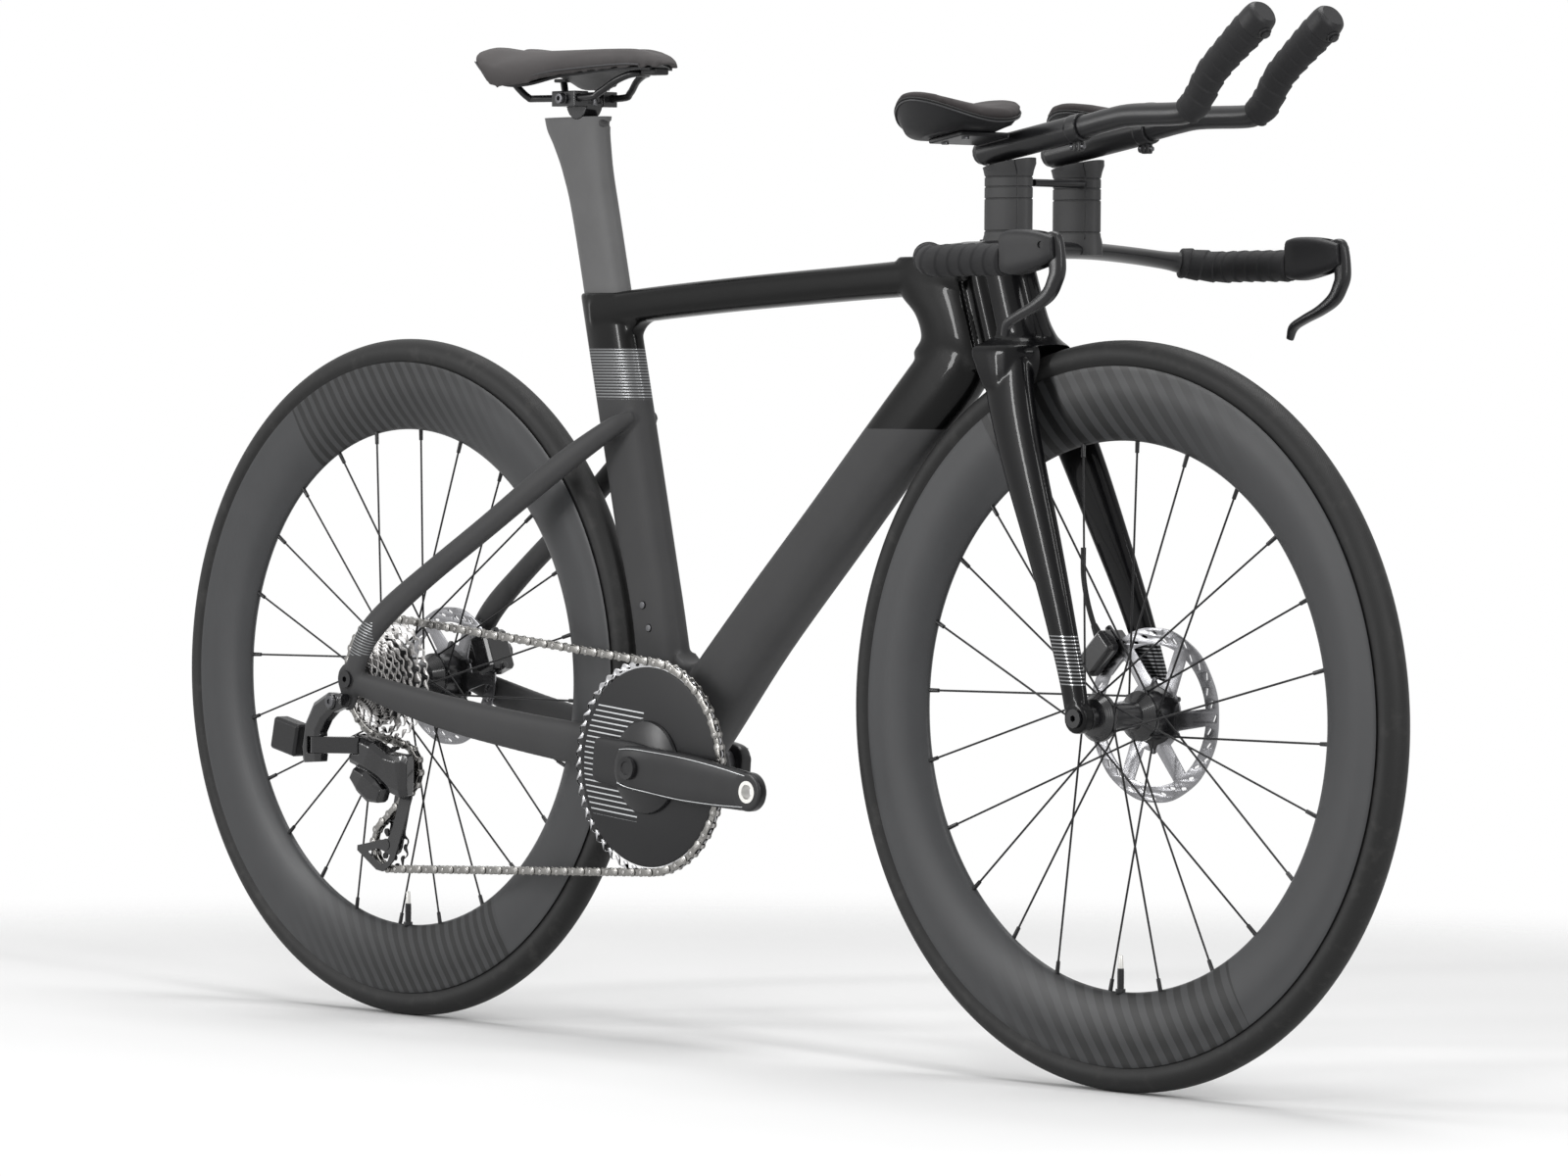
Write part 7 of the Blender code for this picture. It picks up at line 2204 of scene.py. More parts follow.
    def web(self, name: str, corner: Flat, first: Flat, second: Flat, half: float) -> Object:
        """A hollow-curved web in the corner of two tubes.

        Args:
            name: The object's name.
            corner: The corner between the tubes.
            first: Where it meets the first tube.
            second: Where it meets the second tube.
            half: Half its thickness.

        Returns:
            The object.
        """
        (cx, cz), (ax, az), (bx, bz) = corner, first, second
        mx, mz = cx + ((ax + bx) / 2 - cx) * 0.42, cz + ((az + bz) / 2 - cz) * 0.42
        curve = []
        for step in range(13):
            t = step / 12
            near, middle, far = (1 - t) ** 2, 2 * t * (1 - t), t * t
            curve.append((near * ax + middle * mx + far * bx, near * az + middle * mz + far * bz))
        return self.forge.plate(name, [corner, *curve], -half, half, edge=0.002)

    def stays(self) -> list[Object]:
        """Both seatstays and chainstays with the dropouts and the hanger.

        Returns:
            The pieces.
        """
        lay, forge = self.layout, self.forge
        seat = [
            (0.004, 0.0775, 0.343), (0.012, 0.0765, 0.362), (0.024, 0.0745, 0.385), (0.052, 0.0690, 0.412),
            (0.105, 0.0620, 0.449), (0.175, 0.0530, 0.494), (0.260, 0.0400, 0.551), (0.325, 0.0220, 0.594),
            (0.348, 0.0130, 0.606),
        ]
        depths = [0.024, 0.025, 0.027, 0.026, 0.0235, 0.0235, 0.0245, 0.0200, 0.010]
        widths = [0.0110, 0.0130] + [0.0150] * 5 + [0.013, 0.008]
        chain = [
            (0.000, 0.0775, 0.337, 0.024, 0.0110), (0.022, 0.0740, 0.3335, 0.025, 0.0135),
            (0.076, 0.0665, 0.3210, 0.031, 0.0145), (0.143, 0.0560, 0.3075, 0.036, 0.0155),
            (0.225, 0.0430, 0.2950, 0.039, 0.0160), (0.295, 0.0318, 0.2860, 0.042, 0.0150),
            (0.345, 0.0305, 0.2800, 0.045, 0.0165), (0.400, 0.0250, 0.2740, 0.046, 0.0260),
        ]
        pieces = []
        for side in Side:
            sign = side.value
            rows = [((lay.ahead(a), sign * y, z), d, w) for (a, y, z), d, w in zip(seat, depths, widths)]
            pieces.append(forge.skin("seatstay", path_stations(rows), None, 2.3, 0.0, 36, 6))
            rows = [((lay.ahead(a), sign * y, z), d, w) for a, y, z, d, w in chain]
            pieces.append(forge.skin("chainstay", path_stations(rows), None, 2.6, 0.0, 36, 6))
            low, high = span(side, 0.071, 0.0815)
            pieces.append(forge.cross_rod("dropout", lay.rear, 0.0165, low, high, count=56, bevel=0.0012))
        outline = capsule_points(lay.rear, lay.hanger_bolt, 0.0150, 0.0095, 15)
        pieces.append(forge.plate("hanger", outline, -0.0795, -0.0725, edge=0.0008))
        return pieces

    def nose(self) -> list[Object]:
        """The slim nose round the steerer's bearings, with the web that carries it.

        Returns:
            The pieces.
        """
        lay, forge = self.layout, self.forge
        nose = forge.rod("head_nose", lay.on_axis(lay.head_low), lay.on_axis(lay.head_high), 0.0165, count=48)
        stations = []
        forward = Vector((math.sin(lay.head_angle), 0, math.cos(lay.head_angle)))
        for height, shift in ((lay.head_low, 0.0015), (lay.head_high, -0.0015)):
            stations.append(Station(lay.on_axis(height, -0.020, shift), forward, ACROSS, 0.040, 0.024))
        return [nose, forge.skin("head_web", stations, None, 4.0, 0.0, 32, 1)]

    def frame(self) -> Object:
        """The whole frame, bored for its bearings, post and axle.

        Returns:
            The object.
        """
        lay, forge = self.layout, self.forge
        body = forge.fused("carbon_frame", self.tubes() + self.stays() + self.nose(), 0.0016, 7, self.paint)
        cutters = [
            forge.cross_rod("bb_bore", lay.bb, 0.0187, -0.06, 0.06, count=64, bevel=0),
            forge.rod("steerer_bore", lay.on_axis(0.655), lay.on_axis(0.760), 0.0126, count=48),
            forge.rod("low_pocket", lay.on_axis(0.655), lay.on_axis(lay.head_low, 0, 0.0075), 0.0141, count=48),
            forge.rod("high_pocket", lay.on_axis(lay.head_high, 0, -0.0075), lay.on_axis(0.760), 0.0141, count=48),
            forge.skin("post_bore", level_stations(post_rows(lay, 0.6260, 0.7600, 0.0003)), None, 2.5, 0.35, 56, 1),
            forge.cross_rod("axle_bore", lay.rear, lay.axle_hole, -0.10, 0.10, count=32, bevel=0),
        ]
        for place in lay.seat_bolts:
            cutters.append(forge.cross_rod("bolt_well", place, 0.0042, -0.030, -0.0125, count=24, bevel=0))
        return forge.cut(body, cutters, "MANIFOLD")

    def trims(self) -> Object:
        """The sunk bolts of the seat tube and the raised bottle bosses of the down tube.

        Returns:
            The object.
        """
        lay, forge = self.layout, self.forge
        pieces = []
        for place in lay.seat_bolts:
            pieces.append(forge.cross_rod("sunk_bolt", place, 0.0034, -0.0150, -0.0118, DARK_STEEL, 20, 0.0004))
        slope = Vector((math.sin(lay.down_angle), 0, math.cos(lay.down_angle)))
        up = Vector((-slope.z, 0, slope.x))
        for along in (0.135, 0.199):
            foot = Vector((lay.ahead(0.440), 0, 0.319)) + slope * along + up * 0.0315
            pieces.append(
                forge.rod("bottle_boss", foot, foot + up * 0.0048, 0.0048, SATIN_ALLOY, count=28, bevel=0.0006)
            )
        return forge.joined("frame_fixings", pieces)

    def column(self, rows: Sequence[tuple[float, float, float, float, float]]) -> Object:
        """The outer steerer: a rounded front, straight flanks and square rear corners.

        Args:
            rows: Rows of (height, front, rear, half width, shoulder), measured from the steering axis.

        Returns:
            The object.
        """
        share = [
            (1.0, 0.0), (0.985, 0.26), (0.94, 0.48), (0.88, 0.65), (0.80, 0.78), (0.69, 0.89), (0.57, 0.97),
            (0.43, 1.0), (0.30, 1.0), (0.04, 0.97), (0.0, 0.84),
        ]
        bm = bmesh.new()
        rings = []
        for height, front, rear, half, shoulder in eased(np.array(rows, float), 6):
            x = self.layout.steer_x(height)
            side = [Vector((x + rear + (front - rear) * along, half * across, height)) for along, across in share]
            side.append(Vector((x + rear + shoulder, half * 0.40, height)))
            ring = side + [Vector((point.x, -point.y, point.z)) for point in reversed(side[1:])]
            rings.append([bm.verts.new(point) for point in ring])
        self.forge.bridge(bm, rings)
        return self.forge.keep("column", bm)

    def fork(self) -> Object:
        """The fork: an outer steerer in front of the head, a wide crown and two deep blades.

        Returns:
            The object.
        """
        lay, forge = self.layout, self.forge
        column = self.column([
            (0.6355, 0.0500, -0.0020, 0.0398, 0.0), (0.655, 0.0660, -0.0060, 0.0400, 0.0),
            (0.6715, 0.0730, -0.0085, 0.0375, 0.004), (0.6790, 0.0680, 0.0040, 0.0280, 0.003),
            (0.6860, 0.0635, 0.0140, 0.0225, 0.0), (0.7050, 0.0590, 0.0145, 0.0205, 0.0),
            (0.7560, 0.0570, 0.0145, 0.0195, 0.0),
        ])
        rows = [
            (0.662, 0.8680, 0.058, 0.0275, 0.0190), (0.640, 0.8740, 0.058, 0.0310, 0.0200),
            (0.605, 0.8860, 0.056, 0.0350, 0.0205), (0.560, 0.9050, 0.0525, 0.0400, 0.0200),
            (0.500, 0.9310, 0.045, 0.0450, 0.0185), (0.440, 0.9560, 0.037, 0.0500, 0.0165),
            (0.380, 0.9780, 0.031, 0.0540, 0.0140), (0.342, 0.9890, 0.028, 0.05625, 0.0125),
        ]
        pieces = [column]
        for side in Side:
            stations = [(z, lay.ahead(x) - c / 2, lay.ahead(x) + c / 2, side.value * y, w) for z, x, c, y, w in rows]
            pieces.append(forge.skin("blade", level_stations(stations), None, 2.3, 0.25, 48, 6))
            low, high = span(side, 0.050, 0.0625)
            pieces.append(forge.cross_rod("fork_end", lay.front, 0.0140, low, high, count=56, bevel=0.0012))
        pieces.append(
            forge.rod(
                "crown_race", lay.on_axis(lay.head_low, 0, -0.014), lay.on_axis(lay.head_low, 0, -0.0006), 0.0160,
                count=48,
            )
        )
        body = forge.fused("carbon_fork", pieces, 0.0015, 6, self.fork_paint)
        radius, half = lay.front_room
        arch = forge.cross_rod("arch", lay.front, radius, -half, half, count=160, bevel=0)
        room = forge.rod(
            "nose_room", lay.on_axis(lay.head_low, 0, -0.0004), lay.on_axis(lay.head_high, 0, 0.0030), 0.0180,
            count=64,
        )
        hole = forge.cross_rod("axle_hole", lay.front, lay.axle_hole, -0.08, 0.08, count=32, bevel=0)
        body = forge.cut(body, [arch, room, hole], "MANIFOLD")
        steerer = forge.rod(
            "steerer", lay.on_axis(lay.head_low, 0, -0.008), lay.on_axis(lay.head_high, 0, 0.012), 0.0102,
            SATIN_ALLOY, count=40,
        )
        return forge.joined("carbon_fork", [body, steerer])

    def build(self) -> None:
        """Makes both mouldings and their fixings."""
        Piece.ride(self.frame(), Body.FRAME, "frame")
        Piece.ride(self.trims(), Body.FRAME)
        Piece.ride(self.fork(), Body.COCKPIT, "fork")


def post_rows(layout: Layout, low: float, high: float, grow: float) -> list[tuple[float, float, float, float, float]]:
    """Rows of the seatpost's section between two heights, grown all round.

    Args:
        layout: The bicycle's main points.
        low: Height of the lower section.
        high: Height of the upper section.
        grow: How much it grows all round.

    Returns:
        The rows.
    """
    half = layout.post_half / math.sin(layout.seat_angle) + grow
    width = layout.post_width + 2 * grow
    return [(z, layout.seat_x(z) - half, layout.seat_x(z) + half, 0, width) for z in (low, high)]


# Seat


@dataclass(frozen=True)
class SaddleSizes:
    """The saddle: rows of (place from the tail, half width, edge height, crown height)."""

    length: float = 0.2380
    channel: float = 0.0040
    rows: tuple[tuple[float, float, float, float], ...] = (
        (0.000, 0.0370, 0.9570, 0.9625), (0.013, 0.0550, 0.9510, 0.9655), (0.030, 0.0640, 0.9390, 0.9640),
        (0.051, 0.0665, 0.9245, 0.9615), (0.083, 0.0620, 0.9235, 0.9600), (0.117, 0.0500, 0.9320, 0.9600),
        (0.140, 0.0400, 0.9355, 0.9603), (0.165, 0.0310, 0.9385, 0.9605), (0.195, 0.0240, 0.9405, 0.9600),
        (0.220, 0.0200, 0.9400, 0.9570), (0.233, 0.0150, 0.9395, 0.9520), (0.238, 0.0080, 0.9410, 0.9470),
    )


class Seat:
    """The seatpost, the rocking clamp's rails and the padded saddle."""

    def __init__(self, forge: Forge, layout: Layout, sizes: SaddleSizes, node: Object) -> None:
        """Keeps the layout, the saddle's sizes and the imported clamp.

        Args:
            forge: Makes the meshes.
            layout: The bicycle's main points.
            sizes: The sizes of what it makes.
            node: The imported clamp.
        """
        self.forge = forge
        self.node = node
        self.layout = layout
        self.sizes = sizes
        self.tail = layout.ahead(0.1450)
        self.clamp = (layout.seat_x(0.9095) + 0.0080, 0.9095)

    def post(self) -> Object:
        """The aero seatpost, flaring into its head, with the pinch bolt's hole.

        Returns:
            The object.
        """
        lay, forge = self.layout, self.forge
        half = lay.post_half / math.sin(lay.seat_angle)
        rows = [
            (0.6300, 0, 0), (0.790, 0, 0), (0.840, 0.0045, 0), (0.868, 0.0120, 0.0025), (0.884, 0.0185, 0.0050),
            (0.8968, 0.0200, 0.0100),
        ]
        stations = level_stations(
            [(z, lay.seat_x(z) - half - r, lay.seat_x(z) + half + f, 0, lay.post_width) for z, r, f in rows]
        )
        # The post's paint is a lighter copy of the matt paint: partly its own grey, partly painted light for its lit
        # flank.
        post = forge.skin(
            "aero_post", stations,
            replace(MATT_PAINT, name="post_paint", colour=(0.115, 0.115, 0.116), roughness=0.52), 2.5, 0.35, 72, 8,
            40.0,
        )
        cutters = [
            forge.cross_rod(
                "head_hole", (lay.seat_x(0.897) + 0.0375, 0.8900), 0.0038, -0.02, 0.02, count=28, bevel=0
            ),
            forge.cross_rod("clamp_bed", self.clamp, 0.0153, -0.02, 0.02, count=64, bevel=0),
            forge.block(
                "bolt_slot", (self.clamp[0] - 0.0285, -0.0035, 0.880), (self.clamp[0] - 0.0225, 0.0035, 0.91),
                bevel=0.0005,
            ),
        ]
        return forge.cut(post, cutters)

    def section(self, place: float) -> tuple[float, float, float]:
        """Half width, edge height and crown height at a place from the tail."""
        rows = eased(np.array(self.sizes.rows), 8)
        return tuple(float(np.interp(place, rows[:, 0], rows[:, column])) for column in (1, 2, 3))

    def cushion_mesh(self) -> Object:
        """The cushion's closed skin: a crown with a channel over drawn-in sides.

        Returns:
            The object.
        """
        s = self.sizes
        across = (-0.98, -1.02, -0.90, -0.56, -0.18, 0.0, 0.18, 0.56, 0.90, 1.02, 0.98)
        lift = (0.00, 0.28, 0.72, 0.98, 0.98, 0.95, 0.98, 0.98, 0.72, 0.28, 0.00)
        under = ((0.86, 0.16), (0.40, 0.46), (0.0, 0.50), (-0.40, 0.46), (-0.86, 0.16))
        bm = bmesh.new()
        rings = []
        for step in range(61):
            place = s.length * (1 - math.cos(math.pi * step / 60)) / 2
            half, edge, crown = self.section(place)
            share = min(1.0, place / (0.8 * s.length))
            channel = s.channel * math.sin(math.pi * share) ** 0.6
            rows = [(side, rise, channel if abs(side) < 0.1 else 0.0) for side, rise in zip(across, lift)]
            rows += [(side, rise, 0.0) for side, rise in under]
            rows.append(rows[0])
            ring = eased(np.array(rows), 4)[:-1]
            rings.append(
                [
                    bm.verts.new((self.tail + place, side * half, edge + (crown - edge) * rise - drop)) for side,
                    rise, drop in ring
                ]
            )
        self.forge.bridge(bm, rings)
        return self.forge.keep("saddle_cover", bm, None, 180.0)

    def seam(self) -> Object:
        """The raised line that runs along each side of the cushion above its skirt.

        Returns:
            The object.
        """
        sides = []
        for side in Side:
            course = []
            for step in range(22):
                place = 0.020 + 0.195 * step / 21
                half, edge, crown = self.section(place)
                course.append((self.tail + place, side.value * half * 1.004, edge + (crown - edge) * 0.26))
            sides.append(self.forge.tube("seam", course, 0.0007, STITCH, 3, 2))
        return self.forge.joined("saddle_seam", sides)

    def shell(self) -> Object:
        """The moulded base under the cushion, with the rails' sockets.

        Returns:
            The object.
        """
        forge = self.forge
        bm = bmesh.new()
        rings = []
        for step in range(31):
            place = 0.040 + (0.224 - 0.040) * step / 30
            half, edge, crown = self.section(place)
            tops, bottoms = [], []
            for index in range(21):
                side = 0.86 * (1 - index / 10)
                rise = 0.50 - 0.34 * abs(side / 0.86) ** 2.2
                height = edge + (crown - edge) * rise - 0.0010
                tops.append(bm.verts.new((self.tail + place, side * half * 0.92, height)))
                bottoms.append(bm.verts.new((self.tail + place, side * half * 0.90, height - 0.0022)))
            rings.append(tops + bottoms[::-1])
        forge.bridge(bm, rings)
        pieces = [forge.keep("base", bm, MOULDED)]
        x, y, z = self.rail_rear()
        for side in Side:
            low, high = span(side, y - 0.0045, y + 0.0045)
            pieces.append(
                forge.block("rear_socket", (x - 0.010, low, z - 0.0012), (x + 0.008, high, 0.9368), MOULDED, 0.0015)
            )
        nose_x, nose_z = self.tail + 0.1980, 0.9370
        pieces.append(
            forge.block(
                "nose_socket", (nose_x - 0.012, -0.0077, nose_z + 0.0040), (nose_x + 0.010, 0.0077, 0.9470), MOULDED,
                0.0015,
            )
        )
        pieces.append(
            forge.block(
                "nose_guard", (nose_x + 0.0060, -0.0090, 0.9350), (nose_x + 0.0280, 0.0090, 0.9420), MOULDED, 0.0020
            )
        )
        return forge.joined("saddle_base", pieces)

    def rail_rear(self) -> Point:
        """Where the left rail enters the base behind."""
        return (self.tail + 0.0450, 0.0340, 0.9345)

    def rails(self) -> Object:
        """One dark rod bent into both rails.

        Returns:
            The object.
        """
        t, half, h = self.tail, 0.0220, 0.9150
        left = [
            self.rail_rear(), (t + 0.0500, half + 0.0090, h + 0.0115), (t + 0.0590, half + 0.0030, h + 0.0015),
            (t + 0.0680, half, h), (t + 0.1430, half, h), (t + 0.1580, half - 0.0020, h + 0.0045),
            (t + 0.1740, half - 0.0080, h + 0.0150), (t + 0.1880, half - 0.0120, h + 0.0205),
            (t + 0.1980, 0.0060, 0.9370),
        ]
        course = left + [(x, -y, z) for x, y, z in reversed(left)]
        return self.forge.tube("bent_rails", course, 0.0035, SATIN_ALLOY, 5, 8)

    def cradle(self) -> Object:
        """The rocking clamp with its cross bolt and the heads of its upright bolts.

        Returns:
            The object.
        """
        forge = self.forge
        x, z = self.clamp
        cast = forge.softened(
            "cradle", self.node, 0.0006, 3, replace(SATIN_ALLOY, name="clamp_paint", roughness=0.26, coat=0.3)
        )
        pieces = [cast]
        for side in Side:
            low, high = span(side, 0.0300, 0.0345)
            head = forge.cross_rod("head", (x, z + 0.0045), 0.0052, low, high, DARK_STEEL, 36, 0.0007)
            cutter = forge.cross_rod("socket", (x, z + 0.0045), 0.0025, *span(side, 0.0325, 0.04), count=6, bevel=0)
            pieces.append(forge.cut(head, [cutter]))
        for dx in (-0.0135, 0.0135):
            place = Vector((x + dx, 0, z - 0.0020))
            pieces.append(
                forge.rod(
                    "upright", place, place + Vector((0, 0, 0.0085)), 0.0036, DARK_STEEL, count=28, bevel=0.0006
                )
            )
        return forge.joined("rocking_clamp", pieces)

    def build(self) -> None:
        """Makes the seat's pieces."""
        Piece.ride(self.post(), Body.POST, "seatpost")
        Piece.ride(self.rails(), Body.SADDLE, "saddle_rails")
        Piece.ride(self.shell(), Body.SADDLE, "saddle_shell")
        cushion = Upholstery(self.forge).inflate(self.cushion_mesh(), 0.0038, 3.0, 0.0012)
        self.forge.dressed(cushion, SADDLE_COVER)
        Piece.ride(cushion, Body.SADDLE, "saddle_cushion")
        Piece.ride(self.seam(), Body.SADDLE)
        Piece.ride(self.cradle(), Body.CLAMP, "saddle_clamp")


@dataclass
class Upholstery:
    """Plumps soft pieces with a short cloth simulation."""

    forge: Forge
    stiffness: float = 15.0
    frames: int = 20

    def inflate(self, obj: Object, voxel: float, pressure: float, limit: float) -> Object:
        """Lets the piece swell slightly under its own pressure.

        Args:
            obj: The closed piece.
            voxel: Size of the cloth's cells.
            pressure: Pressure of the filling.
            limit: The furthest that any point may move.

        Returns:
            The same object with its new mesh.
        """
        self.forge.melt(obj, voxel, 4)
        self.swell(obj, pressure, limit)
        crisp = obj.modifiers.new("fine", "SUBSURF")
        crisp.levels = crisp.render_levels = 1
        return self.forge.smooth(self.forge.settle(obj))

    def swell(self, obj: Object, pressure: float, limit: float) -> None:
        """Runs the cloth and keeps a capped share of its movement.

        Args:
            obj: The object.
            pressure: Pressure of the filling.
            limit: The furthest that any point may move.
        """
        before = np.array([vertex.co[:] for vertex in obj.data.vertices])
        cloth = obj.modifiers.new("cloth", "CLOTH")
        cloth.settings.use_pressure = True
        cloth.settings.uniform_pressure_force = pressure
        cloth.settings.tension_stiffness = self.stiffness
        cloth.settings.compression_stiffness = self.stiffness
        cloth.settings.bending_stiffness = 1.0
        cloth.settings.effector_weights.gravity = 0
        scene = bpy.context.scene
        for frame in range(1, self.frames + 1):
            scene.frame_set(frame)
        graph = bpy.context.evaluated_depsgraph_get()
        after = np.array([vertex.co[:] for vertex in obj.evaluated_get(graph).data.vertices])
        obj.modifiers.clear()
        scene.frame_set(1)
        move = after - before
        length = np.linalg.norm(move, axis=1)
        move *= np.minimum(1.0, limit / np.maximum(length, 1e-9))[:, None]
        for vertex, place in zip(obj.data.vertices, before + move):
            vertex.co = place
        LOG.info("%s moved by at most %.2f mm in the cloth", obj.name, 1000 * float(min(length.max(), limit)))


# Cockpit


@dataclass(frozen=True)
class CockpitSizes:
    """The base bar, its grips, the towers and what they carry."""

    grip_y: float = 0.186
    grip_z: float = 0.7495
    tape_end: float = 0.1380
    tape_radius: float = 0.0142
    lever_x: float = 0.1890
    lever_z: float = 0.7620
    tower_y: float = 0.0445
    tower_chord: float = 0.054
    tower_width: float = 0.023
    seams: tuple[float, ...] = (0.7786, 0.8080, 0.8186, 0.8277)
    tower_cap: float = 0.8455
    bridge_z: float = 0.8225
    sleeve_tail: Flat = (-0.0420, 0.8485)
    sleeve_slope: float = math.radians(9.5)
    sleeve_length: float = 0.1370
    sleeve_radius: float = 0.0124
    rod_radius: float = 0.0104
    rod_insert: float = 0.0400
    end_radius: float = 0.0137
    cup_base: float = 0.8642
    pad_x: float = -0.0125
    pad_y: float = 0.0985
    pad_z: float = 0.8760
    pad_half: Flat = (0.0530, 0.0600)


@dataclass
class Cockpit:
    """Everything that steers: base bar, grips, levers, towers, extensions and arm rests."""

    forge: Forge
    layout: Layout
    sizes: CockpitSizes

    def bar_path(self) -> list[Point]:
        """The base bar's centre line on the left.

        Returns:
            The centre line.
        """
        x, z = self.layout.bar_x, self.layout.bar_z
        return [
            (x, 0.0, z), (x + 0.001, 0.060, z), (x + 0.004, 0.110, z - 0.0030), (x + 0.012, 0.148, z - 0.0070),
            (x + 0.0185, 0.162, z - 0.0090), (x + 0.026, 0.172, z - 0.0105), (x + 0.048, 0.186, z - 0.0130),
            (x + 0.080, 0.186, z - 0.0125), (x + 0.158, 0.186, z - 0.0125),
        ]

    def bar(self) -> Object:
        """The wing bar and the stem in one moulding.

        Returns:
            The object.
        """
        lay, forge = self.layout, self.forge
        path = self.bar_path()
        sizes = list(
            zip([0.038, 0.038, 0.034, 0.028, 0.024] + [0.021] * 4, [0.0155] * 3 + [0.0165, 0.0195] + [0.021] * 4)
        )
        rows = [((x, -y, z), c, h) for (x, y, z), (c, h) in list(zip(path, sizes))[:0:-1]]
        rows += [(place, c, h) for place, (c, h) in zip(path, sizes)]
        wing = forge.skin("wing", path_stations(rows, UP), None, 2.1, 0.0, 40, 6)
        rows = [
            (0.7505, -0.0235, 0.0620, 0.0460), (0.7620, -0.0225, 0.0900, 0.0440), (0.7690, -0.0200, 0.0920, 0.0360),
            (0.7705, -0.0120, 0.0820, 0.0240),
        ]
        stem = forge.skin(
            "stem", level_stations([(z, lay.steer_x(z) + r, lay.steer_x(z) + f, 0, w) for z, r, f, w in rows]), None,
            3.0, 0.0, 56, 4,
        )
        collar = forge.rod(
            "collar", lay.on_axis(lay.head_high, 0, 0.0008), lay.on_axis(lay.head_high, 0, 0.0160), 0.0205, count=48
        )
        body = forge.fused(
            "wing_bar", [wing, stem, collar], 0.0011, 5,
            replace(SATIN_ALLOY, name="bar_paint", colour=(0.012, 0.012, 0.013)),
        )
        cap = forge.rod(
            "stem_cap", (lay.steer_x(0.77) + 0.012, 0, 0.7690), (lay.steer_x(0.77) + 0.012, 0, 0.7722), 0.0085,
            SATIN_ALLOY, count=32, bevel=0.0008,
        )
        return forge.joined("wing_bar", [body, cap])

    def wound(
        self, name: str, points: Sequence[Point], radii: Sequence[float], pitch: float, lift: float, finish: Finish
    ) -> Object:
        """A grip wound with tape: a tube whose skin steps where each turn laps over the last.

        Args:
            name: The object's name.
            points: Its centre line.
            radii: A radius for each point.
            pitch: How far the tape moves on in one turn.
            lift: Height of the step where it laps.
            finish: Its finish.

        Returns:
            The object.
        """
        rows = eased(np.array([(*point, radius) for point, radius in zip(points, radii)], float), 24)
        steps = np.linalg.norm(np.diff(rows[:, :3], axis=0), axis=1)
        travel = np.concatenate([[0.0], np.cumsum(steps)])
        count = int(travel[-1] / 0.0007)
        places = np.linspace(0, travel[-1], count)
        fine = np.column_stack([np.interp(places, travel, rows[:, column]) for column in range(4)])
        bm = bmesh.new()
        rings = []
        around = 48
        for index, (x, y, z, radius) in enumerate(fine):
            tangent = Vector(fine[min(index + 1, count - 1)][:3] - fine[max(index - 1, 0)][:3]).normalized()
            flat = UP.cross(tangent).normalized()
            over = tangent.cross(flat)
            close = min(1.0, places[index] / 0.0015, (places[-1] - places[index]) / 0.0015)
            ring = []
            for step in range(around):
                lap = (places[index] / pitch + step / around) % 1.0
                size = radius - 0.0012 * (1 - close) ** 2 + lift * (lap - 0.5 if lap > 0.10 else 0.4 - 9 * lap)
                turn = 2 * math.pi * step / around
                ring.append(bm.verts.new(Vector((x, y, z)) + (flat * math.cos(turn) + over * math.sin(turn)) * size))
            rings.append(ring)
        self.forge.bridge(bm, rings)
        return self.forge.keep(name, bm, finish, 60.0)

    def grip(self, side: Side) -> Object:
        """The wound grip on one end of the bar.

        Args:
            side: Which side of the bicycle.

        Returns:
            The object.
        """
        s = self.sizes
        path = [(x, side.value * y, z) for x, y, z in self.bar_path()[4:8]]
        path.append((self.layout.bar_x + s.tape_end, side.value * s.grip_y, s.grip_z))
        radii = [s.tape_radius - 0.0006] + [s.tape_radius] * 4
        return self.wound(f"grip_{side.word}", path, radii, 0.0150, 0.0013, GRIP_TAPE)

    def hood(self, side: Side) -> Object:
        """The wedge-shaped housing of one brake lever.

        Args:
            side: Which side of the bicycle.

        Returns:
            The object.
        """
        s, forge = self.sizes, self.forge
        x, y, z = self.layout.bar_x + s.tape_end + 0.0003, side.value * s.grip_y, s.grip_z
        rows = [
            (x, -0.0120, 0.0240, 0.0240), (x + 0.0120, -0.0135, 0.0262, 0.0250),
            (x + 0.0320, -0.0100, 0.0260, 0.0240), (x + 0.0500, -0.0050, 0.0232, 0.0220),
            (x + 0.0620, 0.0005, 0.0200, 0.0180),
        ]
        stations = path_stations(
            [((place, y, z + (low + high) / 2), high - low, width) for place, low, high, width in rows]
        )
        body = forge.fused(
            f"hood_{side.word}", [forge.skin("wedge", stations, None, 4.5, 0.0, 40, 6)], 0.0007, 4, MOULDED
        )
        lx, lz = self.layout.bar_x + s.lever_x, s.lever_z
        slot = forge.block(
            "slot", (lx - 0.0105, y - 0.0056, z - 0.03), (lx + 0.05, y + 0.0056, z + 0.05), None, 0.0004
        )
        seat = forge.cross_rod(
            "screw_seat", (lx, lz), 0.0032, *span(side, s.grip_y + 0.0098, s.grip_y + 0.02), count=28, bevel=0
        )
        body = forge.cut(body, [slot, seat], "MANIFOLD")
        screw = forge.cross_rod("screw", (lx, lz), 0.0028, y - 0.0095, y + 0.0095, DARK_STEEL, 24, 0.0004)
        return forge.joined(f"hood_{side.word}", [body, screw])

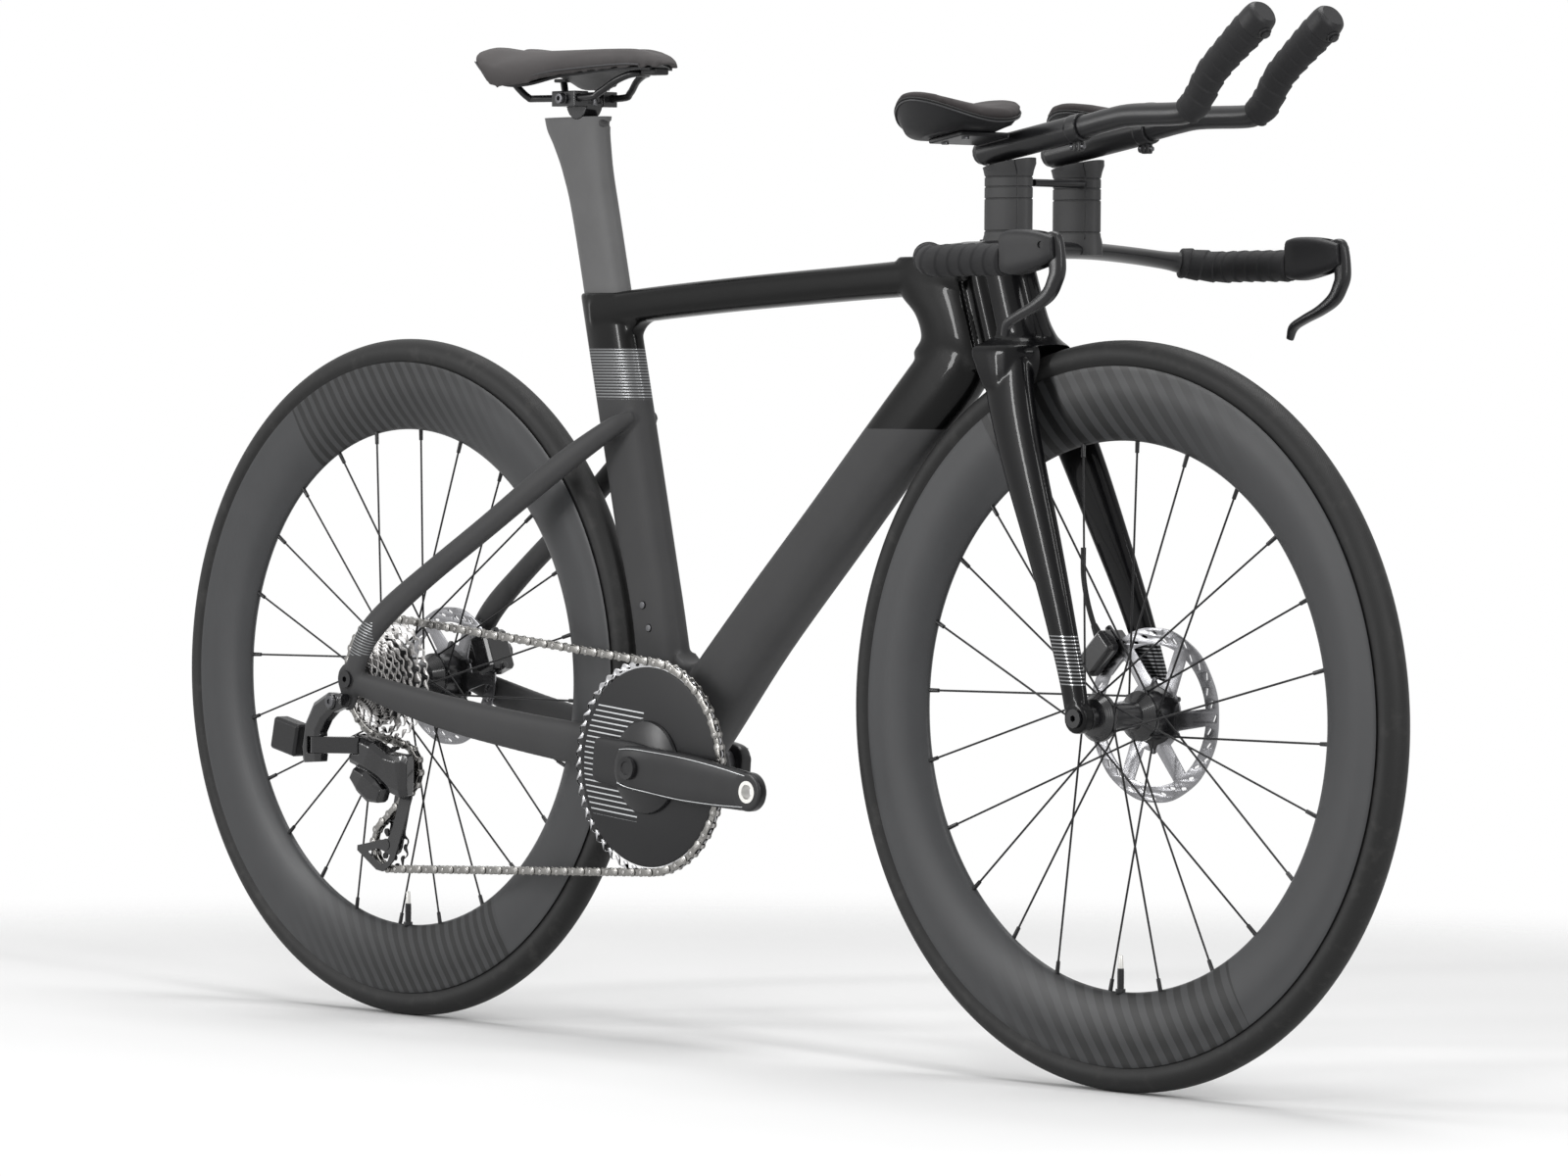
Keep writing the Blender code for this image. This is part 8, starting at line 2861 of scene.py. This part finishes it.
    def lever(self, side: Side) -> Object:
        """One bent lever blade with its root on the pivot.

        Args:
            side: Which side of the bicycle.

        Returns:
            The object.
        """
        forge = self.forge
        x, y, z = self.layout.bar_x + self.sizes.lever_x, side.value * self.sizes.grip_y, self.sizes.lever_z
        rows = [
            (-0.0030, 0.0070, 0.0080, 0.0100), (0.0050, 0.0040, 0.0200, 0.0102), (0.0110, -0.0200, 0.0165, 0.0110),
            (0.0075, -0.0325, 0.0140, 0.0118), (0.0000, -0.0435, 0.0125, 0.0120), (-0.0160, -0.0535, 0.0095, 0.0120),
            (-0.0350, -0.0615, 0.0080, 0.0115), (-0.0490, -0.0690, 0.0075, 0.0105),
            (-0.0535, -0.0800, 0.0060, 0.0070),
        ]
        blade = forge.skin(
            "blade", path_stations([((x + a, y, z + b), d, w) for a, b, d, w in rows]), None, 2.8, 0.0, 32, 6
        )
        root = forge.cross_rod("root", (x, z), 0.0066, y - 0.0049, y + 0.0049, bevel=0)
        body = forge.fused(
            f"lever_{side.word}", [blade, root], 0.0006, 3, replace(SATIN_ALLOY, name="lever_paint", roughness=0.30)
        )
        return forge.cut(body, [forge.cross_rod("hole", (x, z), 0.0031, y - 0.02, y + 0.02, count=24, bevel=0)])

    def sleeve_point(self, distance: float, side: Side) -> Vector:
        """A point on a sleeve's axis, from its rear end forward.

        Args:
            distance: How far it lies from the rear end.
            side: Which side of the bicycle.

        Returns:
            The point.
        """
        s = self.sizes
        along = Vector((math.cos(s.sleeve_slope), 0, math.sin(s.sleeve_slope)))
        foot = Vector((self.layout.bar_x + s.sleeve_tail[0], side.value * s.tower_y, s.sleeve_tail[1]))
        return foot + along * distance

    def tilted(self, obj: Object, point: Sequence[float]) -> Object:
        """Tilts an object by the sleeve's slope about a line across the bicycle.

        Args:
            obj: The object.
            point: A point on that line.

        Returns:
            The same object.
        """
        there = Matrix.Translation(Vector(point))
        obj.data.transform(there @ Matrix.Rotation(-self.sizes.sleeve_slope, 4, "Y") @ there.inverted())
        return obj

    def tower(self, side: Side) -> Object:
        """A stack of aero spacers with fine joints, under the cap that beds the sleeve.

        Args:
            side: Which side of the bicycle.

        Returns:
            The object.
        """
        s, forge = self.sizes, self.forge
        x, y = self.layout.bar_x, side.value * s.tower_y
        rows = [(self.layout.bar_z - 0.004, 0.0046), (self.layout.bar_z + 0.008, 0.0030), (s.seams[0] - 0.0030, 0.0)]
        for seam in s.seams:
            rows += [(seam - 0.0008, 0.0), (seam - 0.0003, -0.0016), (seam + 0.0003, -0.0016), (seam + 0.0008, 0.0)]
        rows += [(s.seams[-1] + 0.0060, 0.0022), (s.tower_cap - 0.0060, 0.0060), (s.tower_cap + 0.0105, 0.0050)]
        stations = []
        for z, grow in rows:
            half = s.tower_chord / 2 + grow / 2
            stations.append((z, x - half, x + half, y, s.tower_width + grow))
        tower = forge.skin(
            f"tower_{side.word}", level_stations(stations),
            replace(MATT_PAINT, name="tower_paint", colour=(0.042, 0.042, 0.043), roughness=0.52), 2.3, -0.25, 64, 1,
            24.0,
        )
        bed = forge.rod(
            "bed", self.sleeve_point(-0.03, side), self.sleeve_point(0.20, side), s.sleeve_radius + 0.0003, count=48
        )
        above = self.tilted(
            forge.block("above", (x - 0.05, y - 0.03, 0.8400), (x + 0.05, y + 0.03, 0.88), bevel=0.0004),
            self.sleeve_point(0.042, side),
        )
        cutters = [bed, above]
        split = self.layout.ahead(0.9055)
        for sign in (1, -1):
            low, high = sorted((y + sign * 0.0088, y + sign * 0.02))
            cutters.append(
                forge.block("split", (split - 0.0006, low, 0.772), (split + 0.0006, high, 0.852), bevel=0.0002)
            )
        tower = forge.cut(tower, cutters)
        marks = []
        for dx, dz in ((-0.0130, -0.0090), (0.0095, -0.0060)):
            low, high = span(side, s.tower_y - 0.008, s.tower_y + (0.0142 if dx < 0 else 0.0136))
            marks.append(
                forge.cross_rod("mark", (x + dx, s.tower_cap + dz), 0.0031, low, high, SATIN_ALLOY, 28, 0.0006)
            )
        return forge.joined(f"tower_{side.word}", [tower, *marks])

    def bridge(self) -> Object:
        """The flat twin rods that tie the towers together.

        Returns:
            The object.
        """
        s, forge = self.sizes, self.forge
        reach = s.tower_y - s.tower_width / 2 - 0.0009
        x = self.layout.bar_x + 0.0150
        pieces = [
            forge.cross_rod("rod", (x + dx, s.bridge_z), 0.0033, -reach, reach, None, 32, 0.0004)
            for dx in (-0.0042, 0.0042)
        ]
        pieces.append(
            forge.block(
                "rib", (x - 0.0042, -reach, s.bridge_z - 0.0012), (x + 0.0042, reach, s.bridge_z + 0.0012), None,
                0.0004,
            )
        )
        return forge.joined("tower_bridge", pieces, SATIN_ALLOY)

    def sleeve(self, side: Side) -> Object:
        """The clamp of one extension, with its bolted band and the arm under the pad.

        Args:
            side: Which side of the bicycle.

        Returns:
            The object.
        """
        s, forge = self.sizes, self.forge
        y = side.value * s.tower_y
        tube = forge.rod(
            "tube", self.sleeve_point(0.010, side), self.sleeve_point(s.sleeve_length, side), s.sleeve_radius,
            count=48,
        )
        tail = forge.rod(
            "tail", self.sleeve_point(0.004, side), self.sleeve_point(0.0130, side), 0.0098,
            end_radius=s.sleeve_radius - 0.0002, count=48,
        )
        band = forge.rod(
            "band", self.sleeve_point(s.sleeve_length - 0.0125, side), self.sleeve_point(s.sleeve_length, side),
            s.sleeve_radius + 0.0006, count=48,
        )
        drop = self.sleeve_point(s.sleeve_length - 0.006, side) - Vector((0, 0, s.sleeve_radius + 0.0040))
        ears = [
            forge.block(
                "ear_rear", drop - Vector((0.0048, 0.0032, 0.0045)), drop + Vector((-0.0008, 0.0032, 0.0070))
            ),
            forge.block(
                "ear_front", drop + Vector((0.0008, -0.0032, -0.0045)), drop + Vector((0.0048, 0.0032, 0.0070))
            ),
        ]
        x, top = self.layout.bar_x + s.pad_x, s.cup_base - 0.0003
        low, high = span(side, s.tower_y - 0.008, 0.1165)
        arm = self.tilted(forge.block("arm", (x - 0.020, low, top - 0.0045), (x + 0.022, high, top)), (x, 0, top))
        paint = replace(SATIN_ALLOY, name="sleeve_paint", roughness=0.38)
        body = forge.fused(f"sleeve_{side.word}", [tube, tail, band, *ears, arm], 0.0007, 3, paint)
        floor = self.sleeve_point(s.rod_insert - 0.014, side)
        body = forge.cut(
            body, [forge.rod("bore", floor, self.sleeve_point(0.16, side), s.rod_radius + 0.0003, count=48)]
        )
        bolt = forge.rod(
            "bolt", drop - Vector((0.0085, 0, 0)), drop + Vector((0.0075, 0, 0)), 0.0023, DARK_STEEL, count=24,
            bevel=0.0003,
        )
        head = forge.rod(
            "head", drop - Vector((0.0082, 0, 0)), drop - Vector((0.0046, 0, 0)), 0.0036, DARK_STEEL, count=28,
            bevel=0.0005,
        )
        plates = []
        for dx in (-0.012, 0.014):
            place = Vector((x + dx, y + side.value * 0.058, top - 0.0062 + dx * math.tan(s.sleeve_slope)))
            plates.append(
                forge.rod(
                    "arm_bolt", place, place + Vector((0, 0, 0.0030)), 0.0034, DARK_STEEL, count=24, bevel=0.0005
                )
            )
        return forge.joined(f"sleeve_{side.word}", [body, bolt, head, *plates])

    def rod_points(self, side: Side) -> list[Point]:
        """The centre line of one extension, from inside its sleeve to its tip.

        Args:
            side: Which side of the bicycle.

        Returns:
            The points.
        """
        path = [
            (0.1250, 0.8768), (0.1540, 0.8803), (0.2060, 0.8803), (0.2200, 0.8822), (0.2300, 0.8885),
            (0.2370, 0.8975), (0.2495, 0.9155), (0.2685, 0.9325), (0.2920, 0.9510), (0.3080, 0.9640),
        ]
        rest = [(self.layout.bar_x + x, side.value * self.sizes.tower_y, z) for x, z in path]
        inner = [tuple(self.sleeve_point(d, side)) for d in (self.sizes.rod_insert, self.sizes.sleeve_length)]
        return inner + rest

    def extension(self, side: Side) -> Object:
        """One bent extension."""
        finish = replace(SATIN_ALLOY, name="extension_paint", roughness=0.36)
        return self.forge.tube(f"aero_rod_{side.word}", self.rod_points(side), self.sizes.rod_radius, finish, 6, 10)

    def button_seat(self, side: Side) -> tuple[Vector, Vector]:
        """Where a shift button sits at an extension's tip, and the way that it faces.

        Args:
            side: Which side of the bicycle.

        Returns:
            The seat's middle and the direction.
        """
        last, tip = (Vector(point) for point in self.rod_points(side)[-2:])
        direction = (tip - last).normalized()
        axis = Vector((direction.z, 0, -direction.x))
        return tip - direction * 0.006 + axis * (self.sizes.rod_radius + 0.0012), axis

    def end_grip(self, side: Side) -> Object:
        """The wound grip and the swelling housing at the tip of one extension.

        Args:
            side: Which side of the bicycle.

        Returns:
            The object.
        """
        s, forge = self.sizes, self.forge
        points = [Vector(point) for point in self.rod_points(side)[-7:]]
        direction = (points[-1] - points[-2]).normalized()
        radius = s.end_radius
        radii = [radius - 0.0008, radius, radius, radius + 0.0003, radius + 0.0007, radius + 0.0019, radius + 0.0012]
        course = [tuple(point) for point in points[:-1]] + [tuple(points[-1] - direction * 0.0125)]
        tape = self.wound(f"end_grip_{side.word}", course, radii, 0.0135, 0.0013, GRIP_TAPE)
        rows = [
            (-0.0130, 0.0030, 0.0020), (-0.006, 0.0030, 0.0020), (-0.002, 0.0024, 0.0014), (0.003, -0.0002, -0.0006),
            (0.0060, -0.0060, -0.0060),
        ]
        tip = [(points[-1] + direction * d, 2 * radius + deep, 2 * radius + wide) for d, deep, wide in rows]
        housing = forge.skin("housing", path_stations(tip), MOULDED, 2.2, 0.0, 48, 6)
        well, axis = self.button_seat(side)
        collar = forge.rod(
            "collar", well + axis * 0.0002, well + axis * 0.0046, 0.0064, MOULDED, count=40, bevel=0.0008
        )
        solids = [
            forge.cut(piece, [forge.rod("well", well, well + axis * 0.02, 0.0046, MOULDED, count=32)])
            for piece in (housing, collar)
        ]
        return forge.joined(f"end_grip_{side.word}", [tape, *solids])

    def button(self, side: Side) -> Object:
        """One round shift button with its domed cap.

        Args:
            side: Which side of the bicycle.

        Returns:
            The object.
        """
        place, axis = self.button_seat(side)
        return self.forge.rod(
            f"button_{side.word}", place + axis * 0.0014, place + axis * 0.0072, 0.0042, MOULDED, count=36,
            bevel=0.0010,
        )

    def pad_height(self, u: float, v: float) -> float:
        """Height of a pad's underside: u runs forward and v outward, each from -1 to 1."""
        return self.sizes.pad_z + (0.0185 if v > 0 else 0.0130) * v * v - 0.0080 * max(0.0, -u) ** 2

    def pad_spot(self, side: Side, u: float, v: float, height: float) -> Point:
        """A point of a pad's plan: u runs forward and v outward, each from -1 to 1."""
        s = self.sizes
        return (self.layout.bar_x + s.pad_x + u * s.pad_half[0], side.value * (s.pad_y + v * s.pad_half[1]), height)

    def pad_shell(
        self, name: str, side: Side, layers: Sequence[tuple[float, Callable[[float, float], float]]],
        finish: Optional[Finish],
    ) -> Object:
        """A closed form on the pad's rounded plan: a floor, walls and a top, each as a scale and a height.

        Args:
            name: The object's name.
            side: Which side of the bicycle.
            layers: A scale and a height for each layer, from the floor up.
            finish: Its finish, if it has one already.

        Returns:
            The object.
        """
        bm = bmesh.new()
        count = 29
        grids = []
        for scale, height in layers:
            grid = []
            for i in range(count):
                line = []
                for j in range(count):
                    u, v = -1 + 2 * i / (count - 1), -1 + 2 * j / (count - 1)
                    fu, fv = u * math.sqrt(1 - v * v / 2), v * math.sqrt(1 - u * u / 2)
                    line.append(bm.verts.new(self.pad_spot(side, fu * scale, fv * scale, height(fu, fv))))
                grid.append(line)
            grids.append(grid)
        for grid in (grids[0], grids[-1]):
            for i in range(count - 1):
                for j in range(count - 1):
                    bm.faces.new((grid[i][j], grid[i][j + 1], grid[i + 1][j + 1], grid[i + 1][j]))
        rims = [self.rim(grid) for grid in grids]
        for below, above in zip(rims, rims[1:]):
            for i in range(len(below)):
                j = (i + 1) % len(below)
                bm.faces.new((below[i], below[j], above[j], above[i]))
        loose = [vertex for vertex in bm.verts if not vertex.link_faces]
        bmesh.ops.delete(bm, geom=loose, context="VERTS")
        return self.forge.keep(name, bm, finish)

    @staticmethod
    def rim(grid: Sequence[Sequence]) -> list:
        """The outermost entries of a square grid, in order.

        Args:
            grid: The grid.

        Returns:
            Its outermost entries.
        """
        last = len(grid) - 1
        near = [grid[i][0] for i in range(last)] + [grid[last][j] for j in range(last)]
        return near + [grid[i][last] for i in range(last, 0, -1)] + [grid[0][j] for j in range(last, 0, -1)]

    def rim_path(self, side: Side, scale: float, lift: float) -> list[Point]:
        """A closed course round the pad's plan.

        Args:
            side: Which side of the bicycle.
            scale: Its size against the pad's plan.
            lift: How far it lies above the pad's underside.

        Returns:
            The course.
        """
        course = []
        for step in range(97):
            turn = 2 * math.pi * step / 96
            fu, fv = math.cos(turn), math.sin(turn)
            course.append(self.pad_spot(side, fu * scale, fv * scale, self.pad_height(fu, fv) + lift))
        return course

    def cup(self, side: Side) -> Object:
        """The hard cup under a pad, with its cut edge darkened as painted shade of the gap under the pad.

        Args:
            side: Which side of the bicycle.

        Returns:
            The object.
        """
        base = self.sizes.cup_base
        rise = self.sizes.pad_half[0] * math.tan(self.sizes.sleeve_slope)

        def foot(u: float, v: float) -> float:
            """Height of the cup's floor, which lies on the clamp's arm."""
            return base + u * 0.58 * rise

        def belly(u: float, v: float) -> float:
            """Height of the cup's fullest line."""
            return (base + u * 0.86 * rise + self.pad_height(u, v)) / 2 - 0.0025

        shell = self.pad_shell("cup", side, [(0.58, foot), (0.86, belly), (0.985, self.pad_height)], MOULDED)
        # The edge line is dark as painted shade of the gap between pad and cup.
        edge = self.forge.tube("edge", self.rim_path(side, 0.992, -0.0004), 0.0010, CUP_EDGE_AND_GAP_SHADE, 1, 3)
        return self.forge.joined(f"cup_{side.word}", [shell, edge])

    def pad(self, side: Side) -> Object:
        """The foam of one arm rest, swollen by the cloth.

        Args:
            side: Which side of the bicycle.

        Returns:
            The object.
        """

        def low(u: float, v: float) -> float:
            """Height of the foam's underside."""
            return self.pad_height(u, v) + 0.0003

        def middle(u: float, v: float) -> float:
            """Height of the foam's widest line."""
            return self.pad_height(u, v) + 0.0070

        def high(u: float, v: float) -> float:
            """Height of the foam's top, domed towards its rim."""
            return 0.8900 + (self.pad_height(u, v) - self.sizes.pad_z) * 0.86 - 0.0015 * (u * u + v * v) ** 3

        foam = self.pad_shell(f"foam_{side.word}", side, [(0.985, low), (1.02, middle), (0.95, high)], None)
        foam = Upholstery(self.forge).inflate(foam, 0.0040, 4.0, 0.0010)
        self.forge.dressed(foam, PAD_FOAM)
        return foam

    def pad_line(self, side: Side) -> Object:
        """A dark tube of painted shade in the gap where a pad meets its cup."""
        return self.forge.tube(f"welt_{side.word}", self.rim_path(side, 1.003, 0.0016), 0.0009, RUBBER_BLACK, 1, 3)

    def build(self) -> None:
        """Makes both sides of the cockpit."""
        Piece.ride(self.bar(), Body.COCKPIT, "base_bar")
        Piece.ride(self.bridge(), Body.COCKPIT, "riser_bridge")
        for side in Side:
            word = side.word
            rods = Body[f"EXTENSION_{side.name}"]
            for make, body, node in (
                (self.grip, Body.COCKPIT, "bar_tape"),
                (self.hood, Body.COCKPIT, "lever_body"),
                (self.lever, Body[f"LEVER_{side.name}"], "brake_lever"),
                (self.tower, Body.COCKPIT, "riser"),
                (self.sleeve, Body.COCKPIT, "extension_clamp"),
                (self.extension, rods, "extension"),
                (self.end_grip, rods, "extension_tape"),
                (self.button, Body[f"BUTTON_{side.name}"], "shift_button"),
                (self.cup, Body.COCKPIT, "arm_cup"),
            ):
                Piece.ride(make(side), body, f"{node}_{word}")
            foam = self.pad(side)
            Piece.ride(foam, Body.COCKPIT, f"arm_pad_{word}")
            # A dark tube painted as the shade in the gap between pad and cup.
            Piece.ride(self.pad_line(side), Body.COCKPIT)


# Small mechanisms


MECHANISM_PAINT = replace(SATIN_ALLOY, name="mechanism_paint", colour=(0.006, 0.006, 0.007), roughness=0.26, coat=0.5)


@dataclass
class Mechanisms:
    """The derailleur, both calipers and the hose, softened from their packed forms."""

    forge: Forge
    layout: Layout
    nodes: dict[str, Object]

    def derailleur(self) -> None:
        """The knuckles, the battery and their bolts."""
        forge = self.forge
        case = replace(MOULDED, name="battery_case", roughness=0.40)
        for name, node, body, paint in (
            ("upper_knuckle", "derailleur_knuckle", Body.FRAME, MECHANISM_PAINT),
            ("battery_case", "derailleur_battery", Body.FRAME, case),
            ("lower_knuckle", "derailleur_body", Body.DERAILLEUR, MECHANISM_PAINT),
        ):
            Piece.ride(forge.softened(name, self.nodes[node], 0.0007, 3, paint), body, node)
        bolt = forge.cross_rod(
            "mount_bolt", self.layout.hanger_bolt, 0.0062, -0.1020, -0.1000, DARK_STEEL, 36, 0.0005
        )
        bolt = forge.cut(
            bolt, [forge.cross_rod("socket", self.layout.hanger_bolt, 0.0029, -0.11, -0.1005, count=6, bevel=0)]
        )
        Piece.ride(bolt, Body.FRAME)

    def brakes(self) -> None:
        """Both calipers, and the hose in its boot."""
        forge, lay = self.forge, self.layout
        places = {
            "front_caliper": (lay.front_x - 0.0620, lay.axle_z + 0.0545, Body.COCKPIT),
            "rear_caliper": (lay.rear_x + 0.0640, lay.axle_z + 0.0260, Body.FRAME),
        }
        for name, (x, z, body) in places.items():
            shell = forge.softened(f"{name}_casting", self.nodes[name], 0.0006, 2, MECHANISM_PAINT)
            Piece.ride(shell, body, name)
        x, z, _ = places["front_caliper"]
        course = [
            (x - 0.022, 0.0340, z + 0.096), (x - 0.021, 0.0335, z + 0.070), (x - 0.016, 0.0340, z + 0.046),
            (x - 0.010, 0.0360, z + 0.026), (x - 0.006, 0.0380, z + 0.0160),
        ]
        hose = forge.tube("hose", course, 0.0025, RUBBER_BLACK, 8, 8)
        boot = forge.rod("boot", course[-2], course[-1], 0.0030, RUBBER_BLACK, 0.0045, 32, 0.0005)
        Piece.ride(forge.joined("brake_hose", [hose, boot]), Body.COCKPIT, "front_brake_hose")

    def kept(self) -> None:
        """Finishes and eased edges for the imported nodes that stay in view."""
        finishes = {
            "headset_upper_bearing": DARK_STEEL, "headset_lower_bearing": DARK_STEEL, "rear_axle": SATIN_ALLOY,
            "front_axle": SATIN_ALLOY, "front_brake_pad": DARK_STEEL, "rear_brake_pad": DARK_STEEL,
            "derailleur_outer_link": MECHANISM_PAINT, "derailleur_inner_link": MECHANISM_PAINT,
            "derailleur_cage": MECHANISM_PAINT, "bottom_bracket": SATIN_ALLOY,
        }
        for name, finish in finishes.items():
            node = self.nodes[name]
            self.forge.dressed(node, finish)
            bevel = node.modifiers.new("edges", "BEVEL")
            bevel.width = 0.0003
            bevel.segments = 2
            bevel.limit_method = "ANGLE"

    def build(self) -> None:
        """Makes all of them."""
        self.derailleur()
        self.brakes()
        self.kept()


# Studio


@dataclass(frozen=True)
class Shot:
    """The camera of the photograph, solved for the model's frame."""

    location: Point = (4.88637, -4.59570, 0.64977)
    yaw: float = math.radians(136.4598)
    pitch: float = math.radians(-1.7640)
    roll: float = math.radians(0.3774)
    lens: float = 161.46


@dataclass(frozen=True)
class Paper(Finish):
    """The floor's paper, which fades out into the backdrop away from the bicycle."""

    near: float = 1.25
    far: float = 2.10

    def material(self) -> bpy.types.Material:
        """Returns the paper's material, with its fade in the alpha.

        Returns:
            The material.
        """
        material = super().material()
        graph = Graph.of(material)
        x, y, _ = graph.axes(graph.place())
        reach = (x * x + y * y) ** 0.5
        graph.feed(graph.shader.inputs["Alpha"], 1.0 - reach.step(self.near, self.far))
        return material


FLOOR_PAPER = Paper(
    "paper", (0.74, 0.74, 0.74), 0.90, grain_scale=300.0, grain_depth=0.0001, mottle=0.01, mottle_scale=3.0,
    spread=0.02,
)


@dataclass
class Studio:
    """The white set: camera, floor, soft lights and backdrop."""

    shot: Shot
    ambient: float = 0.26
    lights: tuple[tuple[str, Point, Flat, float], ...] = (
        ("top", (0.0, 0.2, 4.0), (2.4, 2.4), 128.0),
        ("flank", (-2.4, -3.6, 1.7), (0.35, 2.4), 88.0),
        ("front", (3.9, -1.0, 1.9), (0.35, 2.4), 70.0),
        ("lens", (2.6, -3.9, 3.2), (1.2, 0.8), 38.0),
    )

    @staticmethod
    def placed(obj: Object) -> Object:
        """Links an object to the scene."""
        bpy.context.scene.collection.objects.link(obj)
        return obj

    def camera(self) -> None:
        """Places the camera and makes it the scene's own."""
        shot = self.shot
        ahead = Vector(
            (
                math.cos(shot.yaw) * math.cos(shot.pitch), math.sin(shot.yaw) * math.cos(shot.pitch),
                math.sin(shot.pitch),
            )
        )
        level = ahead.cross(UP).normalized()
        over = level.cross(ahead)
        right = level * math.cos(shot.roll) + over * math.sin(shot.roll)
        top = over * math.cos(shot.roll) - level * math.sin(shot.roll)
        turn = Matrix((right, top, -ahead)).transposed().to_4x4()
        data = bpy.data.cameras.new("camera")
        data.sensor_width = 36.0
        data.lens = shot.lens
        data.clip_end = 100.0
        camera = self.placed(bpy.data.objects.new("camera", data))
        camera.matrix_world = Matrix.Translation(shot.location) @ turn
        bpy.context.scene.camera = camera

    def floor(self) -> None:
        """A wide pale floor that takes a soft shadow."""
        bm = bmesh.new()
        bmesh.ops.create_grid(bm, x_segments=24, y_segments=24, size=30.0)
        mesh = bpy.data.meshes.new("floor")
        bm.to_mesh(mesh)
        bm.free()
        floor = self.placed(bpy.data.objects.new("floor", mesh))
        floor.data.materials.append(FLOOR_PAPER.material())

    def light(self, name: str, place: Point, size: Flat, power: float, target: Point = (0.0, 0.0, 0.5)) -> None:
        """One soft light, of this width and height, turned to a target.

        Args:
            name: The light's name.
            place: Where it stands.
            size: Its width and height.
            power: Its power in watts.
            target: The point that it is turned to.
        """
        data = bpy.data.lights.new(name, "AREA")
        data.shape = "RECTANGLE"
        data.size, data.size_y = size
        data.energy = power
        lamp = self.placed(bpy.data.objects.new(name, data))
        lamp.location = place
        lamp.rotation_euler = (Vector(place) - Vector(target)).to_track_quat("Z", "Y").to_euler()

    def backdrop(self) -> None:
        """White where the camera or a reflection sees it, softer as a light."""
        world = bpy.data.worlds.new("backdrop")
        bpy.context.scene.world = world
        world.use_nodes = True
        tree = world.node_tree
        path = tree.nodes.new("ShaderNodeLightPath")
        seen = path.outputs["Is Camera Ray"]
        for other in ("Is Glossy Ray", "Is Transmission Ray"):
            either = tree.nodes.new("ShaderNodeMath")
            either.operation = "MAXIMUM"
            tree.links.new(seen, either.inputs[0])
            tree.links.new(path.outputs[other], either.inputs[1])
            seen = either.outputs[0]
        level = tree.nodes.new("ShaderNodeMapRange")
        level.inputs["To Min"].default_value = self.ambient
        level.inputs["To Max"].default_value = 1.0
        tree.links.new(seen, level.inputs["Value"])
        background = tree.nodes["Background"]
        background.inputs["Color"].default_value = (1, 1, 1, 1)
        tree.links.new(level.outputs[0], background.inputs["Strength"])

    def build(self) -> None:
        """Sets everything up."""
        self.camera()
        self.floor()
        self.backdrop()
        for light in self.lights:
            self.light(*light)
        bpy.context.scene.view_settings.view_transform = "Standard"


def main() -> None:
    """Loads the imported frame, dresses it and sets up the studio."""
    logging.basicConfig(level=logging.INFO, format="%(name)s: %(message)s")
    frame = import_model()
    forge = Forge()
    layout = Layout()
    Frameset(forge, layout).build()
    for wheel in wheels():
        Wheel(forge, layout, wheel).build()
    Drivetrain(forge, layout, ChainSizes(), CrankSizes()).build()
    Seat(forge, layout, SaddleSizes(), frame["nodes"]["saddle_clamp"]).build()
    Cockpit(forge, layout, CockpitSizes()).build()
    Mechanisms(forge, layout, frame["nodes"]).build()
    Studio(Shot()).build()


def wheels() -> list[WheelSizes]:
    """The front and rear wheels' sizes.

    Returns:
        The sizes of both wheels.
    """
    layout = Layout()
    front_shell = (
        (0.0105, -0.0486), (0.0105, -0.0420), (0.0170, -0.0400), (0.0215, -0.0340), (0.0215, -0.0290),
        (0.0130, -0.0240), (0.0130, 0.0130), (0.0225, 0.0200), (0.0225, 0.0403), (0.0172, 0.0403), (0.0172, 0.0435),
        (0.0105, 0.0455), (0.0105, 0.0486),
    )
    rear_shell = (
        (0.0230, -0.0230), (0.0230, -0.0178), (0.0150, -0.0120), (0.0140, 0.0190), (0.0225, 0.0285), (0.0225, 0.0533),
        (0.0172, 0.0533), (0.0172, 0.0565), (0.0110, 0.0585), (0.0110, 0.0696),
    )
    return [
        WheelSizes(
            "front", Body.FRONT_WHEEL, layout.front_x, front_shell, ((0.0238, 0.0225), (-0.0315, 0.0215)), 0.0415,
            0.080, 0.0170,
        ),
        WheelSizes(
            "rear", Body.REAR_WHEEL, layout.rear_x, rear_shell, ((0.0318, 0.0225), (-0.0200, 0.0230)), 0.0545, 0.070,
            0.0125,
        ),
    ]


if __name__ == "__main__":
    main()
